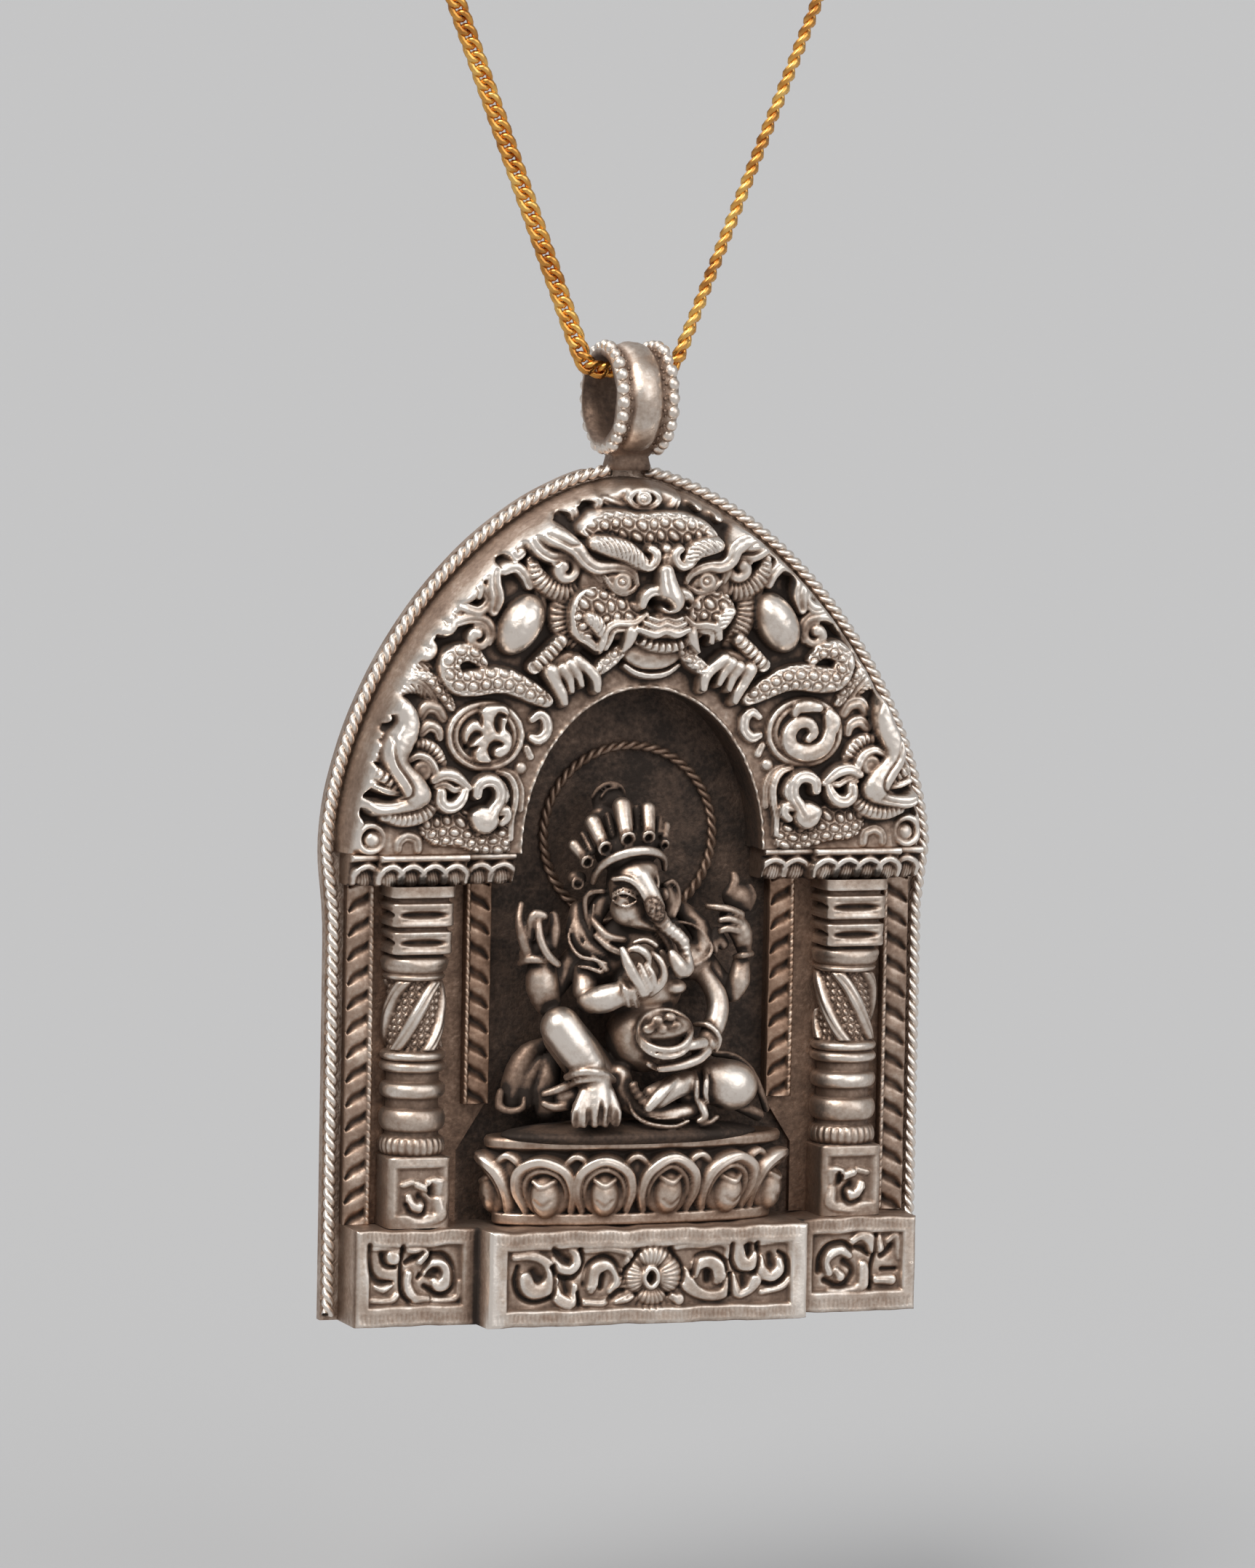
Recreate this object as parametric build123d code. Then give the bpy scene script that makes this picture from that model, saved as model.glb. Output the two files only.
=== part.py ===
"""A silver shrine pendant with a seated elephant-headed figure, hung on its chain.

The pendant is modelled first in its own frame, in millimetres: X to the right, Y to the back
with the back face of the plate at Y = 0, Z up from the underside of the plinth. When the
pieces are written they are moved so that the origin is where the chain hangs, at the nape.
"""
import os
from math import ceil, cos, pi, radians, sin, sqrt, tan

from build123d import *

os.makedirs("parts", exist_ok=True)

# Plate and twisted wires
PLATE_THICKNESS = 0.8
PLATE_HALF_WIDTH = 23.9
SHOULDER_HALF_WIDTH = 24.5
ARCH_RISE = 29.4
ARCH_FULLNESS = 1.7
ARCH_LEAN = 1.0
RIM_WIRE = 1.3
HALO_RADIUS = 6.8
HALO_WIRE = 0.8
HALO_RISE = 1.0

# Plinth
PLINTH_HALF_WIDTH = 22.5
PLINTH_HEIGHT = 7.4
PLINTH_DEPTH = 4.7
MIDDLE_HALF_WIDTH = 12.8
MIDDLE_DEPTH = 7.2
FRAME_WIDTH = 1.0
PANEL_RECESS = 0.7

# Columns, from the plinth up to the capitals
COLUMN_HEIGHT = 25.9
COLUMN_X = 17.35
COLUMN_RADIUS = 2.55
COLUMN_FRONT = 4.1
PANEL_THICKNESS = 0.6
STRIP_THICKNESS = 0.7
STRIP_WIDTH = 2.0
STRIP_NOTCHES = 11
NICHE_HALF_WIDTH = 11.2
NICHE_FLARE = 2.3
NICHE_FLARE_HEIGHT = 9.0

# Capitals
CAPITAL_HEIGHT = 2.4
CAPITAL_HALF_WIDTH = 22.9
CAPITAL_INNER = 10.0
CAPITAL_DEPTH = 4.4
CAPITAL_STEP = 0.7
CAPITAL_MIDDLE_WIDTH = 7.0
PETAL_WIDTH = 1.5

# Arch relief
WALL_DEPTH = 2.4
GROUND_DEPTH = 4.2
WALL_SET_IN = 0.5
GROUND_SET_IN = 3.2
SHEET_THICKNESS = 0.7
ARCH_OPENING_HALF_WIDTH = 9.6
ARCH_OPENING_RISE = 12.4
RIM_CLEARANCE = 0.1

# Lotus throne and figure
LOTUS_HALF_WIDTH = 12.3
LOTUS_DEPTH = 6.7
LOTUS_HEIGHT = 6.7
LOTUS_PETALS = 7
FIGURE_HEIGHT = 26.0
FIGURE_DEPTH = 7.0
FIGURE_BACK_GAP = 1.1

# Bail
BAIL_LENGTH = 4.8
BAIL_BORE_DEPTH = 7.8
BAIL_BORE_HEIGHT = 6.5
BAIL_WALL = 0.65
BAIL_BAND = 0.25
BAIL_BEAD = 1.0
BAIL_FOOT_WIDTH = 4.8
BAIL_FOOT_HEIGHT = 1.6
BAIL_FOOT_DEPTH = 2.6
BAIL_FOOT_OVERHANG = 1.2
BAIL_SET_BACK = 1.3
BAIL_OFF_CENTRE = 0.6

# Chain and clasp
CHAIN_DIAMETER = 1.6
CHAIN_CLEARANCE = 0.3
CHAIN_BEND = 1.6
CLASP_LENGTH = 7.0
CLASP_DIAMETER = 3.0

# Corners of the right half of the chain's route, as (x, z) from the middle of the bail
CHAIN_ROUTE = [
    (3.5, 0.0),
    (20.0, 42.0),
    (34.0, 81.6),
    (43.6, 116.4),
    (46.2, 142.4),
    (42.0, 163.0),
    (33.0, 178.6),
    (20.0, 189.6),
    (9.6, 193.3),
]

# Levels and planes that follow from the sizes above
COLUMN_FOOT = PLINTH_HEIGHT
CAPITAL_FOOT = COLUMN_FOOT + COLUMN_HEIGHT
SPRING = CAPITAL_FOOT + CAPITAL_HEIGHT
PLATE_TOP = SPRING + ARCH_RISE
SEAT_TOP = PLINTH_HEIGHT + LOTUS_HEIGHT
FACE = -PLATE_THICKNESS
HALO_Z = SPRING + HALO_RISE
FOOT_SEAT = PLATE_TOP - BAIL_FOOT_WIDTH / 8
OUTER_STRIP_X = PLATE_HALF_WIDTH - RIM_WIRE - RIM_CLEARANCE - STRIP_WIDTH
BAIL_OUTER_HEIGHT = BAIL_BORE_HEIGHT + 2 * BAIL_WALL
BAIL_Z = FOOT_SEAT + BAIL_FOOT_HEIGHT + BAIL_OUTER_HEIGHT / 2
CHAIN_Z = BAIL_Z + BAIL_BORE_HEIGHT / 2 - CHAIN_CLEARANCE - CHAIN_DIAMETER / 2
LOOP_TOP = CHAIN_Z + CHAIN_ROUTE[-1][1]
HANG = Vector(-BAIL_OFF_CENTRE, -BAIL_SET_BACK, LOOP_TOP - CLASP_DIAMETER / 2)

# The relief and the figure are drawn at these sizes, and stretch with the field that holds them
DRAWN_ARCH = (24.5, 4.2, 29.4)
DRAWN_FIGURE = (12.3, 7.0, 26.0)
ARCH_X = SHOULDER_HALF_WIDTH / DRAWN_ARCH[0]
ARCH_Y = GROUND_DEPTH / DRAWN_ARCH[1]
ARCH_Z = ARCH_RISE / DRAWN_ARCH[2]
FIGURE_X = LOTUS_HALF_WIDTH / DRAWN_FIGURE[0]
FIGURE_Y = FIGURE_DEPTH / DRAWN_FIGURE[1]
FIGURE_Z = FIGURE_HEIGHT / DRAWN_FIGURE[2]


def fuse(shapes):
    """All the shapes as one solid."""
    return shapes[0].fuse(*shapes[1:])


def block(x0, x1, y0, y1, z0, z1):
    """A box between two corners, given in any order."""
    size = (abs(x1 - x0), abs(y1 - y0), abs(z1 - z0))
    return Pos((x0 + x1) / 2, (y0 + y1) / 2, (z0 + z1) / 2) * Box(*size)


def ball(x, y, z, radius):
    return Pos(x, y, z) * Sphere(radius)


def limb(start, end, start_radius, end_radius):
    """Two balls and the cone that touches both, as one turned solid."""
    start = Vector(*start)
    end = Vector(*end)
    length = (end - start).length
    if length <= abs(start_radius - end_radius) * 1.02:
        return Pos(start) * Sphere(max(start_radius, end_radius))
    lean = (start_radius - end_radius) / length
    wide = sqrt(1 - lean * lean)
    low = (start_radius * wide, start_radius * lean)
    high = (end_radius * wide, length + end_radius * lean)
    half = sqrt((1 + lean) / 2)
    half_low = (start_radius * half, -start_radius * sqrt(1 - half * half))
    half = sqrt((1 - lean) / 2)
    half_high = (end_radius * half, length + end_radius * sqrt(1 - half * half))
    bottom = (0, -start_radius)
    top = (0, length + end_radius)
    outline = [
        ThreePointArc(bottom, half_low, low),
        Line(low, high),
        ThreePointArc(high, half_high, top),
        Line(top, bottom),
    ]
    profile = Plane.XZ * make_face(outline)
    turned = revolve(profile, Axis.Z)
    return Plane(origin=start, z_dir=end - start).location * turned


def string(points, thin=0.94):
    """Limbs through a row of (x, y, z, radius) points, each joint a shade thinner on one side."""
    pieces = []
    for (x0, y0, z0, r0), (x1, y1, z1, r1) in zip(points, points[1:]):
        pieces.append(limb((x0, y0, z0), (x1, y1, z1), r0 * thin, r1))
    return pieces


def scroll(x, y, z, radius, wire, turn, handed):
    """A flat spiral of three half circles, its outer end turned by an angle from +X."""
    shares = [1.0, 0.68, 0.42]
    arcs = []
    here = radius
    side = 1
    for share in shares:
        size = radius * share
        middle = here - side * size
        far = here - 2 * side * size
        arcs.append(ThreePointArc((here, 0), (middle, side * size), (far, 0)))
        here = far
        side = -side
    path = Wire(arcs)
    facing = Plane(origin=(x, y, z), x_dir=(1, 0, 0), z_dir=(0, -1, 0))
    if handed < 0:
        path = path.mirror(Plane.YZ)
    path = facing.location * (Rot(0, 0, turn) * path)
    section = Plane(origin=path @ 0, z_dir=path % 0) * Circle(wire)
    return [sweep(section, path), ball(*(path @ 1), wire * 1.5), ball(*(path @ 0), wire * 1.1)]


def mirrored(shape):
    return shape.mirror(Plane.YZ)


def tangent_radii(points, share=0.45):
    """Fillet radii for the inner points of a route, each as large as its runs allow."""
    radii = []
    for before, corner, after in zip(points, points[1:], points[2:]):
        inward = Vector(*corner) - Vector(*before)
        onward = Vector(*after) - Vector(*corner)
        half_turn = radians(inward.get_angle(onward)) / 2
        radii.append(share * min(inward.length, onward.length) / tan(half_turn))
    return radii


def lean_at(z):
    """How far the arch's outline has drifted to the left at a height."""
    return ARCH_LEAN * max(0, z - SPRING) / ARCH_RISE


def shrine_outline(set_in, foot=0.0, sides=True):
    """Open path up the right side, over the arch and down the left, a distance inside the edge."""
    steps = 8
    rise = ARCH_RISE - set_in
    half = SHOULDER_HALF_WIDTH - set_in
    right = []
    if sides:
        right.append((PLATE_HALF_WIDTH - set_in, foot))
        right.append((PLATE_HALF_WIDTH - set_in, CAPITAL_FOOT - CAPITAL_HEIGHT))
    for step in range(steps):
        angle = step / steps * pi / 2
        x = half * cos(angle) ** (2 / ARCH_FULLNESS)
        z = SPRING + rise * sin(angle) ** (2 / ARCH_FULLNESS)
        right.append((x, z))
    left = [(-x, z) for x, z in reversed(right)]
    upright = right + [(0, SPRING + rise)] + left
    points = [(x - lean_at(z), z) for x, z in upright]
    return FilletPolyline(*points, radius=tangent_radii(points))


def upright_face(path, y):
    """The face inside an open path closed by a straight line, set upright at a depth."""
    face = make_face([path, Line(path @ 1, path @ 0)])
    return Plane(origin=(0, y, 0), x_dir=(1, 0, 0), z_dir=(0, -1, 0)) * face


def panel_recess(x0, x1, z0, z1, front):
    """The pocket of a framed panel, with the frame's width left all round."""
    return block(x0 + FRAME_WIDTH, x1 - FRAME_WIDTH, front, front + PANEL_RECESS,
                 z0 + FRAME_WIDTH, z1 - FRAME_WIDTH)


def make_back_plate():
    plate = extrude(upright_face(shrine_outline(0), 0), PLATE_THICKNESS)
    reach = PLATE_HALF_WIDTH * 2
    return plate - block(-reach, reach, -reach, reach, FOOT_SEAT, FOOT_SEAT + reach)


def make_rim_ropes():
    """The right and left twisted wires, flattened where they are soldered to the plate."""
    inset = RIM_WIRE / 2
    path = shrine_outline(inset, foot=inset)
    centre = FACE - RIM_WIRE * 0.4
    path = Plane(origin=(0, centre, 0), x_dir=(1, 0, 0), z_dir=(0, -1, 0)).location * path
    section = Plane(origin=path @ 0, z_dir=path % 0) * Circle(RIM_WIRE / 2)
    rope = sweep(section, path)
    reach = PLATE_TOP * 2
    foot_left, foot_right = bail_foot_span()
    right = rope & block(foot_right + RIM_CLEARANCE, reach, FACE, -reach, 0, reach)
    left = rope & block(foot_left - RIM_CLEARANCE, -reach, FACE, -reach, 0, reach)
    return right, left


def make_halo_rope():
    ring = Rot(90, 0, 0) * Torus(HALO_RADIUS, HALO_WIRE / 2)
    ring = Pos(0, FACE - HALO_WIRE * 0.3, HALO_Z) * ring
    reach = HALO_RADIUS * 2
    low = HALO_Z - reach
    return ring & block(-reach, reach, FACE, FACE - HALO_WIRE, low, low + 2 * reach)


def scroll_panel(x0, x1, z0, z1, front, scrolls):
    """Scrolls on the floor of a framed panel; each is (x share, z share, radius share, turn, hand)."""
    pieces = []
    floor = front + PANEL_RECESS
    for across, up, size, turn, handed in scrolls:
        x = x0 + across * (x1 - x0)
        z = z0 + up * (z1 - z0)
        radius = size * (z1 - z0)
        pieces += scroll(x, floor - radius * 0.1, z, radius, radius * 0.26, turn, handed)
    return pieces


# Scrolls of the right side block and the right half of the middle block, in shares of the panel:
# x share, z share, radius share, turn of the outer end, hand
SIDE_SCROLLS = [
    (0.35, 0.46, 0.24, 200, 1),
    (0.72, 0.60, 0.15, 20, -1),
]
MIDDLE_SCROLLS = [
    (0.21, 0.50, 0.17, 120, 1),
    (0.36, 0.50, 0.17, -60, -1),
    (0.64, 0.50, 0.17, 240, 1),
    (0.79, 0.50, 0.17, 60, -1),
]
FLOWER_PETALS = 8
FLOWER_RADIUS = 0.17


def make_plinth():
    side_front = FACE - PLINTH_DEPTH
    middle_front = FACE - MIDDLE_DEPTH
    body = fuse([
        block(-PLINTH_HALF_WIDTH, PLINTH_HALF_WIDTH, FACE, side_front, 0, PLINTH_HEIGHT),
        block(-MIDDLE_HALF_WIDTH, MIDDLE_HALF_WIDTH, FACE, middle_front, 0, PLINTH_HEIGHT),
    ])
    side = (MIDDLE_HALF_WIDTH, PLINTH_HALF_WIDTH, 0, PLINTH_HEIGHT, side_front)
    middle = (-MIDDLE_HALF_WIDTH, MIDDLE_HALF_WIDTH, 0, PLINTH_HEIGHT, middle_front)
    body -= panel_recess(*side)
    body -= mirrored(panel_recess(*side))
    body -= panel_recess(*middle)
    right = fuse(scroll_panel(*side, SIDE_SCROLLS))
    carving = [right, mirrored(right)] + scroll_panel(*middle, MIDDLE_SCROLLS)
    floor = middle_front + PANEL_RECESS
    petal = FLOWER_RADIUS * PLINTH_HEIGHT
    for count in range(FLOWER_PETALS):
        angle = 2 * pi * count / FLOWER_PETALS
        x = petal * cos(angle)
        z = PLINTH_HEIGHT / 2 + petal * sin(angle)
        carving.append(ball(x, floor, z, petal * 0.48))
    eye = Pos(0, floor, PLINTH_HEIGHT / 2) * Rot(90, 0, 0) * Torus(petal * 0.5, petal * 0.26)
    carving.append(eye)
    body = fuse([body] + carving)
    shell = SHEET_THICKNESS + PANEL_RECESS
    hollow = block(shell - PLINTH_HALF_WIDTH, PLINTH_HALF_WIDTH - shell, FACE, side_front + shell,
                   shell, PLINTH_HEIGHT - shell)
    return body - hollow


def niche_edge():
    """Points down the niche's right edge, from the capital to the plinth."""
    flare_x = NICHE_HALF_WIDTH + NICHE_FLARE
    return [
        (NICHE_HALF_WIDTH, CAPITAL_FOOT),
        (NICHE_HALF_WIDTH, COLUMN_FOOT + NICHE_FLARE_HEIGHT),
        (flare_x, COLUMN_FOOT + NICHE_FLARE_HEIGHT * 0.6),
        (flare_x, COLUMN_FOOT),
    ]


def make_side_panel():
    outer = PLATE_HALF_WIDTH - RIM_WIRE - RIM_CLEARANCE
    outline = niche_edge() + [(outer, COLUMN_FOOT), (outer, CAPITAL_FOOT)]
    face = make_face(Polyline(*outline, close=True))
    upright = Plane(origin=(0, FACE, 0), x_dir=(1, 0, 0), z_dir=(0, -1, 0)) * face
    return extrude(upright, PANEL_THICKNESS)


def make_strip(inner_x, foot, lean):
    """A notched strip: a flat bar with slanting saw-tooth steps along its length."""
    top = CAPITAL_FOOT
    back = FACE - PANEL_THICKNESS
    bar = block(inner_x, inner_x + STRIP_WIDTH, back, back - STRIP_THICKNESS * 0.5, foot, top)
    pitch = (top - foot) / STRIP_NOTCHES
    tooth = make_face(Polyline(
        (inner_x, 0.04 * pitch),
        (inner_x + STRIP_WIDTH, 0.40 * pitch),
        (inner_x + STRIP_WIDTH, 0.96 * pitch),
        (inner_x, 0.60 * pitch),
        close=True,
    ))
    teeth = []
    for count in range(STRIP_NOTCHES):
        spot = Plane(origin=(0, back, foot + count * pitch), x_dir=(1, 0, 0), z_dir=(0, -1, 0))
        teeth.append(extrude(spot * tooth, STRIP_THICKNESS))
    strip = fuse([bar] + teeth)
    if lean < 0:
        middle = Plane(origin=(inner_x + STRIP_WIDTH / 2, 0, 0), z_dir=(1, 0, 0))
        strip = strip.mirror(middle)
    return strip


# Turned members of a pillar, as shares of the column's height and radius:
# foot, top, edge radius, belly radius
PILLAR_RINGS = [
    (0.200, 0.275, 0.88, 0.98),
    (0.275, 0.368, 0.80, 1.00),
    (0.368, 0.438, 0.80, 1.00),
    (0.438, 0.466, 0.86, 0.90),
    (0.466, 0.497, 0.90, 0.98),
    (0.497, 0.528, 0.90, 1.00),
    (0.528, 0.744, 0.82, 0.88),
    (0.744, 0.768, 0.90, 1.00),
    (0.768, 0.826, 0.84, 0.98),
]
# Square blocks: foot, top, half width, how far the face is set back
PILLAR_BLOCKS = [
    (0.826, 0.890, 1.00, 0.00),
    (0.890, 0.902, 0.86, 0.14),
    (0.902, 0.966, 1.00, 0.00),
    (0.966, 1.000, 1.04, 0.00),
]
PILLAR_SLOTS = [(0.826, 0.890), (0.902, 0.966)]
DRUM_BANDS = 3
PEDESTAL_SHARE = 0.200
SLOT_DEPTH = 0.35


def turned_column():
    """The turned members of a pillar, one outline turned about the upright axis."""
    foot = COLUMN_FOOT + PILLAR_RINGS[0][0] * COLUMN_HEIGHT
    outline = []
    last = (0, foot)
    for low, high, edge, belly in PILLAR_RINGS:
        z0 = COLUMN_FOOT + low * COLUMN_HEIGHT
        z1 = COLUMN_FOOT + high * COLUMN_HEIGHT
        start = (edge * COLUMN_RADIUS, z0)
        end = (edge * COLUMN_RADIUS, z1)
        if start != last:
            outline.append(Line(last, start))
        outline.append(ThreePointArc(start, (belly * COLUMN_RADIUS, (z0 + z1) / 2), end))
        last = end
    outline.append(Line(last, (0, last[1])))
    outline.append(Line((0, last[1]), (0, foot)))
    return revolve(Plane.XZ * make_face(outline), Axis.Z)


def make_pillar():
    """The right pillar: turned members cut flat behind, slotted blocks and a scroll pedestal."""
    back = FACE - PANEL_THICKNESS
    front = FACE - COLUMN_FRONT
    axis_y = front + COLUMN_RADIUS
    top = COLUMN_FOOT + COLUMN_HEIGHT
    pillar = Pos(COLUMN_X, axis_y, 0) * turned_column()
    for rod in drum_bands(axis_y):
        pillar += rod
    for low, high, half, recess in PILLAR_BLOCKS:
        z0 = COLUMN_FOOT + low * COLUMN_HEIGHT
        z1 = COLUMN_FOOT + high * COLUMN_HEIGHT
        half_x = half * COLUMN_RADIUS
        face = front + recess * COLUMN_RADIUS
        pillar += block(COLUMN_X - half_x, COLUMN_X + half_x, back, face, z0, z1)
    for low, high in PILLAR_SLOTS:
        z = COLUMN_FOOT + (low + high) / 2 * COLUMN_HEIGHT
        reach = COLUMN_RADIUS * 0.7
        ends = ((COLUMN_X - reach, front, z), (COLUMN_X + reach, front, z))
        pillar -= limb(*ends, SLOT_DEPTH, SLOT_DEPTH)
    pillar += pedestal(back, front)
    size = PLATE_TOP
    return pillar & block(0, size, back, -size, COLUMN_FOOT, top)


def pedestal(back, front):
    """The pillar's square foot, with a scroll in a pocket on its front."""
    left = COLUMN_X - COLUMN_RADIUS
    right = COLUMN_X + COLUMN_RADIUS
    top = COLUMN_FOOT + PEDESTAL_SHARE * COLUMN_HEIGHT
    frame = FRAME_WIDTH * 0.7
    face = front - FRAME_WIDTH * 0.3
    floor = face + PANEL_RECESS
    body = block(left, right, back, face, COLUMN_FOOT, top)
    body -= block(left + frame, right - frame, face, floor, COLUMN_FOOT + frame, top - frame)
    curl = COLUMN_RADIUS * 0.5
    for piece in scroll(COLUMN_X, floor, (COLUMN_FOOT + top) / 2, curl, curl * 0.24, 200, 1):
        body += piece
    return body


def drum_bands(axis_y):
    """Slanting rods round the front of the drum, between the rings."""
    low = COLUMN_FOOT + 0.528 * COLUMN_HEIGHT
    high = COLUMN_FOOT + 0.744 * COLUMN_HEIGHT
    radius = COLUMN_RADIUS * 0.80
    rod = COLUMN_RADIUS * 0.19
    bands = []
    steps = 4
    for band in range(DRUM_BANDS):
        first = radians(-150 + band * 50)
        points = []
        for step in range(steps + 1):
            angle = first + radians(75) * step / steps
            z = high - (high - low) * step / steps
            points.append((COLUMN_X + radius * cos(angle), axis_y + radius * sin(angle), z, rod))
        bands += string(points)
    return bands


def make_capital():
    """The right capital: three steps of lotus petals, the middle one over the pillar forward."""
    front = FACE - CAPITAL_DEPTH + CAPITAL_STEP
    forward = FACE - CAPITAL_DEPTH
    low = CAPITAL_FOOT
    high = SPRING
    half = CAPITAL_MIDDLE_WIDTH / 2
    pieces = [
        block(CAPITAL_INNER, CAPITAL_HALF_WIDTH, FACE, front, low, high),
        block(COLUMN_X - half, COLUMN_X + half, FACE, forward, low, high),
    ]
    spans = [
        (CAPITAL_INNER, COLUMN_X - half, front),
        (COLUMN_X - half, COLUMN_X + half, forward),
        (COLUMN_X + half, CAPITAL_HALF_WIDTH, front),
    ]
    petal_z = low + CAPITAL_HEIGHT * 0.36
    for start, end, face in spans:
        count = max(1, round((end - start) / PETAL_WIDTH))
        pitch = (end - start) / count
        for number in range(count):
            x = start + (number + 0.5) * pitch
            petal = Pos(x, face, petal_z) * Rot(90, 0, 0) * Cylinder(pitch * 0.44, CAPITAL_STEP)
            pieces.append(petal)
            pieces.append(ball(x, face - CAPITAL_STEP * 0.35, petal_z, pitch * 0.25))
    lip = CAPITAL_HEIGHT * 0.2
    pieces.append(block(COLUMN_X - half, COLUMN_X + half, FACE, forward - lip, high - lip, high))
    pieces.append(block(CAPITAL_INNER, CAPITAL_HALF_WIDTH, FACE, front - lip, high - lip, high))
    size = PLATE_TOP
    return fuse(pieces) & block(0, size, FACE, -size, low, high)


# The arch's relief on its right half. x and z are millimetres of the drawn size, from the middle
# and from the spring of the arch; out is the distance from the plate's face; r is the radius.
# Each limb runs from one point to the next in its row: x, z, out, r.
FACE_OF_GLORY = {
    "forehead": [(-3.6, 24.3, 4.2, 2.2), (3.6, 24.3, 4.2, 2.2)],
    "nose": [(0, 22.6, 6.4, 0.8), (0, 18.9, 7.8, 1.15)],
    "lip": [(-2.4, 17.1, 5.9, 0.75), (2.4, 17.1, 5.9, 0.75)],
    "tongue": [(-1.0, 14.6, 4.6, 1.2), (1.0, 14.6, 4.6, 1.2)],
    "crescent_left": [(-3.0, 26.9, 3.2, 0.5), (0, 26.3, 3.8, 0.6)],
    "crescent_right": [(0, 26.3, 3.8, 0.6), (3.0, 26.9, 3.2, 0.5)],
}
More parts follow.
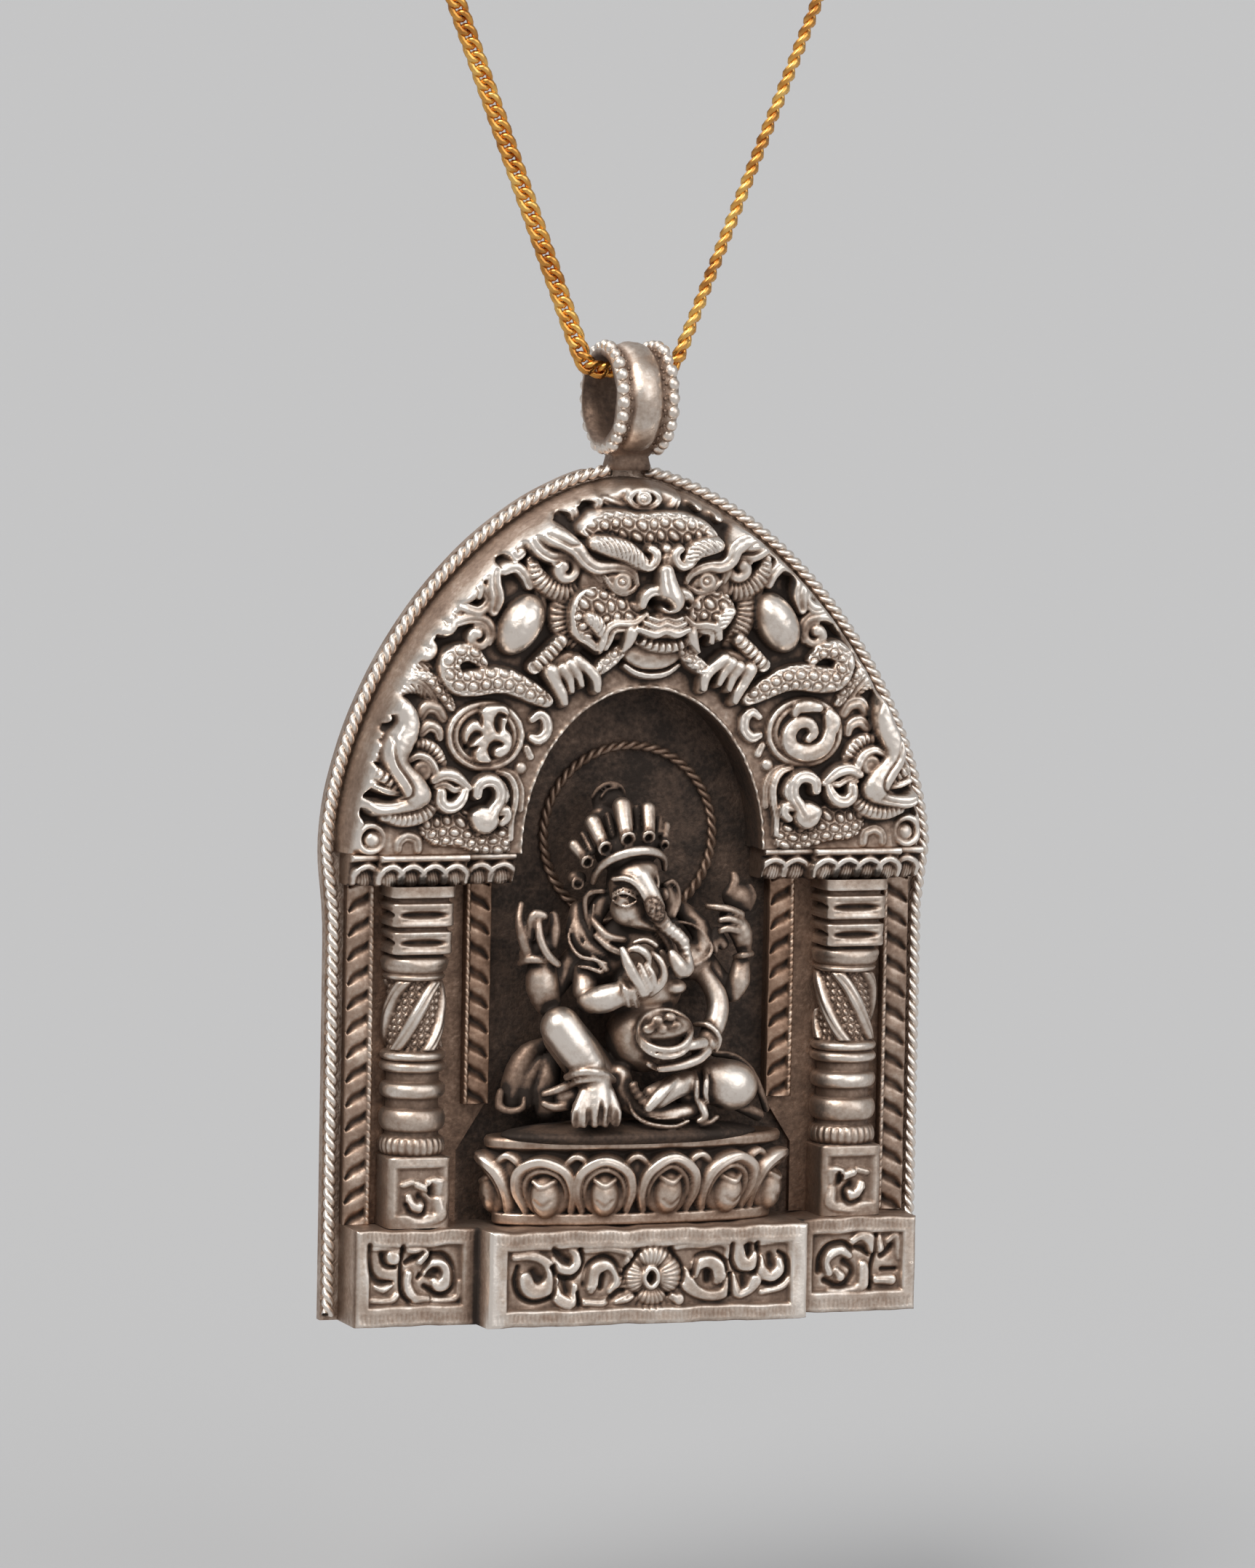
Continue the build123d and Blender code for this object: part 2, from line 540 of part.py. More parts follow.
FACE_SIDES = {
    "brow": [(1.3, 22.4, 6.7, 0.8), (3.2, 23.0, 6.3, 0.75), (5.6, 24.0, 5.0, 0.5)],
    "eye": [(3.3, 20.4, 6.5, 1.35), (3.5, 20.4, 6.5, 1.3)],
    "nostril": [(1.25, 18.7, 6.9, 0.8), (1.5, 18.9, 6.7, 0.7)],
    "cheek": [(2.9, 18.4, 5.5, 1.8), (5.4, 18.5, 5.1, 1.6)],
    "mouth_corner": [(2.4, 17.1, 5.9, 0.72), (3.9, 16.6, 5.6, 0.8)],
    "fang": [(3.7, 16.6, 5.5, 0.75), (3.8, 14.8, 5.6, 0.35)],
    "ruff": [(7.1, 19.9, 4.2, 1.0), (7.0, 17.2, 4.4, 1.0), (5.6, 15.9, 4.4, 0.8)],
    "ear": [(5.2, 21.3, 5.0, 1.1), (7.3, 22.5, 4.6, 1.0), (9.0, 24.4, 3.9, 0.6)],
    "ear_curl": [(7.4, 21.0, 4.9, 1.25), (7.6, 21.0, 4.9, 1.2)],
    "armlet": [(10.0, 22.2, 3.6, 1.0), (12.2, 21.2, 3.4, 1.0)],
    "arm": [(11.6, 18.6, 3.9, 1.8), (10.0, 16.4, 4.0, 1.5)],
    "palm": [(8.3, 14.9, 4.4, 1.25), (6.5, 13.9, 4.6, 1.35)],
    "finger_1": [(6.9, 13.8, 5.2, 0.5), (7.0, 11.4, 5.0, 0.4)],
    "finger_2": [(6.4, 13.7, 5.3, 0.5), (6.0, 11.6, 5.0, 0.4)],
    "finger_3": [(6.0, 13.8, 5.3, 0.5), (5.0, 12.1, 5.0, 0.4)],
    "finger_4": [(5.8, 14.2, 5.2, 0.5), (4.1, 12.9, 5.0, 0.4)],
    "snake_head": [(14.2, 14.9, 5.1, 0.95), (14.8, 15.3, 5.0, 0.9)],
    "snake_neck": [(14.8, 15.3, 4.9, 0.85), (16.4, 14.9, 4.5, 0.8), (16.4, 13.2, 4.6, 0.8)],
    "snake_back": [(16.4, 13.2, 4.6, 0.8), (14.6, 12.5, 4.8, 0.9), (12.6, 13.2, 4.9, 0.9)],
    "snake_tail": [(12.6, 13.2, 4.9, 0.9), (10.4, 12.9, 4.9, 0.8), (8.6, 11.4, 4.9, 0.65)],
    "roundel_leaf_1": [(12.5, 10.6, 4.6, 0.85), (12.5, 9.2, 4.7, 0.75)],
    "roundel_leaf_2": [(11.2, 8.6, 4.6, 0.75), (13.6, 8.4, 4.6, 0.75)],
    "roundel_leaf_3": [(13.8, 9.9, 4.6, 0.7), (12.6, 9.3, 4.7, 0.7)],
    "leaf_1": [(9.2, 23.4, 3.2, 0.8), (11.2, 23.0, 2.8, 0.6), (12.6, 21.4, 3.0, 0.6)],
    "leaf_2": [(12.8, 20.2, 3.2, 0.8), (14.2, 18.8, 3.2, 0.7)],
    "leaf_3": [(13.7, 17.6, 4.0, 0.9), (15.2, 17.5, 3.7, 0.8), (16.4, 17.3, 3.2, 0.7)],
    "leaf_4": [(16.6, 15.8, 3.4, 0.8), (18.2, 14.4, 3.0, 0.8)],
    "leaf_5": [(18.0, 12.6, 3.4, 0.8), (19.6, 11.6, 3.0, 0.7)],
    "leaf_6": [(9.4, 8.6, 4.4, 0.6), (10.2, 6.6, 4.4, 0.5)],
    "trunk": [
        (20.8, 10.7, 4.7, 0.6),
        (20.4, 11.7, 4.8, 0.6),
        (19.4, 10.9, 5.0, 0.65),
        (19.8, 9.0, 5.2, 0.75),
        (20.6, 7.5, 5.3, 0.85),
        (20.0, 6.0, 5.4, 0.95),
        (18.8, 4.6, 5.2, 1.1),
    ],
    "makara_head": [(18.4, 4.4, 4.6, 1.5), (16.4, 4.9, 4.4, 1.6)],
    "makara_jaw": [(18.6, 3.2, 4.8, 0.7), (21.2, 3.3, 4.4, 0.6)],
    "makara_tusk": [
        (20.4, 5.8, 4.8, 0.5),
        (21.5, 5.9, 4.2, 0.5),
        (22.6, 4.6, 3.6, 0.5),
        (22.6, 3.2, 3.2, 0.4),
    ],
    "makara_crest": [(16.0, 6.6, 4.8, 0.7), (18.4, 6.9, 4.8, 0.5)],
    "makara_eye": [(15.7, 4.8, 5.4, 0.75), (15.9, 4.8, 5.4, 0.7)],
    "makara_neck": [(16.6, 2.6, 4.2, 1.5), (12.2, 2.4, 4.1, 1.5)],
    "makara_coil": [(11.0, 6.2, 4.2, 0.5), (10.9, 3.6, 4.2, 0.6), (11.6, 1.2, 4.0, 0.6)],
    "makara_disc": [(21.6, 1.5, 3.2, 1.1), (21.7, 1.5, 3.2, 1.0)],
    "makara_small_disc": [(19.2, 1.2, 4.0, 0.8), (19.3, 1.2, 4.0, 0.7)],
}
# Beads, from one to another: x, z, out of the first, x, z, out of the last, count, r
FACE_BEADS = {
    "teeth": (0.5, 15.9, 4.8, 1.9, 16.0, 4.8, 2, 0.55),
    "strand": (3.1, 15.4, 5.2, 4.3, 13.7, 5.0, 4, 0.45),
    "bracelet": (7.4, 16.2, 4.9, 9.8, 14.4, 4.5, 5, 0.62),
}
# Spiral scrolls: x, z, out, radius, turn, hand
FACE_SCROLLS = {
    "makara_curl": (13.0, 5.6, 4.6, 0.9, 120, 1),
    "leaf_curl": (14.8, 17.7, 4.0, 1.0, 200, -1),
    "small_curl": (9.0, 10.0, 4.6, 0.75, 90, 1),
    "rim_curl": (11.0, 21.6, 3.4, 0.9, 30, 1),
}
THIRD_EYE = (27.5, 3.2, 1.25)
ROUNDEL = (12.5, 9.3, 3.15)


def on_arch(x, z, out):
    """A place on the arch, from the drawn x, z and distance out."""
    return (x * ARCH_X, FACE - out * ARCH_Y, SPRING + z * ARCH_Z)


def arch_limbs(table):
    pieces = []
    for row in table.values():
        points = [(*on_arch(x, z, out), radius * ARCH_X) for x, z, out, radius in row]
        pieces += string(points)
    return pieces


def arch_side():
    """The relief on the right half of the arch, without what crosses the middle."""
    pieces = arch_limbs(FACE_SIDES)
    for x0, z0, out0, x1, z1, out1, count, radius in FACE_BEADS.values():
        for number in range(count):
            share = number / (count - 1)
            spot = (x0 + (x1 - x0) * share, z0 + (z1 - z0) * share, out0 + (out1 - out0) * share)
            pieces.append(ball(*on_arch(*spot), radius * ARCH_X))
    for x, z, out, radius, turn, handed in FACE_SCROLLS.values():
        size = radius * ARCH_X
        pieces += scroll(*on_arch(x, z, out), size, size * 0.24, turn, handed)
    x, z, radius = ROUNDEL
    centre = Pos(*on_arch(x, z, 3.9)) * Rot(90, 0, 0)
    pieces.append(centre * Cylinder(radius * ARCH_X, ARCH_Y * 1.6))
    ring = Pos(*on_arch(x, z, 4.7)) * Rot(90, 0, 0)
    pieces.append(ring * Torus(radius * ARCH_X * 0.88, radius * ARCH_X * 0.13))
    return pieces


def arch_ground():
    """The arch's raised sheet: a steep wall at the rim, then a slope in to the level ground."""
    margin = RIM_WIRE + RIM_CLEARANCE / 2
    steps = [
        (margin, FACE),
        (margin + WALL_SET_IN, FACE - WALL_DEPTH),
        (margin + GROUND_SET_IN, FACE - GROUND_DEPTH),
    ]
    faces = [upright_face(shrine_outline(inset, sides=False), y) for inset, y in steps]
    wall = loft(faces[:2], ruled=True)
    slope = loft(faces[1:], ruled=True)
    return wall, slope


def arch_hollow():
    """The hollow behind the sheet, a sheet's thickness inside the wall and the ground."""
    inset = RIM_WIRE + WALL_SET_IN + SHEET_THICKNESS
    depth = FACE - GROUND_DEPTH + SHEET_THICKNESS
    low = upright_face(shrine_outline(inset, sides=False), FACE)
    deep = upright_face(shrine_outline(inset + GROUND_SET_IN, sides=False), depth)
    return loft([low, deep], ruled=True)


def arch_opening(grow, depth):
    """The niche's round head, grown by an amount, as an upright cutter to a depth."""
    head = Ellipse(ARCH_OPENING_HALF_WIDTH + grow, ARCH_OPENING_RISE + grow)
    facing = Plane(origin=(0, FACE, SPRING), x_dir=(1, 0, 0), z_dir=(0, -1, 0))
    return extrude(facing * head, depth)


def make_arch_relief():
    """The raised sheet with its carving, hollow behind, open over the niche."""
    wall, slope = arch_ground()
    reach = PLATE_TOP
    ground = fuse([wall, slope]) - arch_opening(0, reach)
    side = arch_side()
    z, out, radius = THIRD_EYE
    middle = arch_limbs(FACE_OF_GLORY) + [ball(*on_arch(0, z, out), radius * ARCH_X)]
    carved = fuse([ground] + side + [mirrored(piece) for piece in side] + middle)
    return carved - (arch_hollow() - arch_opening(SHEET_THICKNESS, reach))


def make_lotus_throne():
    """Half-round lotus seat: a foot, a body ringed by two-part petals, and a flat rim."""
    foot_z = PLINTH_HEIGHT
    height = LOTUS_HEIGHT

    def tier(share, low, high):
        face = Ellipse(LOTUS_HALF_WIDTH * share, LOTUS_DEPTH * share)
        lifted = Pos(0, FACE, foot_z + low * height) * face
        return extrude(lifted, (high - low) * height)

    pieces = [tier(0.88, 0, 0.14), tier(0.90, 0.10, 0.9), tier(0.97, 0.86, 1.0)]
    petal_wide = pi * LOTUS_HALF_WIDTH / LOTUS_PETALS * 0.3
    for number in range(-1, LOTUS_PETALS + 1):
        angle = pi * (number + 0.5) / LOTUS_PETALS
        x = LOTUS_HALF_WIDTH * 0.86 * cos(angle)
        y = FACE - LOTUS_DEPTH * 0.84 * sin(angle)
        low = foot_z + height * 0.24
        high = foot_z + height * 0.62
        pieces.append(limb((x, y, low), (x, y, high), petal_wide * 0.8, petal_wide))
        inner = 1 + 0.12 * petal_wide
        pieces.append(limb((x * inner, y - 0.45 * sin(angle) * petal_wide, low),
                           (x * inner, y - 0.45 * sin(angle) * petal_wide, high - petal_wide * 0.4),
                           petal_wide * 0.5, petal_wide * 0.65))
    reach = LOTUS_HALF_WIDTH * 2
    room = block(-reach, reach, FACE, -reach, foot_z, foot_z + height)
    return fuse(pieces) & room


# The seated figure, from the middle of the seat: x, z above the seat, out from the plate, r.
FIGURE = {
    "rump": [(-4.0, 1.6, 3.4, 2.3), (3.2, 1.6, 3.4, 2.3)],
    "belly": [(-0.4, 6.6, 3.6, 3.1), (-0.2, 8.4, 3.4, 3.2)],
    "chest": [(-0.7, 10.8, 3.4, 2.6), (-0.8, 13.0, 3.4, 2.3)],
    "shoulders": [(-4.0, 13.0, 3.0, 1.6), (3.2, 13.0, 3.0, 1.6)],
    "raised_thigh": [(-3.2, 3.4, 3.2, 2.2), (-7.0, 8.8, 4.9, 1.75)],
    "raised_shin": [(-7.0, 8.8, 4.9, 1.7), (-4.6, 4.6, 5.6, 1.25)],
    "raised_cuff": [(-5.4, 4.7, 5.4, 1.2), (-3.4, 4.3, 5.4, 1.2)],
    "raised_foot": [(-4.4, 3.6, 5.7, 1.2), (-4.4, 1.6, 6.2, 1.3)],
    "toe_1": [(-5.4, 1.8, 6.6, 0.55), (-5.8, 0.9, 6.9, 0.45)],
    "toe_2": [(-4.8, 1.8, 6.8, 0.55), (-5.0, 0.7, 7.1, 0.45)],
    "toe_3": [(-4.1, 1.8, 6.8, 0.55), (-4.1, 0.7, 7.1, 0.45)],
    "toe_4": [(-3.4, 1.8, 6.7, 0.55), (-3.2, 0.9, 7.0, 0.45)],
    "folded_thigh": [(2.6, 2.6, 3.2, 2.2), (8.2, 3.2, 4.0, 2.1)],
    "folded_shin": [(8.2, 3.0, 4.2, 1.9), (4.0, 3.4, 5.0, 1.3)],
    "folded_cuff": [(4.2, 4.2, 5.0, 1.2), (4.0, 2.4, 5.2, 1.2)],
    "folded_foot": [(4.0, 3.4, 5.0, 1.2), (1.0, 2.4, 5.6, 1.0)],
    "skirt_fold": [(-1.4, 1.6, 5.4, 0.9), (1.4, 0.7, 5.8, 0.6), (3.6, 1.2, 5.6, 0.6)],
    "skirt_tail": [(-5.0, 2.0, 3.4, 1.5), (-9.4, 2.4, 3.0, 0.9)],
    "ribbon": [(-9.6, 6.0, 2.6, 0.9), (-9.9, 2.8, 2.6, 0.8), (-8.6, 0.8, 3.0, 0.8)],
    "bowl": [(-1.0, 7.9, 6.1, 1.3), (1.9, 7.9, 6.1, 1.3)],
    "bowl_hand": [(4.2, 7.0, 5.4, 1.1), (2.2, 6.4, 6.4, 1.0)],
    "bowl_finger": [(2.6, 5.9, 6.6, 0.6), (-0.6, 5.2, 6.4, 0.5)],
    "left_upper_arm": [(3.8, 12.8, 3.4, 1.7), (5.9, 9.4, 4.2, 1.35)],
    "left_forearm": [(5.9, 9.2, 4.2, 1.3), (4.2, 7.0, 5.4, 1.1)],
    "right_upper_arm": [(-4.4, 13.0, 3.4, 1.7), (-6.2, 10.8, 4.2, 1.4)],
    "right_forearm": [(-6.0, 10.8, 4.3, 1.35), (-2.4, 11.4, 5.8, 1.0)],
    "raised_palm": [(-1.8, 12.0, 6.2, 1.1), (-1.2, 13.2, 6.6, 1.0)],
    "palm_finger_1": [(-1.8, 12.6, 6.8, 0.5), (-2.6, 14.6, 6.4, 0.4)],
    "palm_finger_2": [(-1.2, 12.8, 7.0, 0.5), (-1.6, 15.0, 6.6, 0.4)],
    "palm_finger_3": [(-0.6, 12.6, 7.0, 0.5), (-0.4, 14.6, 6.8, 0.4)],
    "back_arm_left": [(-4.6, 13.2, 2.8, 1.3), (-8.0, 11.8, 3.0, 1.3), (-8.4, 13.6, 3.2, 0.9)],
    "back_hand_left": [(-8.3, 14.6, 3.3, 1.0), (-8.2, 16.2, 3.4, 1.0)],
    "noose": [(-9.4, 14.4, 3.4, 0.6), (-9.9, 16.4, 3.4, 0.5), (-9.4, 18.6, 3.2, 0.4)],
    "back_arm_right": [(3.6, 13.2, 2.8, 1.3), (7.4, 11.4, 3.0, 1.3), (8.3, 13.6, 3.2, 0.9)],
    "back_hand_right": [(8.2, 14.6, 3.3, 1.0), (7.2, 16.4, 3.4, 1.0)],
    "axe_shaft": [(7.4, 15.4, 3.6, 0.5), (8.2, 20.0, 2.9, 0.45)],
    "axe_blade": [(7.6, 18.8, 2.9, 0.9), (9.2, 18.4, 2.7, 0.8)],
    "head": [(-1.2, 18.2, 4.2, 2.6), (-0.8, 19.8, 4.0, 2.2)],
    "snout": [(-0.6, 18.4, 5.6, 1.5), (0.3, 16.9, 6.2, 1.15)],
    "trunk": [(0.3, 16.9, 6.1, 1.15), (1.8, 14.9, 6.1, 1.0), (2.8, 13.4, 5.9, 0.95), (2.1, 12.6, 6.1, 0.8)],
    "jaw": [(-1.9, 16.9, 5.2, 1.0), (-1.0, 16.6, 5.4, 0.8)],
    "eye": [(-1.6, 18.4, 6.0, 0.6), (-1.5, 18.4, 6.0, 0.55)],
    "ear_left": [(-4.0, 19.2, 3.2, 1.1), (-4.4, 16.6, 3.2, 1.0), (-4.0, 15.2, 3.2, 0.6)],
    "ear_right": [(2.0, 19.4, 3.4, 0.9), (2.4, 17.8, 3.2, 0.9)],
    "shawl_left": [(-5.2, 15.6, 3.6, 0.6), (-4.9, 14.0, 4.6, 0.6), (-2.8, 13.4, 5.6, 0.6)],
    "shawl_right": [(4.6, 15.0, 3.6, 0.6), (3.8, 12.6, 5.2, 0.6)],
    "headband": [(-3.6, 20.2, 4.4, 0.6), (-1.2, 21.8, 5.0, 0.6), (1.2, 21.2, 4.8, 0.6)],
    "cap": [(-1.4, 21.6, 3.6, 1.8), (-1.2, 23.0, 3.4, 1.4)],
    "prong_1": [(-4.0, 21.0, 4.2, 0.6), (-5.4, 22.4, 3.8, 0.65)],
    "prong_2": [(-3.0, 22.2, 4.4, 0.6), (-4.2, 24.2, 4.0, 0.65)],
    "prong_3": [(-1.4, 22.9, 4.5, 0.6), (-2.0, 25.4, 4.1, 0.65)],
    "prong_4": [(0.2, 22.8, 4.5, 0.6), (0.2, 25.0, 4.1, 0.65)],
    "prong_5": [(1.5, 22.2, 4.3, 0.6), (1.8, 23.8, 4.0, 0.65)],
    "topknot": [(-2.3, 23.8, 3.0, 1.0), (-3.1, 26.0, 2.6, 1.1)],
}


def on_figure(x, z, out):
    """A place on the figure, from the drawn x, height above the seat and distance out."""
    return (x * FIGURE_X, FACE - out * FIGURE_Y, SEAT_TOP + z * FIGURE_Z)


def make_figure():
    pieces = []
    for row in FIGURE.values():
        points = [(*on_figure(x, z, out), radius * FIGURE_X) for x, z, out, radius in row]
        pieces += string(points)
    reach = PLATE_TOP
    room = block(-reach, reach, FACE - FIGURE_BACK_GAP, -reach, SEAT_TOP, SEAT_TOP + reach)
    return fuse(pieces) & room


def bail_foot_span():
    """The foot's left and right sides."""
    return -BAIL_OFF_CENTRE - BAIL_FOOT_WIDTH / 2, -BAIL_OFF_CENTRE + BAIL_FOOT_WIDTH / 2


def oval_bar(length, wall):
    """An oval bar along X, a wall's thickness larger than the bail's bore."""
    start = (-BAIL_OFF_CENTRE - length / 2, -BAIL_SET_BACK, BAIL_Z)
    facing = Plane(origin=start, x_dir=(0, 1, 0), z_dir=(1, 0, 0))
    oval = Ellipse(BAIL_BORE_DEPTH / 2 + wall, BAIL_BORE_HEIGHT / 2 + wall)
    return extrude(facing * oval, length)


def make_bail():
    """Oval tube with a raised middle band, a beaded wire at each end, and its foot."""
    tube = oval_bar(BAIL_LENGTH, BAIL_WALL)
    band = oval_bar(BAIL_LENGTH * 0.45, BAIL_WALL + BAIL_BAND)
    long_half = BAIL_BORE_DEPTH / 2 + BAIL_WALL
    short_half = BAIL_BORE_HEIGHT / 2 + BAIL_WALL
    girth = pi * (long_half + short_half)
    count = ceil(girth / BAIL_BEAD / 1.15)
    half = BAIL_LENGTH / 2
    beads = []
    for side in (-1, 1):
        for number in range(count):
            angle = 2 * pi * number / count
            y = long_half * cos(angle) - BAIL_SET_BACK
            z = short_half * sin(angle) + BAIL_Z
            x = side * (half - BAIL_BEAD * 0.25) - BAIL_OFF_CENTRE
            beads.append(ball(x, y, z, BAIL_BEAD / 2))
    foot = block(*bail_foot_span(), BAIL_FOOT_OVERHANG, -BAIL_FOOT_DEPTH, FOOT_SEAT, BAIL_Z)
    return fuse([tube, band, foot] + beads) - oval_bar(BAIL_LENGTH * 2, 0)


def chain_path():
    """The right half of the chain's route: straight runs and tangent arcs, bail to clasp."""
    last = (CLASP_LENGTH / 2, CHAIN_ROUTE[-1][1])
    points = [(0, 0)] + CHAIN_ROUTE + [last]
    radii = tangent_radii(points)
    radii[0] = CHAIN_BEND
    print("chain radii:", [round(radius, 1) for radius in radii])
    path = FilletPolyline(*points, radius=radii)
    start = (-BAIL_OFF_CENTRE, -BAIL_SET_BACK, CHAIN_Z)
    return Plane(origin=start, x_dir=(1, 0, 0), z_dir=(0, -1, 0)).location * path


def make_chains():
    """The right and left halves of the chain, which meet in the middle of the bail."""
    path = chain_path()
    section = Plane(origin=path @ 0, z_dir=path % 0) * Circle(CHAIN_DIAMETER / 2)
    tube = sweep(section, path)
    expected = pi * CHAIN_DIAMETER ** 2 / 4 * path.length
    print("chain: whole loop", round(2 * path.length + CLASP_LENGTH, 1), "mm,",
          "volume over section times length", round(tube.volume / expected, 5))
    left = tube.mirror(Plane(origin=(-BAIL_OFF_CENTRE, 0, 0), z_dir=(1, 0, 0)))
    return tube, left


def make_clasp():
    lying = Rot(0, 90, 0) * Cylinder(CLASP_DIAMETER / 2, CLASP_LENGTH)
    return Pos(-BAIL_OFF_CENTRE, -BAIL_SET_BACK, LOOP_TOP) * lying


def write(name, shape):
    """Move a finished piece so that the origin is where the chain hangs, and write it."""
    placed = Pos(-HANG.X, -HANG.Y, -HANG.Z) * shape
    solids = placed.solids()
    print(f"{name}: {len(solids)} solid, {sum(solid.volume for solid in solids):.1f} mm3")
    export_step(solids[0] if len(solids) == 1 else Compound(solids), f"parts/{name}.step")


def write_pair(name, right, left=None):
    write(f"{name}_right", right)
    write(f"{name}_left", left or mirrored(right))


write("back_plate", make_back_plate())
write_pair("rim_rope", *make_rim_ropes())
write("halo_rope", make_halo_rope())
write("plinth", make_plinth())
write_pair("side_panel", make_side_panel())
write_pair("outer_strip", make_strip(OUTER_STRIP_X, COLUMN_FOOT, -1))
write_pair("inner_strip", make_strip(NICHE_HALF_WIDTH, COLUMN_FOOT + NICHE_FLARE_HEIGHT, 1))
write_pair("pillar", make_pillar())
write_pair("capital", make_capital())
write("arch_relief", make_arch_relief())
write("lotus_throne", make_lotus_throne())
write("ganesha_figure", make_figure())
write("bail", make_bail())
write_pair("chain", *make_chains())
write("clasp", make_clasp())
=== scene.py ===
"""The looks of a silver shrine pendant with a seated elephant-headed figure, and of its chain.

Until a mesh is made, lengths are millimetres in the pendant's own frame: x to the right, z up from
the underside of the plinth, and out, which is how far a place stands forward of the plate's back.
"""
from math import cos, hypot, pi, radians, sin, sqrt

import bpy
import numpy as np
from mathutils import Matrix, Vector


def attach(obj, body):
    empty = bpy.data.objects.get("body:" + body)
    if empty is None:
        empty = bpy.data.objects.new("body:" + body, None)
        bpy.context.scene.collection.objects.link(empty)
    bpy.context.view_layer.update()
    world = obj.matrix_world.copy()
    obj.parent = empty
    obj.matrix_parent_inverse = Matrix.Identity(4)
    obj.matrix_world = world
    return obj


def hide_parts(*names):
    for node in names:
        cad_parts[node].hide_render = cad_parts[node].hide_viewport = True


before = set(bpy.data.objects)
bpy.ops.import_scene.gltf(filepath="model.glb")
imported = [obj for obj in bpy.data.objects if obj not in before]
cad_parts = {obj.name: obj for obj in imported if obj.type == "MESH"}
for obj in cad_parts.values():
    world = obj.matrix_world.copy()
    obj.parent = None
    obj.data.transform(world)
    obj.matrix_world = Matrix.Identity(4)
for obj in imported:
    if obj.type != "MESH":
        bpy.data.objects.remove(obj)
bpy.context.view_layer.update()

# The frame's origin at the nape, in the pendant's own frame: x, y and z
HANG = np.array((-0.6, -1.3, 263.95))
# How far out the plate's front is
FACE = 0.8
# Levels, from the underside up: the plinth's top, the seat, the capitals' foot and the arch's foot
PLINTH_HEIGHT = 7.4
SEAT_TOP = 14.1
CAPITAL_FOOT = 33.3
SPRING = 35.7
# The plate's outline: upright sides, then an arch whose tip leans to the left
PLATE_HALF_WIDTH = 23.9
SHOULDER_HALF_WIDTH = 24.5
ARCH_RISE = 29.4
ARCH_FULLNESS = 1.7
ARCH_LEAN = 1.0


# Camera

PHOTO_WIDTH, PHOTO_HEIGHT = 1725, 2156
FOCAL_PIXELS = 12000.0
PIXELS_PER_MM = 18.0
# A place on the pendant, and the pixel that it lies on
TARGET = np.array((0.0, 0.0, 32.0))
TARGET_PIXEL = (855.5, 1229.0)
YAW, PITCH, ROLL = radians(19.0), radians(6.0), radians(1.05)
SENSOR = 36.0
NEAREST, FARTHEST = 0.05, 1500
# How far a place moves to the right and down in that view for each millimetre that it stands out
SIDEWAYS, DOWNWARD = 0.344, 0.1


def to_metres(points):
    """Places in the pendant's frame, in millimetres, as places in the whole model's, in metres."""
    return (np.asarray(points, float) - HANG) / 1000


def make_camera():
    """A camera at the photo's angle, turned so that the target falls on its pixel."""
    right = np.array((cos(YAW), -sin(YAW), 0))
    ahead = np.array((sin(YAW) * cos(PITCH), cos(YAW) * cos(PITCH), -sin(PITCH)))
    above = np.cross(right, ahead)
    place = TARGET - ahead * FOCAL_PIXELS / PIXELS_PER_MM
    level = cos(ROLL) * right + sin(ROLL) * above
    upright = cos(ROLL) * above - sin(ROLL) * right
    aside = (PHOTO_WIDTH / 2 - TARGET_PIXEL[0]) / FOCAL_PIXELS
    up = (TARGET_PIXEL[1] - PHOTO_HEIGHT / 2) / FOCAL_PIXELS
    aim = ahead + aside * level + up * upright
    aim /= np.linalg.norm(aim)
    level -= (level @ aim) * aim
    level /= np.linalg.norm(level)
    upright = np.cross(level, aim)
    data = bpy.data.cameras.new("camera")
    data.sensor_width = SENSOR
    data.lens = SENSOR * FOCAL_PIXELS / PHOTO_HEIGHT
    data.clip_start, data.clip_end = NEAREST, FARTHEST
    camera = bpy.data.objects.new("camera", data)
    turn = Matrix((level, upright, -aim)).transposed().to_4x4()
    camera.matrix_world = Matrix.Translation(Vector(to_metres(place))) @ turn
    bpy.context.scene.collection.objects.link(camera)
    bpy.context.scene.camera = camera


# Mesh making

def make_mesh(name, points, faces, hollows):
    """An object from points in millimetres, rows of corner numbers, and how hollow each point lies."""
    points = to_metres(points)
    faces = np.asarray(faces, np.int32)
    sides = faces.shape[1]
    mesh = bpy.data.meshes.new(name)
    mesh.vertices.add(len(points))
    mesh.vertices.foreach_set("co", points.astype(np.float32).ravel())
    mesh.loops.add(faces.size)
    mesh.loops.foreach_set("vertex_index", faces.ravel())
    mesh.polygons.add(len(faces))
    mesh.polygons.foreach_set("loop_start", np.arange(len(faces), dtype=np.int32) * sides)
    mesh.polygons.foreach_set("use_smooth", np.ones(len(faces), bool))
    mesh.update(calc_edges=True)
    mesh.validate()
    layer = mesh.attributes.new("hollow", "FLOAT", "POINT")
    layer.data.foreach_set("value", np.asarray(hollows, np.float32))
    thing = bpy.data.objects.new(name, mesh)
    bpy.context.scene.collection.objects.link(thing)
    return thing


def sided(name, side):
    """The name of a piece that is made once for each side; side 1 is the right."""
    return name + ("_right" if side > 0 else "_left")


def place(thing, material, body, slot, *nodes):
    """Give a piece its finish, its body and the solids that it stands for."""
    thing.data.materials.clear()
    thing.data.materials.append(material)
    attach(thing, body)
    if nodes:
        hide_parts(*nodes)


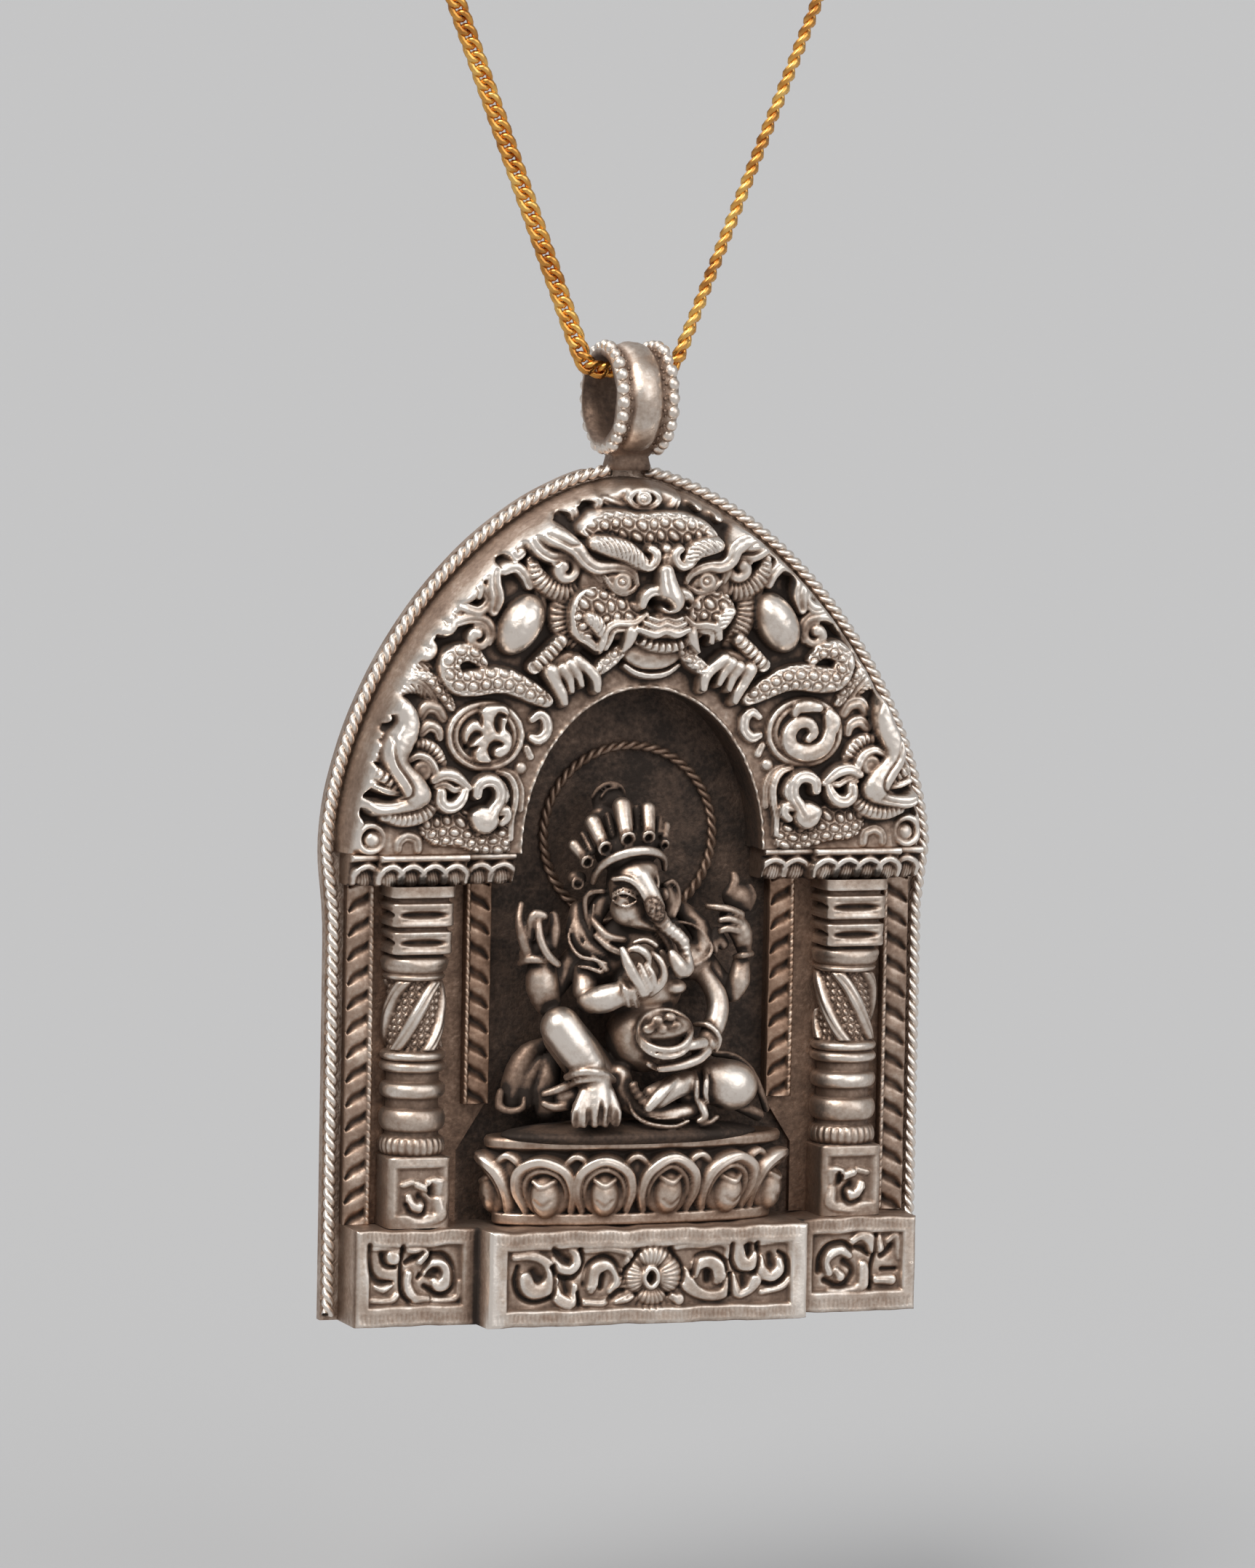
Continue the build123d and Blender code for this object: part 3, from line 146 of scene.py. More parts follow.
class Heap:
    """Several small meshes gathered into one."""

    def __init__(self):
        self.points, self.faces, self.hollows = [], [], []
        self.count = 0

    def add(self, points, faces, hollow=0.0):
        points = np.asarray(points, float)
        self.points.append(points)
        self.faces.append(np.asarray(faces, int) + self.count)
        self.hollows.append(np.broadcast_to(np.asarray(hollow, float), (len(points),)))
        self.count += len(points)

    def make(self, name):
        return make_mesh(name, *(np.concatenate(rows) for rows in (self.points, self.faces, self.hollows)))


def grid_faces(rows, columns, wrap_rows=False, wrap_columns=False):
    """Four-sided faces of a grid of points, closed on itself either way if asked."""
    last_row = rows if wrap_rows else rows - 1
    last_column = columns if wrap_columns else columns - 1
    i, j = np.meshgrid(np.arange(last_row), np.arange(last_column), indexing="ij")
    k, m = (i + 1) % rows, (j + 1) % columns
    return np.stack((i * columns + j, i * columns + m, k * columns + m, k * columns + j), -1).reshape(-1, 4)


def smooth_row(row, step=0.2):
    """A row of points with any number of values each, run through by a smooth line."""
    row = np.asarray(row, float)
    if len(row) < 3:
        return row
    padded = np.vstack((2 * row[0] - row[1], row, 2 * row[-1] - row[-2]))
    found = []
    for a, b, c, d in zip(padded, padded[1:], padded[2:], padded[3:]):
        count = max(2, int(np.linalg.norm((c - b)[:2]) / step))
        t = np.arange(count)[:, None] / count
        found.append(b + 0.5 * t * (c - a + t * (2 * a - 5 * b + 4 * c - d + t * (3 * b - a - 3 * c + d))))
    return np.vstack(found + [row[-1:]])


def frames_along(line, closed=False):
    """Two crosswise directions at each point of a line in space."""
    ahead = np.roll(line, -1, 0) - np.roll(line, 1, 0) if closed else np.gradient(line, axis=0)
    ahead /= np.linalg.norm(ahead, axis=1)[:, None]
    side = np.cross(ahead, (0.0, -1.0, 0.0))
    side /= np.linalg.norm(side, axis=1)[:, None]
    return side, np.cross(side, ahead)


def tube(heap, line, radius, sides, hollow=0.0, closed=False):
    """A round wire along a line of points in space."""
    side, up = frames_along(line, closed)
    angle = 2 * pi * np.arange(sides) / sides
    radius = np.broadcast_to(np.asarray(radius, float), (len(line),))[:, None, None]
    ring = side[:, None] * np.cos(angle)[:, None] + up[:, None] * np.sin(angle)[:, None]
    points = line[:, None] + ring * radius
    heap.add(points.reshape(-1, 3), grid_faces(len(line), sides, closed, True), hollow)


def even_places(line, lengths_along):
    """Places on a line of points, at given lengths along it."""
    run = run_along(line)
    return np.stack([np.interp(lengths_along, run, line[:, k]) for k in range(3)], 1)


def run_along(line):
    """How far along a line each of its points is."""
    return np.concatenate(((0,), np.cumsum(np.linalg.norm(np.diff(line, axis=0), axis=1))))


# The length of one full twist, and as shares of a strand's radius, how far it
# lies from the middle and how thick it is
TWIST_PITCH = 1.7
STRAND_OFFSET, STRAND_THICKNESS = 0.98, 1.04


def twisted_pair(heap, line, radius, per_turn, closed=False):
    """Two wires laid round each other along a line of points."""
    length = run_along(line)[-1]
    turns = round(length / TWIST_PITCH)
    even = np.linspace(0, length, turns * per_turn + 1)
    even_line = even_places(line, even)
    side, up = frames_along(even_line)
    angle = 2 * pi * turns * even / length
    for start in (0, pi):
        turn = (angle + start)[:, None]
        wire = even_line + (side * np.cos(turn) + up * np.sin(turn)) * radius * STRAND_OFFSET
        if closed:
            wire = wire[:-1]
        tube(heap, wire, radius * STRAND_THICKNESS, 7, closed=closed)


# Carving: a field of heights over a panel

def hollowness(out, step):
    """From 0 on the highest places of a field of heights to 1 in the deepest."""
    near = blurred(out, 0.3 / step) - out
    far = blurred(out, 1.1 / step) - out
    return np.clip(0.42 + 1.3 * near + 0.42 * far, 0, 1)


def blurred(field, size):
    """The field averaged over a round patch, in cells."""
    size = max(1, int(round(size)))
    for _ in range(2):
        for axis in (0, 1):
            pad = [(0, 0), (0, 0)]
            pad[axis] = (size + 1, size)
            total = np.cumsum(np.pad(field, pad, mode="edge"), axis=axis)
            width = 2 * size + 1
            high = np.take(total, np.arange(width, total.shape[axis]), axis=axis)
            low = np.take(total, np.arange(0, total.shape[axis] - width), axis=axis)
            field = (high - low) / width
    return field


def ribs(pitch, depth, slant=0.0):
    """Cross ridges along a bar."""
    def pattern(along, side, radius):
        phase = along / pitch + slant * side * radius / pitch
        return -depth * (1 - np.abs(np.sin(pi * phase))) ** 2
    return pattern


def channel(depth, width, at=0.0):
    """A line chased along a bar."""
    def pattern(along, side, radius):
        return -depth * np.exp(-((side - at) / width) ** 2)
    return pattern


def bordered(depth):
    """A sunken middle between two raised edges."""
    def pattern(along, side, radius):
        return -depth * np.clip(1.5 * (0.62 - np.abs(side)), 0, 1)
    return pattern


def ring_marks(across, up, pitch, depth):
    """Punched rings in staggered rows, with a small dome in each."""
    lift = sqrt(3.0)
    nearest = np.full(across.shape, 9.0)
    for shift in (0.0, 0.5):
        a = across / pitch + shift
        b = up / pitch / lift + shift
        near = np.hypot(a - np.round(a), (b - np.round(b)) * lift)
        nearest = np.minimum(nearest, near)
    groove = np.exp(-((nearest - 0.39) / 0.08) ** 2)
    between = np.clip((nearest - 0.42) / 0.08, 0, 1)
    dome = np.clip(1 - nearest / 0.3, 0, 1)
    return -depth * groove - 0.2 * depth * between + 0.3 * depth * dome


def scaly(pitch, depth):
    """Rings all over a bar, as on a snake."""
    def pattern(along, side, radius):
        return ring_marks(along, side * radius + pitch * 0.25, pitch, depth)
    return pattern


def rounded(corners):
    """A closed smooth line through corners."""
    steps = 5
    here = np.asarray(corners, float)
    before, after, beyond = np.roll(here, 1, 0), np.roll(here, -1, 0), np.roll(here, -2, 0)
    t = (np.arange(steps) / steps)[:, None, None]
    line = 0.5 * (2 * here + (after - before) * t + (2 * before - 5 * here + 4 * after - beyond) * t ** 2
                  + (3 * here - before - 3 * after + beyond) * t ** 3)
    line = line.transpose(1, 0, 2).reshape(-1, 2)
    return np.vstack((line, line[:1]))


def within(ring, x, z):
    """Which places lie inside a closed line."""
    inside = np.zeros(x.shape, bool)
    for (x0, z0), (x1, z1) in zip(ring, ring[1:]):
        if z0 != z1:
            crossing = (z0 > z) != (z1 > z)
            inside ^= crossing & (x < (x1 - x0) * (z - z0) / (z1 - z0) + x0)
    return inside


# The fillet where two forms meet, and how steeply a form falls away outside its edge
WELD, WALL, STEEP_WALL = 0.06, 4.0, 5.0


class Carving:
    """Heights over a panel. Work is laid on it, and the higher of old and new stays."""

    def __init__(self, across, up, step, ground=0.0):
        self.step = step
        self.across = np.arange(across[0], across[1] + step / 2, step)
        self.up = np.arange(up[0], up[1] + step / 2, step)
        self.x, self.z = np.meshgrid(self.across, self.up)
        self.out = np.full(self.x.shape, float(ground))

    def spot(self, points, reach):
        """The part of the panel that lies round some points."""
        low, high = points.min(0) - reach, points.max(0) + reach
        rows = np.searchsorted(self.up, (low[1], high[1]))
        columns = np.searchsorted(self.across, (low[0], high[0]))
        return np.s_[rows[0]:rows[1], columns[0]:columns[1]]

    def lay(self, spot, height, weld=WELD):
        """Keep the higher of old and new, with a small fillet where they meet."""
        old = self.out[spot]
        gap = np.abs(old - height)
        blend = np.where(gap < weld, (weld - gap) ** 2 / (4 * weld), 0)
        self.out[spot] = np.maximum(old, height) + blend

    def follow(self, row, reach):
        """For each cell near a row of x, z, out and radius: how far off it is as a share of the radius,
        then how far along the row, that share with its side as a sign, and the row's radius and out."""
        spot = self.spot(row[:, :2], reach)
        x, z = self.x[spot], self.z[spot]
        share = np.full(x.shape, 99.0)
        found = np.zeros((4,) + x.shape)
        run = 0.0
        for a, b in zip(row, row[1:]):
            dx, dz = b[0] - a[0], b[1] - a[1]
            length = hypot(dx, dz)
            if length < 1e-6:
                continue
            t = np.clip(((x - a[0]) * dx + (z - a[1]) * dz) / length ** 2, 0, 1)
            off_x, off_z = x - a[0] - t * dx, z - a[1] - t * dz
            distance = np.hypot(off_x, off_z)
            radius = a[3] + t * (b[3] - a[3])
            new = distance / radius
            closer = new < share
            share = np.where(closer, new, share)
            hand = np.sign(dx * off_z - dz * off_x)
            values = (run + t * length, hand * new, radius, a[2] + t * (b[2] - a[2]))
            for store, value in zip(found, values):
                store[closer] = value[closer]
            run += length
        return spot, share, found

    def stroke(self, row, pattern=None, crest=1.0, weld=WELD, wall=WALL):
        """A rounded bar through points of x, z, out and radius."""
        row = smooth_row(row)
        spot, share, (along, side, radius, out) = self.follow(row, row[:, 3].max() + 0.8)
        inside = np.minimum(share, 1)
        height = out + crest * radius * np.sqrt(1 - inside ** 2)
        height -= wall * radius * np.maximum(share - 1, 0)
        if pattern:
            edge = np.clip((1 - share) * 4, 0, 1)
            height += pattern(along, np.clip(side, -1, 1), radius) * edge
        self.lay(spot, height, weld)

    def groove(self, row, depth):
        """A chased line through points of x, z and width."""
        row = np.asarray(row, float)
        row = smooth_row(np.column_stack((row[:, :2], np.zeros(len(row)), row[:, 2])))
        spot, share, _ = self.follow(row, row[:, 3].max() * 3)
        self.out[spot] -= depth * np.exp(-share ** 2)

    def dome(self, x, z, out, half_x, half_z, turn=0.0, crest=1.0):
        """A rounded oval boss; out is at its foot."""
        reach = max(half_x, half_z) + 0.8
        spot = self.spot(np.array(((x, z),)), reach)
        dx, dz = self.x[spot] - x, self.z[spot] - z
        c, s = cos(radians(turn)), sin(radians(turn))
        share = np.hypot((c * dx + s * dz) / half_x, (c * dz - s * dx) / half_z)
        small = min(half_x, half_z)
        height = out + crest * small * np.sqrt(1 - np.minimum(share, 1) ** 2)
        self.lay(spot, height - WALL * small * np.maximum(share - 1, 0))

    def ring(self, x, z, out, radius, wire):
        """A round wire laid as a ring."""
        angle = np.linspace(0, 2 * pi, max(12, int(radius * 30)))
        self.stroke([(x + radius * cos(a), z + radius * sin(a), out, wire) for a in angle])

    def pit(self, x, z, radius, depth):
        """A punched round hollow."""
        spot = self.spot(np.array(((x, z),)), radius * 2.2)
        distance = np.hypot(self.x[spot] - x, self.z[spot] - z) / radius
        self.out[spot] -= depth * np.clip(1.25 - distance, 0, 1) ** 0.5 * (distance < 1.25)

    def plate(self, corners, out, edge=0.3, crown=0.25):
        """A filled shape with a rounded edge and a slightly domed top."""
        ring = rounded(corners)
        spot = self.spot(ring, 0.6)
        x, z = self.x[spot], self.z[spot]
        distance, _, _ = nearest_on(ring, x, z)
        inset = np.where(within(ring, x, z), distance, -distance)
        share = np.clip(inset / edge, 0, 1)
        rise = crown * (1 - np.exp(-np.maximum(inset, 0)))
        height = out - edge * (1 - np.sqrt(1 - (1 - share) ** 2)) + rise
        self.lay(spot, height - STEEP_WALL * np.maximum(-inset, 0), WELD / 2)

    def scales(self, corners, pitch, depth):
        """Punched rings inside a shape given by its corners."""
        ring = rounded(corners)
        spot = self.spot(ring, 0.2)
        x, z = self.x[spot], self.z[spot]
        wave = 0.12 * np.sin(x * 1.9) + 0.1 * np.sin(z * 2.3)
        marks = ring_marks(x + wave, z - wave, pitch, depth)
        self.out[spot] += marks * within(ring, x, z)

    def hollows(self):
        """How hollow each cell lies, from 0 to 1."""
        return hollowness(self.out, self.step)


# How thick a curl's outer end is, as a share of its eye
THIN_END = 0.45


def spiral(x, z, out, radius, wire, turn, turns, handed):
    """A comma-like curl: from its thin outer end in to its thick eye; turn is the outer end's angle."""
    count = max(8, int(14 * turns))
    row = []
    for k in range(count + 1):
        t = k / count
        angle = radians(turn) + handed * 2 * pi * turns * t
        size = radius * (1 - 0.62 * t)
        thick = wire * (THIN_END + (1 - THIN_END) * t)
        row.append((x + size * cos(angle), z + size * sin(angle), out + 0.25 * t * wire, thick))
    return row


# The arch

ARCH_STEP = 0.1
RIM_INSET = 1.1
WALL_TOP = 3.2
GROUND = 5.0
OPENING_HALF_WIDTH = 9.6
OPENING_RISE = 12.4
# How far out the planes lie at which the arch's and the figure's forms are read
RELIEF_PLANE, FIGURE_PLANE = 6.0, 3.0


def true_place(x, z, out, plane):
    """The true x and z of a place that stands out so far and is read at a plane.

    What stands further out than the plane shows further to the right and a little lower."""
    return x + (plane - out) * SIDEWAYS, z - (plane - out) * DOWNWARD


def on_relief(row):
    """A row of x, z, out and radius read at the relief's plane, put in its true place."""
    return [(*true_place(x, z, out, RELIEF_PLANE), out, radius) for x, z, out, radius in row]


def arch_outline(set_in, steps=240, sides=False):
    """Points up the right side of the arch's edge, over the top and down the left."""
    angle = np.linspace(0, pi, steps)
    half, rise = SHOULDER_HALF_WIDTH - set_in, ARCH_RISE - set_in
    x = np.sign(np.cos(angle)) * half * np.abs(np.cos(angle)) ** (2 / ARCH_FULLNESS)
    z = rise * np.sin(angle) ** (2 / ARCH_FULLNESS)
    line = np.column_stack((x - ARCH_LEAN * z / ARCH_RISE, SPRING + z))
    if sides:
        foot = PLATE_HALF_WIDTH - set_in
        low = CAPITAL_FOOT - 2.4
        right = [(foot, z) for z in np.linspace(set_in, low, 60)]
        line = np.vstack((right, line, [(-x, z) for x, z in reversed(right)]))
    return line


def nearest_on(line, x, z):
    """How far each place is from a line of points, and the nearest place on it."""
    best = np.full(x.shape, 1e9)
    spot_x, spot_z = np.zeros(x.shape), np.zeros(x.shape)
    for (x0, z0), (x1, z1) in zip(line, line[1:]):
        dx, dz = x1 - x0, z1 - z0
        length = dx * dx + dz * dz
        if length < 1e-12:
            continue
        t = np.clip(((x - x0) * dx + (z - z0) * dz) / length, 0, 1)
        px, pz = x0 + t * dx, z0 + t * dz
        distance = (x - px) ** 2 + (z - pz) ** 2
        closer = distance < best
        best[closer] = distance[closer]
        spot_x[closer], spot_z[closer] = px[closer], pz[closer]
    return np.sqrt(best), spot_x, spot_z


# Forms of the arch's left half, read at the relief's plane. Each has a finish, how far out it stands, and
# its points: x, z and radius, or x and z round the edge of a plate. For rings the second value is their
# pitch, and for a cut its depth.
LEAVES = [
    # ear or horn leaf and its curl
    ("line", 5.6, [(-9.3, 60.8, 0.36), (-9.7, 59.8, 0.46), (-9.2, 58.9, 0.5), (-8.2, 58.3, 0.5),
                   (-7.2, 58.3, 0.42)]),
    ("ribs", 5.0, [(-9.7, 57.9, 0.4), (-9.3, 56.8, 0.7), (-8.3, 55.9, 0.8), (-7.1, 55.6, 0.8),
                   (-6.1, 56.0, 0.6), (-5.6, 56.6, 0.35)]),
    # flame leaves along the rim
    ("bordered", 4.6, [(-14.2, 57.6, 0.45), (-13.3, 58.7, 0.75), (-12.0, 59.5, 0.8), (-10.9, 59.5, 0.6),
                       (-10.2, 59.2, 0.35)]),
    ("plain", 4.3, [(-12.8, 59.8, 0.35), (-11.6, 60.3, 0.42), (-10.4, 60.1, 0.3)]),
    ("plain", 4.9, [(-11.4, 59.0, 0.34), (-11.0, 58.3, 0.38), (-10.5, 58.6, 0.3)]),
    ("plain", 4.8, [(-14.4, 57.0, 0.36), (-13.5, 56.9, 0.4), (-12.8, 57.3, 0.32)]),
    ("plain", 4.9, [(-15.8, 55.4, 0.42), (-15.9, 56.2, 0.6), (-15.0, 56.7, 0.6), (-14.0, 56.4, 0.45)]),
    ("plain", 4.8, [(-13.6, 56.0, 0.34), (-13.1, 55.0, 0.38), (-13.9, 54.2, 0.42), (-15.2, 54.6, 0.36)]),
    ("bordered", 4.0, [(-15.4, 57.0, 0.35), (-16.6, 55.8, 0.5), (-17.2, 54.6, 0.42)]),
    ("plain", 4.5, [(-17.6, 52.4, 0.35), (-17.5, 53.6, 0.48), (-16.6, 54.3, 0.5), (-15.6, 54.2, 0.4)]),
    ("plain", 4.7, [(-15.6, 53.4, 0.38), (-14.6, 53.7, 0.44), (-13.4, 53.5, 0.44), (-12.8, 52.6, 0.42),
                    (-13.1, 51.9, 0.36)]),
    ("bordered", 4.0, [(-19.4, 51.2, 0.3), (-18.7, 52.3, 0.45), (-17.9, 52.9, 0.36)]),
    ("bordered", 4.9, [(-12.6, 57.3, 0.4), (-12.7, 56.3, 0.55), (-12.5, 55.2, 0.6), (-12.7, 54.2, 0.4)]),
    ("plain", 5.0, [(-11.9, 57.2, 0.32), (-11.0, 57.5, 0.42), (-10.3, 56.9, 0.42), (-9.9, 56.1, 0.36)]),
    ("plain", 4.9, [(-9.6, 56.6, 0.3), (-9.0, 55.2, 0.36), (-8.9, 54.0, 0.34), (-9.1, 52.9, 0.28)]),
    ("plain", 4.2, [(-8.4, 61.4, 0.36), (-8.2, 62.0, 0.42), (-7.4, 62.3, 0.42), (-6.6, 61.8, 0.42),
                    (-6.4, 61.2, 0.36)]),
    ("plain", 4.5, [(-6.2, 62.4, 0.3), (-5.9, 62.9, 0.36), (-5.1, 62.9, 0.36), (-4.5, 62.5, 0.34),
                    (-4.6, 62.0, 0.28)]),
    # fan of hatched leaves over the trunk, with a scaled band
    ("plain", 4.0, [(-21.0, 48.7, 0.16), (-20.2, 49.8, 0.26), (-19.0, 50.4, 0.32), (-17.6, 50.5, 0.26)]),
    ("hatched", 3.9, [(-20.4, 49.0, 0.5), (-19.2, 49.7, 0.62), (-18.0, 49.8, 0.62), (-17.1, 49.6, 0.4)]),
    ("hatched", 4.2, [(-20.5, 47.9, 0.3), (-19.6, 48.5, 0.5), (-18.6, 48.5, 0.5), (-17.9, 47.9, 0.35)]),
    ("plain", 4.5, [(-20.8, 48.3, 0.14), (-19.8, 49.0, 0.24), (-18.5, 48.9, 0.26), (-17.6, 48.1, 0.24),
                    (-17.0, 47.2, 0.18)]),
    ("scaly", 4.7, [(-18.9, 49.25, 0.2), (-18.0, 49.35, 0.34), (-17.2, 48.8, 0.46), (-16.5, 47.9, 0.46),
                    (-15.9, 47.0, 0.34)]),
    # petals behind the trunk
    ("plain", 4.4, [(-18.4, 46.3, 0.4), (-17.9, 47.0, 0.5), (-17.1, 46.9, 0.5), (-16.6, 46.2, 0.4)]),
    ("plain", 4.7, [(-18.3, 45.1, 0.4), (-17.7, 45.6, 0.45), (-17.0, 45.3, 0.4), (-16.8, 44.7, 0.3)]),
    ("plain", 4.0, [(-21.9, 46.4, 0.3), (-22.1, 45.6, 0.35), (-21.6, 45.0, 0.3), (-21.2, 45.0, 0.22)]),
    ("plain", 4.3, [(-22.3, 44.6, 0.25), (-21.8, 44.1, 0.42), (-21.3, 43.9, 0.35)]),
    ("plain", 4.3, [(-22.4, 43.3, 0.25), (-21.8, 43.3, 0.36), (-21.3, 43.0, 0.3)]),
    # beside the opening
    ("plain", 4.8, [(-9.5, 46.0, 0.26), (-8.9, 46.4, 0.36), (-8.35, 45.9, 0.4), (-8.35, 45.0, 0.4),
                    (-8.9, 44.45, 0.42), (-9.5, 44.6, 0.3)]),
    ("plain", 4.6, [(-9.9, 43.8, 0.3), (-9.6, 43.2, 0.3)]),
    ("boss", 4.5, [(-10.4, 42.35, 0.52)]),
    ("plain", 4.9, [(-12.2, 42.05, 0.16), (-11.3, 41.75, 0.24), (-10.75, 40.8, 0.26), (-10.75, 39.6, 0.26),
                    (-11.0, 38.4, 0.24), (-11.0, 37.0, 0.2)]),
    ("plain", 4.6, [(-12.6, 42.3, 0.2), (-11.0, 41.9, 0.26), (-10.3, 40.7, 0.26), (-10.3, 39.2, 0.24)]),
    # snake
    ("snake", 5.1, [(-13.5, 50.3, 0.4), (-14.2, 50.9, 0.55), (-15.2, 51.05, 0.68), (-16.0, 50.5, 0.74),
                    (-16.0, 49.6, 0.8), (-15.4, 48.85, 0.88), (-14.2, 48.8, 0.98), (-12.8, 49.0, 1.0),
                    (-11.5, 48.9, 0.92), (-10.3, 48.4, 0.8), (-9.2, 47.85, 0.7), (-8.4, 47.4, 0.5)]),
    # neck, throat and horn of the sea beast
    ("plate", 5.0, [(-18.2, 37.9), (-17.3, 39.0), (-15.9, 39.3), (-14.4, 39.1), (-13.4, 38.0),
                    (-12.3, 37.7), (-11.3, 38.1), (-11.1, 37.0), (-11.1, 36.0), (-13.2, 35.9),
                    (-15.3, 36.4), (-17.2, 36.6)]),
    ("rings", 0.92, [(-18.2, 37.9), (-17.3, 39.0), (-15.9, 39.3), (-14.4, 39.1), (-13.4, 38.0),
                     (-12.3, 37.7), (-11.3, 38.1), (-11.1, 37.0), (-11.1, 35.9), (-13.2, 35.9),
                     (-15.3, 36.4), (-17.2, 36.6)]),
    ("ribs", 5.1, [(-20.9, 38.8, 0.35), (-19.7, 38.55, 0.52), (-18.4, 38.75, 0.58), (-17.5, 39.3, 0.52),
                   (-17.15, 40.1, 0.35)]),
    ("plain", 4.6, [(-20.9, 41.2, 0.3), (-21.6, 41.5, 0.44), (-22.5, 41.35, 0.5), (-23.15, 40.7, 0.5),
                    (-23.45, 39.8, 0.5), (-23.4, 38.8, 0.46), (-23.0, 38.3, 0.34)]),
    # jaws, teeth, trunk
    ("teeth", 5.2, [(-22.1, 42.4, 0.34), (-21.1, 41.75, 0.42), (-20.3, 41.2, 0.4), (-19.7, 40.75, 0.34)]),
    ("plain", 5.3, [(-21.6, 41.0, 0.16), (-20.8, 40.7, 0.24), (-19.9, 40.5, 0.2)]),
    ("plain", 5.5, [(-18.5, 40.4, 1.05), (-19.1, 39.85, 0.68), (-20.3, 39.45, 0.46), (-21.4, 39.4, 0.46),
                    (-22.0, 39.65, 0.26)]),
    ("trunk", 5.6, [(-20.7, 46.15, 0.26), (-21.15, 46.4, 0.34), (-20.95, 46.95, 0.42),
                    (-20.2, 47.15, 0.5), (-19.5, 46.8, 0.62), (-19.15, 46.0, 0.7), (-19.3, 45.1, 0.8),
                    (-19.7, 44.3, 0.84), (-20.05, 43.5, 0.82), (-20.0, 42.7, 0.78), (-19.5, 41.9, 0.82),
                    (-18.9, 41.2, 0.95), (-18.5, 40.5, 1.0)]),
    ("cut", 0.34, [(-20.5, 44.9, 0.06), (-20.45, 43.7, 0.1), (-20.15, 42.7, 0.11), (-19.5, 41.8, 0.1),
                   (-19.05, 41.0, 0.1), (-19.2, 40.3, 0.1), (-20.2, 39.95, 0.1), (-21.9, 39.95, 0.08)]),
    # eye, brow and ear leaves
    ("plain", 5.6, [(-19.1, 43.05, 0.22), (-18.4, 43.35, 0.28), (-17.6, 43.05, 0.3), (-17.1, 42.3, 0.3),
                    (-17.0, 41.5, 0.26)]),
    ("ribs", 5.0, [(-18.8, 44.2, 0.3), (-17.9, 44.15, 0.46), (-17.1, 43.6, 0.5), (-16.6, 42.8, 0.4)]),
    ("boss", 5.3, [(-18.15, 42.2, 0.55)]),
    ("hoop", 5.5, [(-18.15, 42.2, 0.52)]),
    ("plain", 5.6, [(-17.2, 41.5, 0.3), (-16.4, 41.9, 0.42), (-15.5, 41.75, 0.42), (-14.8, 41.25, 0.32),
                    (-14.35, 40.85, 0.2)]),
    ("plain", 5.5, [(-17.0, 41.0, 0.2), (-16.3, 41.15, 0.25), (-15.5, 40.75, 0.24), (-14.8, 40.95, 0.18)]),
    ("plain", 5.6, [(-16.6, 40.5, 0.42), (-16.6, 39.9, 0.44), (-16.1, 39.45, 0.46), (-15.4, 39.55, 0.44),
                    (-14.9, 40.1, 0.38), (-14.7, 40.6, 0.28)]),
    ("plain", 5.5, [(-13.75, 40.35, 0.36), (-13.65, 41.0, 0.42), (-13.0, 41.4, 0.46),
                    (-12.3, 41.25, 0.46), (-11.9, 40.6, 0.42), (-12.0, 39.8, 0.42), (-12.4, 39.2, 0.48),
                    (-12.8, 38.5, 0.6)]),
    ("plate", 5.8, [(-14.1, 38.9), (-13.1, 39.4), (-12.3, 39.1), (-11.9, 38.5), (-12.1, 37.8),
                    (-12.8, 37.35), (-13.6, 37.6), (-14.0, 38.2)]),
    ("plain", 5.4, [(-11.75, 41.0, 0.26), (-11.5, 40.2, 0.3), (-11.8, 39.6, 0.26)]),
    ("plain", 5.4, [(-11.9, 39.0, 0.28), (-11.4, 39.1, 0.34), (-11.3, 38.6, 0.32), (-11.7, 38.2, 0.26)]),
    # curled discs over the capital
    ("hoop", 4.2, [(-22.1, 37.15, 1.0)]),
    ("boss", 4.0, [(-22.0, 37.05, 0.68)]),
    ("plain", 4.4, [(-20.0, 36.3, 0.3), (-19.9, 36.9, 0.36), (-19.3, 37.3, 0.4), (-18.5, 37.0, 0.4),
                    (-18.4, 36.3, 0.36)]),
]
# Curls of the left half: x, z, out, radius, wire, angle of the outer end, turns and hand
CURLS = [
    (-7.0, 57.25, 5.7, 1.05, 0.5, 150, 1.05, -1),
    (-13.4, 58.0, 4.8, 0.8, 0.42, 200, 0.9, -1),
    (-14.8, 55.9, 5.0, 1.1, 0.6, 330, 0.95, 1),
    (-16.5, 53.2, 4.7, 1.0, 0.48, 215, 0.9, -1),
    (-13.9, 52.2, 4.8, 0.95, 0.46, 100, 1.0, -1),
    (-18.0, 51.3, 4.4, 0.95, 0.46, 230, 0.95, -1),
    (-19.5, 36.9, 4.2, 0.6, 0.3, 200, 0.9, 1),
]
# The arm's smooth oval: its middle as x, z and out, then its half width, half height and turn
ARM = (-10.45, 53.15, 5.4)
ARM_HALF_WIDTH, ARM_HALF_HEIGHT, ARM_TURN = 1.62, 2.5, 30
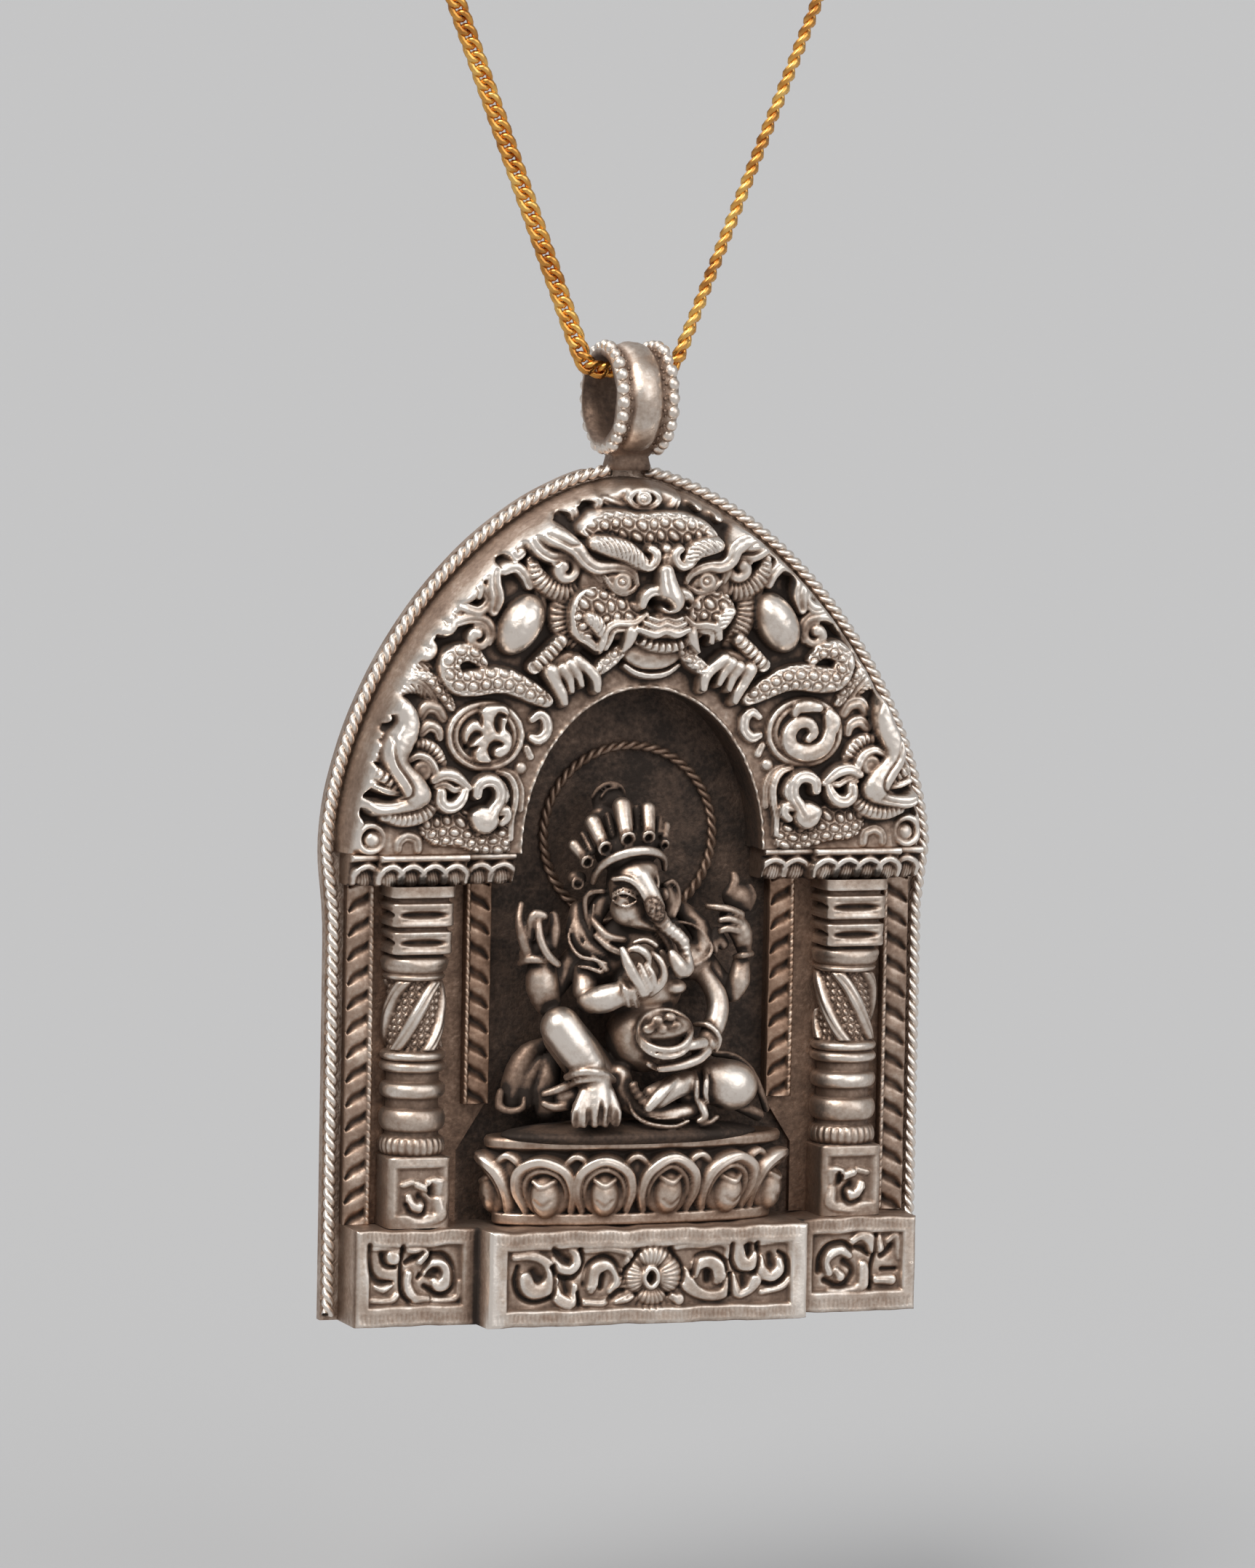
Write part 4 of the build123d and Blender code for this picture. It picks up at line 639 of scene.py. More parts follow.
# The disc beside the niche, and what lies on it, with x and z from its middle and half widths
ROUNDEL = (-13.05, 44.75)
ROUNDEL_FACE = 5.2
LEAF_EDGE = [(0.0, -2.0), (-0.8, -1.85), (-0.95, -1.2), (-0.7, -0.7), (-1.35, -0.75), (-1.8, -0.15),
             (-1.75, 0.5), (-1.3, 1.05), (-0.8, 1.2), (-0.45, 0.75), (-0.4, 1.4), (-0.55, 1.9),
             (-0.1, 2.3), (0.75, 2.35), (1.45, 2.25), (1.7, 1.7), (1.5, 1.1), (1.4, 0.6), (1.85, 0.1),
             (1.95, -0.6), (1.65, -1.25), (1.05, -1.6), (0.5, -1.5), (0.4, -1.85)]
LEAF_CUTS = [
    [(-1.5, -0.85, 0.12), (-1.25, -0.25, 0.28), (-0.9, 0.15, 0.3), (-0.6, 0.15, 0.14)],
    [(1.5, 1.5, 0.12), (0.95, 1.55, 0.26), (0.8, 1.0, 0.32), (0.85, 0.5, 0.2)],
    [(0.4, -1.6, 0.14), (0.3, -1.0, 0.28), (0.6, -0.6, 0.3), (1.1, -0.6, 0.14)],
]
CURLED_LEAF = [
    [(1.85, 1.3, 0.34), (2.0, 0.2, 0.46), (1.5, -1.1, 0.6), (0.2, -1.6, 0.66), (-1.1, -1.15, 0.62),
     (-1.35, -0.1, 0.56), (-0.7, 0.7, 0.48), (0.3, 0.7, 0.42), (0.65, 0.0, 0.38), (0.25, -0.5, 0.3)],
    [(1.0, 1.9, 0.36), (0.2, 2.0, 0.46), (-0.6, 1.9, 0.42), (-0.9, 1.4, 0.24)],
    [(1.9, 1.5, 0.3), (2.45, 0.9, 0.36), (2.4, 0.2, 0.26)],
]
# The hand that hangs from the arm, written as the forms above
HAND = [
    ("plate", 5.5, [(-8.7, 49.6), (-7.8, 50.6), (-6.6, 51.1), (-5.5, 50.7), (-4.8, 49.9), (-5.2, 49.4),
                    (-6.2, 49.1), (-7.4, 48.9), (-8.2, 49.0)]),
    ("finger", 5.7, [(-8.0, 49.6, 0.6), (-7.6, 48.7, 0.46), (-7.15, 47.9, 0.4), (-6.9, 47.2, 0.26)]),
    ("finger", 5.8, [(-7.1, 49.8, 0.5), (-6.6, 49.0, 0.36), (-6.35, 48.1, 0.2)]),
    ("finger", 5.8, [(-6.5, 50.1, 0.5), (-5.9, 49.3, 0.34), (-5.55, 48.5, 0.18)]),
    ("finger", 5.7, [(-6.0, 50.4, 0.5), (-5.0, 49.7, 0.42), (-4.45, 49.0, 0.4), (-4.35, 48.2, 0.3)]),
    ("teeth", 5.5, [(-9.3, 49.95, 0.5), (-8.3, 50.9, 0.56), (-7.3, 51.9, 0.5)]),
]
PATTERNS = {
    "plain": channel(0.13, 0.2, -0.3), "finger": None, "ribs": ribs(0.4, 0.3),
    "hatched": ribs(0.42, 0.34, 0.9), "scaly": scaly(0.8, 0.3),
    "snake": scaly(0.98, 0.34), "teeth": ribs(0.52, 0.5), "bordered": bordered(0.24),
    "line": channel(0.2, 0.22, -0.35),
    "trunk": None,
}
# Finishes whose bars are lower than the others
FLATTENED = ("plain", "line", "bordered", "trunk", "scaly", "snake")
# How far out rings and cuts are taken to lie when they are put in their true place, and two wires
RINGS_AT, CUTS_AT = 5.2, 5.4
HOOP_WIRE, PUPIL_WIRE = 0.26, 0.09


def carve(work, finish, out, row, side=1):
    """Lay one read form on the arch; side -1 turns it over to the other half."""
    if finish in ("plate", "rings"):
        height = out if finish == "plate" else RINGS_AT
        corners = [(side * x, z) for x, z, _, _ in on_relief([(x, z, height, 0) for x, z in row])]
        if finish == "plate":
            work.plate(corners, out)
        else:
            work.scales(corners, out, 0.34)
        return
    height = CUTS_AT if finish == "cut" else out
    true_row = on_relief([(x, z, height, radius) for x, z, radius in row])
    read_row = [(side * x, z, place, radius) for x, z, place, radius in true_row]
    if finish == "cut":
        work.groove([(x, z, radius) for x, z, _, radius in read_row], out)
    elif finish == "boss":
        for x, z, place, radius in read_row:
            work.dome(x, z, place, radius, radius, crest=0.8)
    elif finish == "hoop":
        for x, z, place, radius in read_row:
            work.ring(x, z, place, radius, HOOP_WIRE)
    elif finish == "pupil":
        around = np.linspace(0, 2 * pi, 20)
        for x, z, _, radius in read_row:
            work.groove([(x + radius * cos(a), z + radius * sin(a), PUPIL_WIRE) for a in around], 0.25)
    else:
        flat = 0.62 if finish in FLATTENED else 0.8
        raised = [(x, z, place + (1 - flat) * radius * 0.6, radius) for x, z, place, radius in read_row]
        weld = 0.02 if finish == "finger" else 0.05
        work.stroke(raised, PATTERNS[finish], crest=flat, weld=weld, wall=STEEP_WALL)


def carve_arch():
    """The arch's relief as a field of heights, and how far each place lies inside the arch's edge."""
    work = Carving((-25, 25), (SPRING, SPRING + ARCH_RISE), ARCH_STEP)
    edge_distance, _, _ = nearest_on(arch_outline(0), work.x, work.z)
    lean = ARCH_LEAN * (work.z - SPRING) / ARCH_RISE
    share_x = np.abs(work.x + lean) / SHOULDER_HALF_WIDTH
    share_z = (work.z - SPRING) / ARCH_RISE
    inside = share_x ** ARCH_FULLNESS + share_z ** ARCH_FULLNESS < 1
    depth_in = np.where(inside, edge_distance, -edge_distance)
    rise_from = (RIM_INSET, RIM_INSET + 0.5, RIM_INSET + 3.2)
    work.out[:] = np.interp(depth_in, rise_from, (FACE, WALL_TOP, GROUND - 0.55))
    for side in (1, -1):
        for finish, out, row in LEAVES:
            carve(work, finish, out, row, side)
        for x, z, out, radius, wire, turn, turns, handed in CURLS:
            row = on_relief(spiral(x, z, out, radius, wire, turn, turns, handed))
            work.stroke([(side * px, pz, place, thick) for px, pz, place, thick in row], crest=0.7)
        carve_roundel(work, side)
        x, z = true_place(*ARM, RELIEF_PLANE)
        work.dome(side * x, z, GROUND - 0.2, ARM_HALF_WIDTH, ARM_HALF_HEIGHT, -side * ARM_TURN, crest=1.2)
        for finish, out, row in HAND:
            carve(work, finish, out, row, side)
    for finish, out, row in FACE_FORMS:
        carve(work, finish, out, row)
    work.out += 0.02 * np.sin(work.x * 5.1 + 2 * np.sin(work.z * 3.7)) * np.sin(work.z * 4.3 + work.x)
    # no form stands over the rim; by the eye at the top it may come a little nearer
    by_the_eye = 0.45 * np.exp(-((work.x + 1.0) / 2.6) ** 2) * (work.z > SPRING + 0.9 * ARCH_RISE)
    steps_in = (RIM_INSET, RIM_INSET + 0.25, RIM_INSET + 0.55, RIM_INSET + 0.85)
    limit = np.interp(depth_in + by_the_eye, steps_in, (FACE + 0.4, WALL_TOP - 0.1, WALL_TOP + 0.5, 9.0))
    work.out = np.minimum(work.out, limit)
    near_rim = np.clip((RIM_INSET + 1.0 - depth_in) / 0.4, 0, 1)
    work.out += near_rim * (blurred(work.out, 2) - work.out)
    return work, depth_in


def carve_roundel(work, side):
    """A disc with a leaf on it: lobed at the left, curled at the right."""
    x, z = true_place(*ROUNDEL, ROUNDEL_FACE, RELIEF_PLANE)
    x *= side
    work.dome(x, z, GROUND - 0.45, 3.0, 2.6, crest=0.05)
    angle = np.linspace(0, 2 * pi, 60)
    for half_x, half_z, wire in ((2.85, 2.45, 0.26), (2.3, 2.0, 0.2)):
        work.stroke([(x + half_x * cos(a), z + half_z * sin(a), GROUND - 0.25, wire) for a in angle])
    if side > 0:
        work.plate([(x + dx, z + dz) for dx, dz in LEAF_EDGE], ROUNDEL_FACE + 0.3, 0.2, 0.1)
        for row in LEAF_CUTS:
            work.groove([(x + dx, z + dz, width) for dx, dz, width in row], 0.75)
    else:
        for row in CURLED_LEAF:
            work.stroke([(x + dx, z + dz, ROUNDEL_FACE, radius) for dx, dz, radius in row], crest=0.45,
                        wall=6.0)


# The horned face over the opening, and the eye at the top of the arch, read in the same way
FOREHEAD = [(-5.9, 60.0), (-5.4, 60.9), (-4.2, 61.55), (-2.5, 61.6), (-1.0, 61.4), (0.5, 61.5),
            (2.2, 61.4), (3.8, 60.9), (4.9, 60.2), (5.1, 59.5), (3.6, 59.3), (2.7, 58.9), (1.8, 58.8),
            (1.0, 58.2), (0.2, 58.8), (-0.6, 59.1), (-1.6, 59.3), (-3.0, 59.7), (-4.3, 59.8),
            (-5.1, 59.5)]
LEFT_CHEEK = [(-6.6, 54.0), (-6.0, 55.4), (-4.8, 56.0), (-3.5, 55.6), (-2.4, 55.1), (-0.9, 54.6),
              (-0.7, 53.9), (-1.5, 53.2), (-2.8, 52.7), (-4.0, 52.4), (-5.2, 52.0), (-6.2, 52.4)]
RIGHT_CHEEK = [(2.9, 54.3), (3.2, 55.0), (4.5, 55.5), (5.8, 55.4), (6.5, 54.6), (6.4, 53.6), (5.6, 52.9),
               (4.7, 53.0), (3.6, 53.0), (2.9, 53.5)]
FACE_FORMS = [
    # leaves beside the jaw, the chin, and the ground of the face with its ringed brow and cheeks
    ("ribs", 4.7, [(-7.2, 55.5, 0.8), (-7.6, 54.0, 0.95), (-7.1, 52.5, 0.85), (-6.2, 51.6, 0.6)]),
    ("ribs", 4.7, [(7.2, 55.3, 0.8), (7.3, 53.8, 0.9), (6.7, 52.4, 0.8), (6.1, 51.6, 0.5)]),
    ("plate", 5.5, [(-2.3, 50.7), (-1.3, 49.9), (0.0, 49.65), (1.3, 49.85), (2.3, 50.6), (1.8, 51.5),
                    (0.0, 51.8), (-1.8, 51.5)]),
    ("plain", 5.2, [(-2.2, 50.0, 0.16), (-1.2, 49.4, 0.2), (0.0, 49.2, 0.22), (1.2, 49.4, 0.2),
                    (2.1, 50.0, 0.16)]),
    ("plate", 5.7, [(-5.8, 54.6), (-5.6, 58.2), (-3.5, 60.2), (3.6, 60.2), (5.8, 58.0), (6.0, 54.6),
                    (4.5, 52.6), (2.8, 51.6), (-1.0, 51.6), (-4.2, 52.4)]),
    ("plate", 6.1, FOREHEAD), ("rings", 1.0, FOREHEAD),
    ("plate", 6.3, LEFT_CHEEK), ("rings", 1.0, LEFT_CHEEK),
    ("plate", 6.3, RIGHT_CHEEK), ("rings", 1.0, RIGHT_CHEEK),
    # horns that run down into the upper eyelids
    ("plain", 6.2, [(-9.2, 60.5, 0.4), (-8.2, 59.9, 0.75), (-7.1, 59.4, 0.68), (-6.2, 58.8, 0.6),
                    (-5.4, 57.9, 0.55), (-4.5, 57.4, 0.52), (-3.3, 57.45, 0.42), (-2.3, 57.35, 0.38),
                    (-1.6, 56.9, 0.32), (-1.3, 56.1, 0.18)]),
    ("plain", 6.2, [(8.9, 59.5, 0.4), (8.1, 59.4, 0.75), (7.3, 59.3, 0.7), (6.5, 58.8, 0.6),
                    (6.1, 57.9, 0.55), (5.4, 57.45, 0.5), (4.4, 57.45, 0.42), (3.5, 57.2, 0.38),
                    (2.9, 56.8, 0.3), (2.6, 56.2, 0.16)]),
    ("cut", 0.25, [(-8.8, 60.0, 0.08), (-7.8, 59.6, 0.12), (-7.0, 59.2, 0.12), (-6.3, 59.2, 0.06)]),
    ("cut", 0.25, [(8.6, 59.0, 0.08), (7.8, 59.3, 0.12), (7.3, 59.0, 0.12), (6.9, 58.5, 0.06)]),
    ("plain", 5.9, [(5.9, 57.6, 0.4), (5.8, 56.9, 0.36), (5.6, 56.3, 0.2)]),
    ("plain", 5.9, [(-5.1, 57.4, 0.4), (-4.6, 56.9, 0.3), (-4.2, 56.4, 0.18)]),
    # brows
    ("hatched", 6.6, [(-4.6, 59.2, 0.55), (-3.4, 58.95, 0.75), (-2.1, 58.5, 0.75), (-1.1, 57.8, 0.6),
                      (-0.5, 57.45, 0.36)]),
    ("plain", 6.8, [(-0.9, 57.5, 0.3), (-0.3, 57.4, 0.32), (0.15, 57.9, 0.34), (0.15, 58.5, 0.32),
                    (-0.25, 58.75, 0.28)]),
    ("hatched", 6.6, [(5.1, 59.0, 0.5), (4.2, 58.9, 0.66), (3.3, 58.6, 0.66), (2.8, 57.9, 0.55),
                      (2.4, 57.5, 0.36)]),
    ("plain", 6.8, [(2.9, 57.6, 0.3), (2.3, 57.4, 0.3), (1.8, 57.8, 0.34), (1.7, 58.4, 0.32),
                    (2.1, 58.75, 0.28)]),
    ("boss", 6.4, [(0.98, 58.75, 0.42)]),
    ("plain", 6.5, [(1.0, 57.9, 0.5), (1.05, 57.2, 0.45)]),
    # eyes
    ("plate", 6.2, [(-3.8, 56.75), (-3.0, 57.05), (-2.2, 56.95), (-1.6, 56.3), (-2.1, 55.75), (-2.9, 55.8),
                    (-3.5, 56.3)]),
    ("plate", 6.2, [(3.0, 55.95), (3.4, 56.7), (4.2, 57.0), (5.0, 56.9), (5.3, 56.4), (4.6, 55.85),
                    (3.8, 55.75)]),
    ("boss", 6.25, [(-2.5, 56.3, 0.5), (4.25, 56.3, 0.46)]),
    ("hoop", 6.2, [(-2.5, 56.3, 0.5), (4.25, 56.3, 0.46)]),
    ("pupil", 6.4, [(-2.5, 56.3, 0.27), (4.25, 56.3, 0.25)]),
    ("plain", 6.2, [(-3.9, 56.7, 0.14), (-3.2, 55.8, 0.2), (-2.4, 55.45, 0.22), (-1.6, 55.7, 0.18),
                    (-1.3, 56.2, 0.12)]),
    ("plain", 6.2, [(2.8, 55.9, 0.14), (3.6, 55.5, 0.2), (4.6, 55.6, 0.2), (5.4, 56.3, 0.14)]),
    # nose
    ("plain", 7.2, [(1.0, 57.0, 0.55), (1.15, 56.1, 0.7), (1.4, 55.2, 0.85)]),
    ("boss", 7.2, [(1.5, 54.85, 0.95)]),
    ("plain", 6.9, [(-0.85, 54.5, 0.26), (-0.6, 55.2, 0.34), (0.0, 55.6, 0.38), (0.7, 55.5, 0.4)]),
    ("plain", 6.9, [(2.1, 55.45, 0.38), (2.75, 55.2, 0.36), (3.0, 54.5, 0.28)]),
    ("cut", 1.5, [(-0.2, 54.85, 0.3), (0.35, 54.8, 0.36), (0.7, 54.55, 0.26)]),
    ("cut", 1.3, [(2.25, 54.75, 0.24), (2.55, 54.6, 0.24)]),
    # moustache, mouth and fangs, with strands to each side
    ("plate", 6.5, [(-1.1, 52.7), (-0.3, 53.7), (0.9, 54.0), (2.2, 53.7), (2.9, 52.7), (2.2, 52.15),
                    (0.9, 52.0), (-0.4, 52.15)]),
    ("plain", 6.7, [(-0.2, 53.55, 0.16), (0.5, 53.3, 0.22), (1.1, 53.5, 0.18), (1.7, 53.3, 0.22),
                    (2.3, 53.5, 0.16)]),
    ("plain", 6.8, [(-0.5, 53.15, 0.16), (0.4, 52.8, 0.24), (1.1, 53.05, 0.2), (1.8, 52.8, 0.24),
                    (2.6, 53.1, 0.16)]),
    ("plain", 6.8, [(-1.1, 52.7, 0.18), (0.2, 52.3, 0.28), (1.05, 52.55, 0.22), (1.9, 52.3, 0.28),
                    (2.9, 52.65, 0.18)]),
    ("teeth", 6.0, [(-1.0, 51.9, 0.36), (-0.1, 51.5, 0.42), (0.9, 51.35, 0.44), (1.9, 51.45, 0.42),
                    (2.7, 51.8, 0.34)]),
    ("plain", 6.4, [(-0.5, 53.9, 0.16), (-1.5, 53.2, 0.24), (-2.9, 53.2, 0.26), (-3.7, 52.7, 0.28),
                    (-3.9, 51.9, 0.26), (-4.1, 51.2, 0.16)]),
    ("plain", 6.2, [(-0.9, 52.9, 0.16), (-2.2, 52.75, 0.2), (-3.1, 52.6, 0.22), (-3.4, 51.9, 0.2),
                    (-3.7, 51.3, 0.14)]),
    ("plain", 6.4, [(2.6, 53.6, 0.16), (3.3, 53.0, 0.24), (4.4, 53.0, 0.26), (5.2, 52.7, 0.26),
                    (5.4, 52.0, 0.18)]),
    ("plain", 6.2, [(2.9, 52.9, 0.16), (3.9, 52.6, 0.2), (4.7, 52.4, 0.2), (4.8, 51.7, 0.14)]),
    ("hatched", 6.5, [(-5.0, 53.6, 0.5), (-4.4, 53.1, 0.55), (-4.1, 52.4, 0.3)]),
    ("hatched", 6.5, [(6.2, 54.0, 0.4), (5.7, 53.4, 0.5), (5.4, 52.8, 0.3)]),
    ("plain", 5.9, [(-6.5, 53.4, 0.25), (-6.1, 52.5, 0.36), (-5.0, 51.8, 0.34), (-4.2, 51.1, 0.2)]),
    ("finger", 6.3, [(-1.7, 52.5, 0.5), (-1.9, 51.8, 0.38), (-2.3, 51.1, 0.14)]),
    ("finger", 6.3, [(3.1, 52.4, 0.46), (3.3, 51.7, 0.36), (3.7, 51.0, 0.14)]),
    ("scaly", 5.6, [(-2.4, 51.3, 0.42), (-3.1, 50.7, 0.55), (-3.9, 50.0, 0.5), (-4.4, 49.5, 0.3)]),
    ("scaly", 5.6, [(2.4, 51.1, 0.42), (3.1, 50.4, 0.55), (3.9, 49.8, 0.5), (4.4, 49.4, 0.3)]),
    # eye at the top, in its lens of plain metal
    ("plate", 4.2, [(-4.4, 62.85), (-2.8, 63.55), (-1.0, 64.15), (0.6, 63.75), (2.0, 62.75), (1.2, 61.75),
                    (-0.4, 61.35), (-1.8, 61.55), (-3.2, 62.15)]),
    ("line", 4.3, [(-4.4, 62.75, 0.3), (-3.0, 62.15, 0.42), (-1.4, 61.6, 0.45), (0.1, 61.5, 0.45),
                   (1.2, 61.95, 0.45), (1.8, 62.65, 0.3)]),
    ("plain", 4.9, [(-2.1, 62.6, 0.22), (-1.7, 63.2, 0.24), (-0.9, 63.4, 0.24), (-0.1, 63.2, 0.24),
                    (0.3, 62.6, 0.24), (-0.1, 62.1, 0.24), (-0.9, 61.9, 0.24), (-1.7, 62.1, 0.24),
                    (-2.1, 62.6, 0.22)]),
    ("boss", 5.0, [(-0.9, 62.65, 0.6)]),
    ("pupil", 5.2, [(-0.9, 62.65, 0.32)]),
]


def opening_share(x, z):
    """How far from the middle of the niche's opening, with 1 on its edge."""
    return np.hypot(x / OPENING_HALF_WIDTH, (z - SPRING) / OPENING_RISE)


# How dark the plain wall round the arch is
WALL_HOLLOW = 0.46


def make_arch():
    """The carved sheet cut to the arch and the niche, its edges drawn back to the plate."""
    work, depth_in = carve_arch()
    # a worn lip round the opening
    share = opening_share(work.x, work.z)
    lip = np.exp(-((share - 1.012) / 0.012) ** 2)
    work.out += 0.18 * lip * (1 + 0.6 * np.sin(work.x * 6) * np.sin(work.z * 7))
    wall = np.clip((RIM_INSET + 0.85 - depth_in) / 0.4, 0, 1)
    hollow = work.hollows() * (1 - wall) + WALL_HOLLOW * wall
    # the cells that touch the sheet, with their outer corners drawn onto its edges
    keep = (depth_in > RIM_INSET) & (share > 1)
    rows, columns = keep.shape
    cell = keep[:-1, :-1] | keep[1:, :-1] | keep[:-1, 1:] | keep[1:, 1:]
    used = np.zeros(keep.shape, bool)
    for i in (0, 1):
        for j in (0, 1):
            used[i:rows - 1 + i, j:columns - 1 + j] |= cell
    x, z = work.x.copy(), work.z.copy()
    outside = used & (depth_in <= RIM_INSET)
    _, snap_x, snap_z = nearest_on(arch_outline(RIM_INSET), x[outside], z[outside])
    x[outside], z[outside] = snap_x, np.maximum(snap_z, SPRING)
    in_opening = used & (share <= 1)
    x[in_opening] /= share[in_opening]
    z[in_opening] = SPRING + (z[in_opening] - SPRING) / share[in_opening]
    out = work.out.copy()
    out[outside] = FACE
    number = np.full(keep.shape, -1)
    number[used] = np.arange(used.sum())
    i, j = np.nonzero(cell)
    faces = np.stack((number[i, j], number[i, j + 1], number[i + 1, j + 1], number[i + 1, j]), 1)
    points = np.column_stack((x[used], -out[used], z[used]))
    return skirted_mesh("carved_arch", faces, points, hollow[used], FACE, 4, 0.85)


def skirted_mesh(name, faces, points, hollows, back, steps, dark):
    """A carved sheet with walls from its free edges back to a depth, all of one darkness."""
    edges = np.concatenate([faces[:, (k, (k + 1) % 4)] for k in range(4)])
    keys = edges.min(1).astype(np.int64) * len(points) + edges.max(1)
    _, first, times = np.unique(keys, return_index=True, return_counts=True)
    free = edges[first[times == 1]]
    corners = np.unique(free)
    place_of = np.full(len(points), -1)
    place_of[corners] = np.arange(len(corners))
    layers, numbers = [points], [corners]
    for step in range(1, steps + 1):
        layer = points[corners].copy()
        layer[:, 1] = layer[:, 1] + (-back - layer[:, 1]) * step / steps
        layers.append(layer)
        numbers.append(len(points) + (step - 1) * len(corners) + np.arange(len(corners)))
    made = [faces]
    a, b = place_of[free[:, 0]], place_of[free[:, 1]]
    for near, far in zip(numbers, numbers[1:]):
        made.append(np.stack((near[b], near[a], far[a], far[b]), 1))
    shades = np.concatenate((hollows, np.full(steps * len(corners), dark)))
    return make_mesh(name, np.concatenate(layers), np.concatenate(made), shades)


def sheet_mesh(name, work, side, foot, hollows, back, steps, dark):
    """A carved panel as a sheet, turned over for the left side, with walls back to a depth."""
    points = np.column_stack((work.x.ravel() * side, -work.out.ravel(), foot + work.z.ravel()))
    faces = grid_faces(*work.out.shape)
    if side < 0:
        faces = faces[:, ::-1]
    return skirted_mesh(name, faces, points, hollows.ravel(), back, steps, dark)


# Finishes

def node(tree, kind, **values):
    """A shader node. Names that begin with set_ are settings; i0, i1 and so on are sockets by number."""
    made = tree.nodes.new(kind)
    for name, value in values.items():
        if name.startswith("set_"):
            setattr(made, name[4:], value)
            continue
        numbered = name[0] == "i" and name[1:].isdigit()
        socket = made.inputs[int(name[1:]) if numbered else name.replace("_", " ")]
        if isinstance(value, bpy.types.NodeSocket):
            tree.links.new(value, socket)
        else:
            socket.default_value = value
    return made


def maths(tree, kind, a, b=0.5, c=0.0):
    """The outcome of one step of arithmetic."""
    return node(tree, "ShaderNodeMath", set_operation=kind, i0=a, i1=b, i2=c).outputs[0]


def noise(tree, **values):
    """Noise in the piece's own space."""
    where = node(tree, "ShaderNodeTexCoord").outputs["Object"]
    return node(tree, "ShaderNodeTexNoise", Vector=where, **values).outputs["Fac"]


def ramp(tree, value, stops):
    """Colours or greys along a value, each from its place on the scale."""
    made = tree.nodes.new("ShaderNodeValToRGB")
    tree.links.new(value, made.inputs[0])
    elements = made.color_ramp.elements
    while len(elements) < len(stops):
        elements.new(0.5)
    for element, (spot, colour) in zip(elements, stops):
        element.position = spot
        if isinstance(colour, (int, float)):
            colour = (colour, colour, colour)
        element.color = (*colour, 1.0)
    return made.outputs["Color"]


# Silver from polished to black, and gold plate from whole to worn, with each colour's place on its scale
SILVER_COLOURS = [(0.14, (0.88, 0.84, 0.79)), (0.33, (0.60, 0.525, 0.46)), (0.50, (0.375, 0.29, 0.235)),
                  (0.66, (0.225, 0.160, 0.122)), (0.82, (0.115, 0.079, 0.060)),
                  (0.98, (0.040, 0.029, 0.023))]
GOLD_COLOURS = [(0.26, (0.92, 0.57, 0.17)), (0.44, (0.77, 0.37, 0.085)), (0.64, (0.42, 0.165, 0.045)),
                (0.92, (0.11, 0.05, 0.022))]
BROWN_TINT = (0.92, 0.74, 0.62, 1.0)


def make_tarnish_group():
    """Silver polished high, brown to black in the hollows, and darker still where painted shade comes in.
    """
    tree = bpy.data.node_groups.new("tarnish", "ShaderNodeTree")
    for label in ("Hollow", "Darkness", "Brownness", "Grain"):
        tree.interface.new_socket(name=label, in_out="INPUT", socket_type="NodeSocketFloat")
    for label in ("Color", "Roughness", "Metallic", "Height"):
        kind = "NodeSocketColor" if label == "Color" else "NodeSocketFloat"
        tree.interface.new_socket(name=label, in_out="OUTPUT", socket_type=kind)
    given, result = tree.nodes.new("NodeGroupInput"), tree.nodes.new("NodeGroupOutput")
    patches = noise(tree, Scale=420.0, Detail=4.0, Roughness=0.6)
    specks = noise(tree, Scale=2600.0, Detail=3.0, Roughness=0.6)
    broad = noise(tree, Scale=110.0, Detail=2.0)
    wear = given.outputs["Hollow"]
    for field, spread in ((patches, 0.44), (specks, 0.34), (broad, 0.22)):
        wear = maths(tree, "ADD", wear, maths(tree, "MULTIPLY_ADD", field, spread, -spread / 2))
    wear = maths(tree, "ADD", wear, given.outputs["Darkness"])
    colour = ramp(tree, wear, SILVER_COLOURS)
    tinted = node(tree, "ShaderNodeMix", set_data_type="RGBA", set_blend_type="MULTIPLY",
                  i0=given.outputs["Brownness"], i6=colour, i7=BROWN_TINT)
    rough = ramp(tree, wear, [(0.15, 0.33), (0.36, 0.42), (0.55, 0.50), (0.75, 0.60), (0.95, 0.75)])
    rough = maths(tree, "ADD", rough, maths(tree, "MULTIPLY_ADD", specks, 0.16, -0.08))
    metal = ramp(tree, wear, [(0.5, 1.0), (0.95, 0.55)])
    grain = maths(tree, "MULTIPLY_ADD", specks, 0.8, maths(tree, "MULTIPLY", patches, 1.2))
    grain = maths(tree, "MULTIPLY", grain, given.outputs["Grain"])
    for label, value in (("Color", tinted.outputs[2]), ("Roughness", rough), ("Metallic", metal),
                         ("Height", grain)):
        tree.links.new(value, result.inputs[label])
    return tree


TARNISH = make_tarnish_group()


# The niche on the plate, as shares of the plate's width and height: where its painted shade fades out, and
# its top
NICHE_DARK, NICHE_LIGHT, NICHE_TOP = 0.265, 0.29, 0.88


def niche_share(tree):
    """1 on the front of the plate within the niche, where it is painted with shade, 0 elsewhere."""
    spot = node(tree, "ShaderNodeSeparateXYZ", Vector=node(tree, "ShaderNodeTexCoord").outputs["Generated"])
    off = maths(tree, "ABSOLUTE", maths(tree, "SUBTRACT", spot.outputs["X"], 0.5))
    fade = node(tree, "ShaderNodeMapRange", i0=off, i1=NICHE_DARK, i2=NICHE_LIGHT, i3=1.0, i4=0.0)
    front = maths(tree, "LESS_THAN", spot.outputs["Y"], 0.5)
    below = maths(tree, "LESS_THAN", spot.outputs["Z"], NICHE_TOP)
    return maths(tree, "MULTIPLY", maths(tree, "MULTIPLY", fade.outputs[0], front), below)


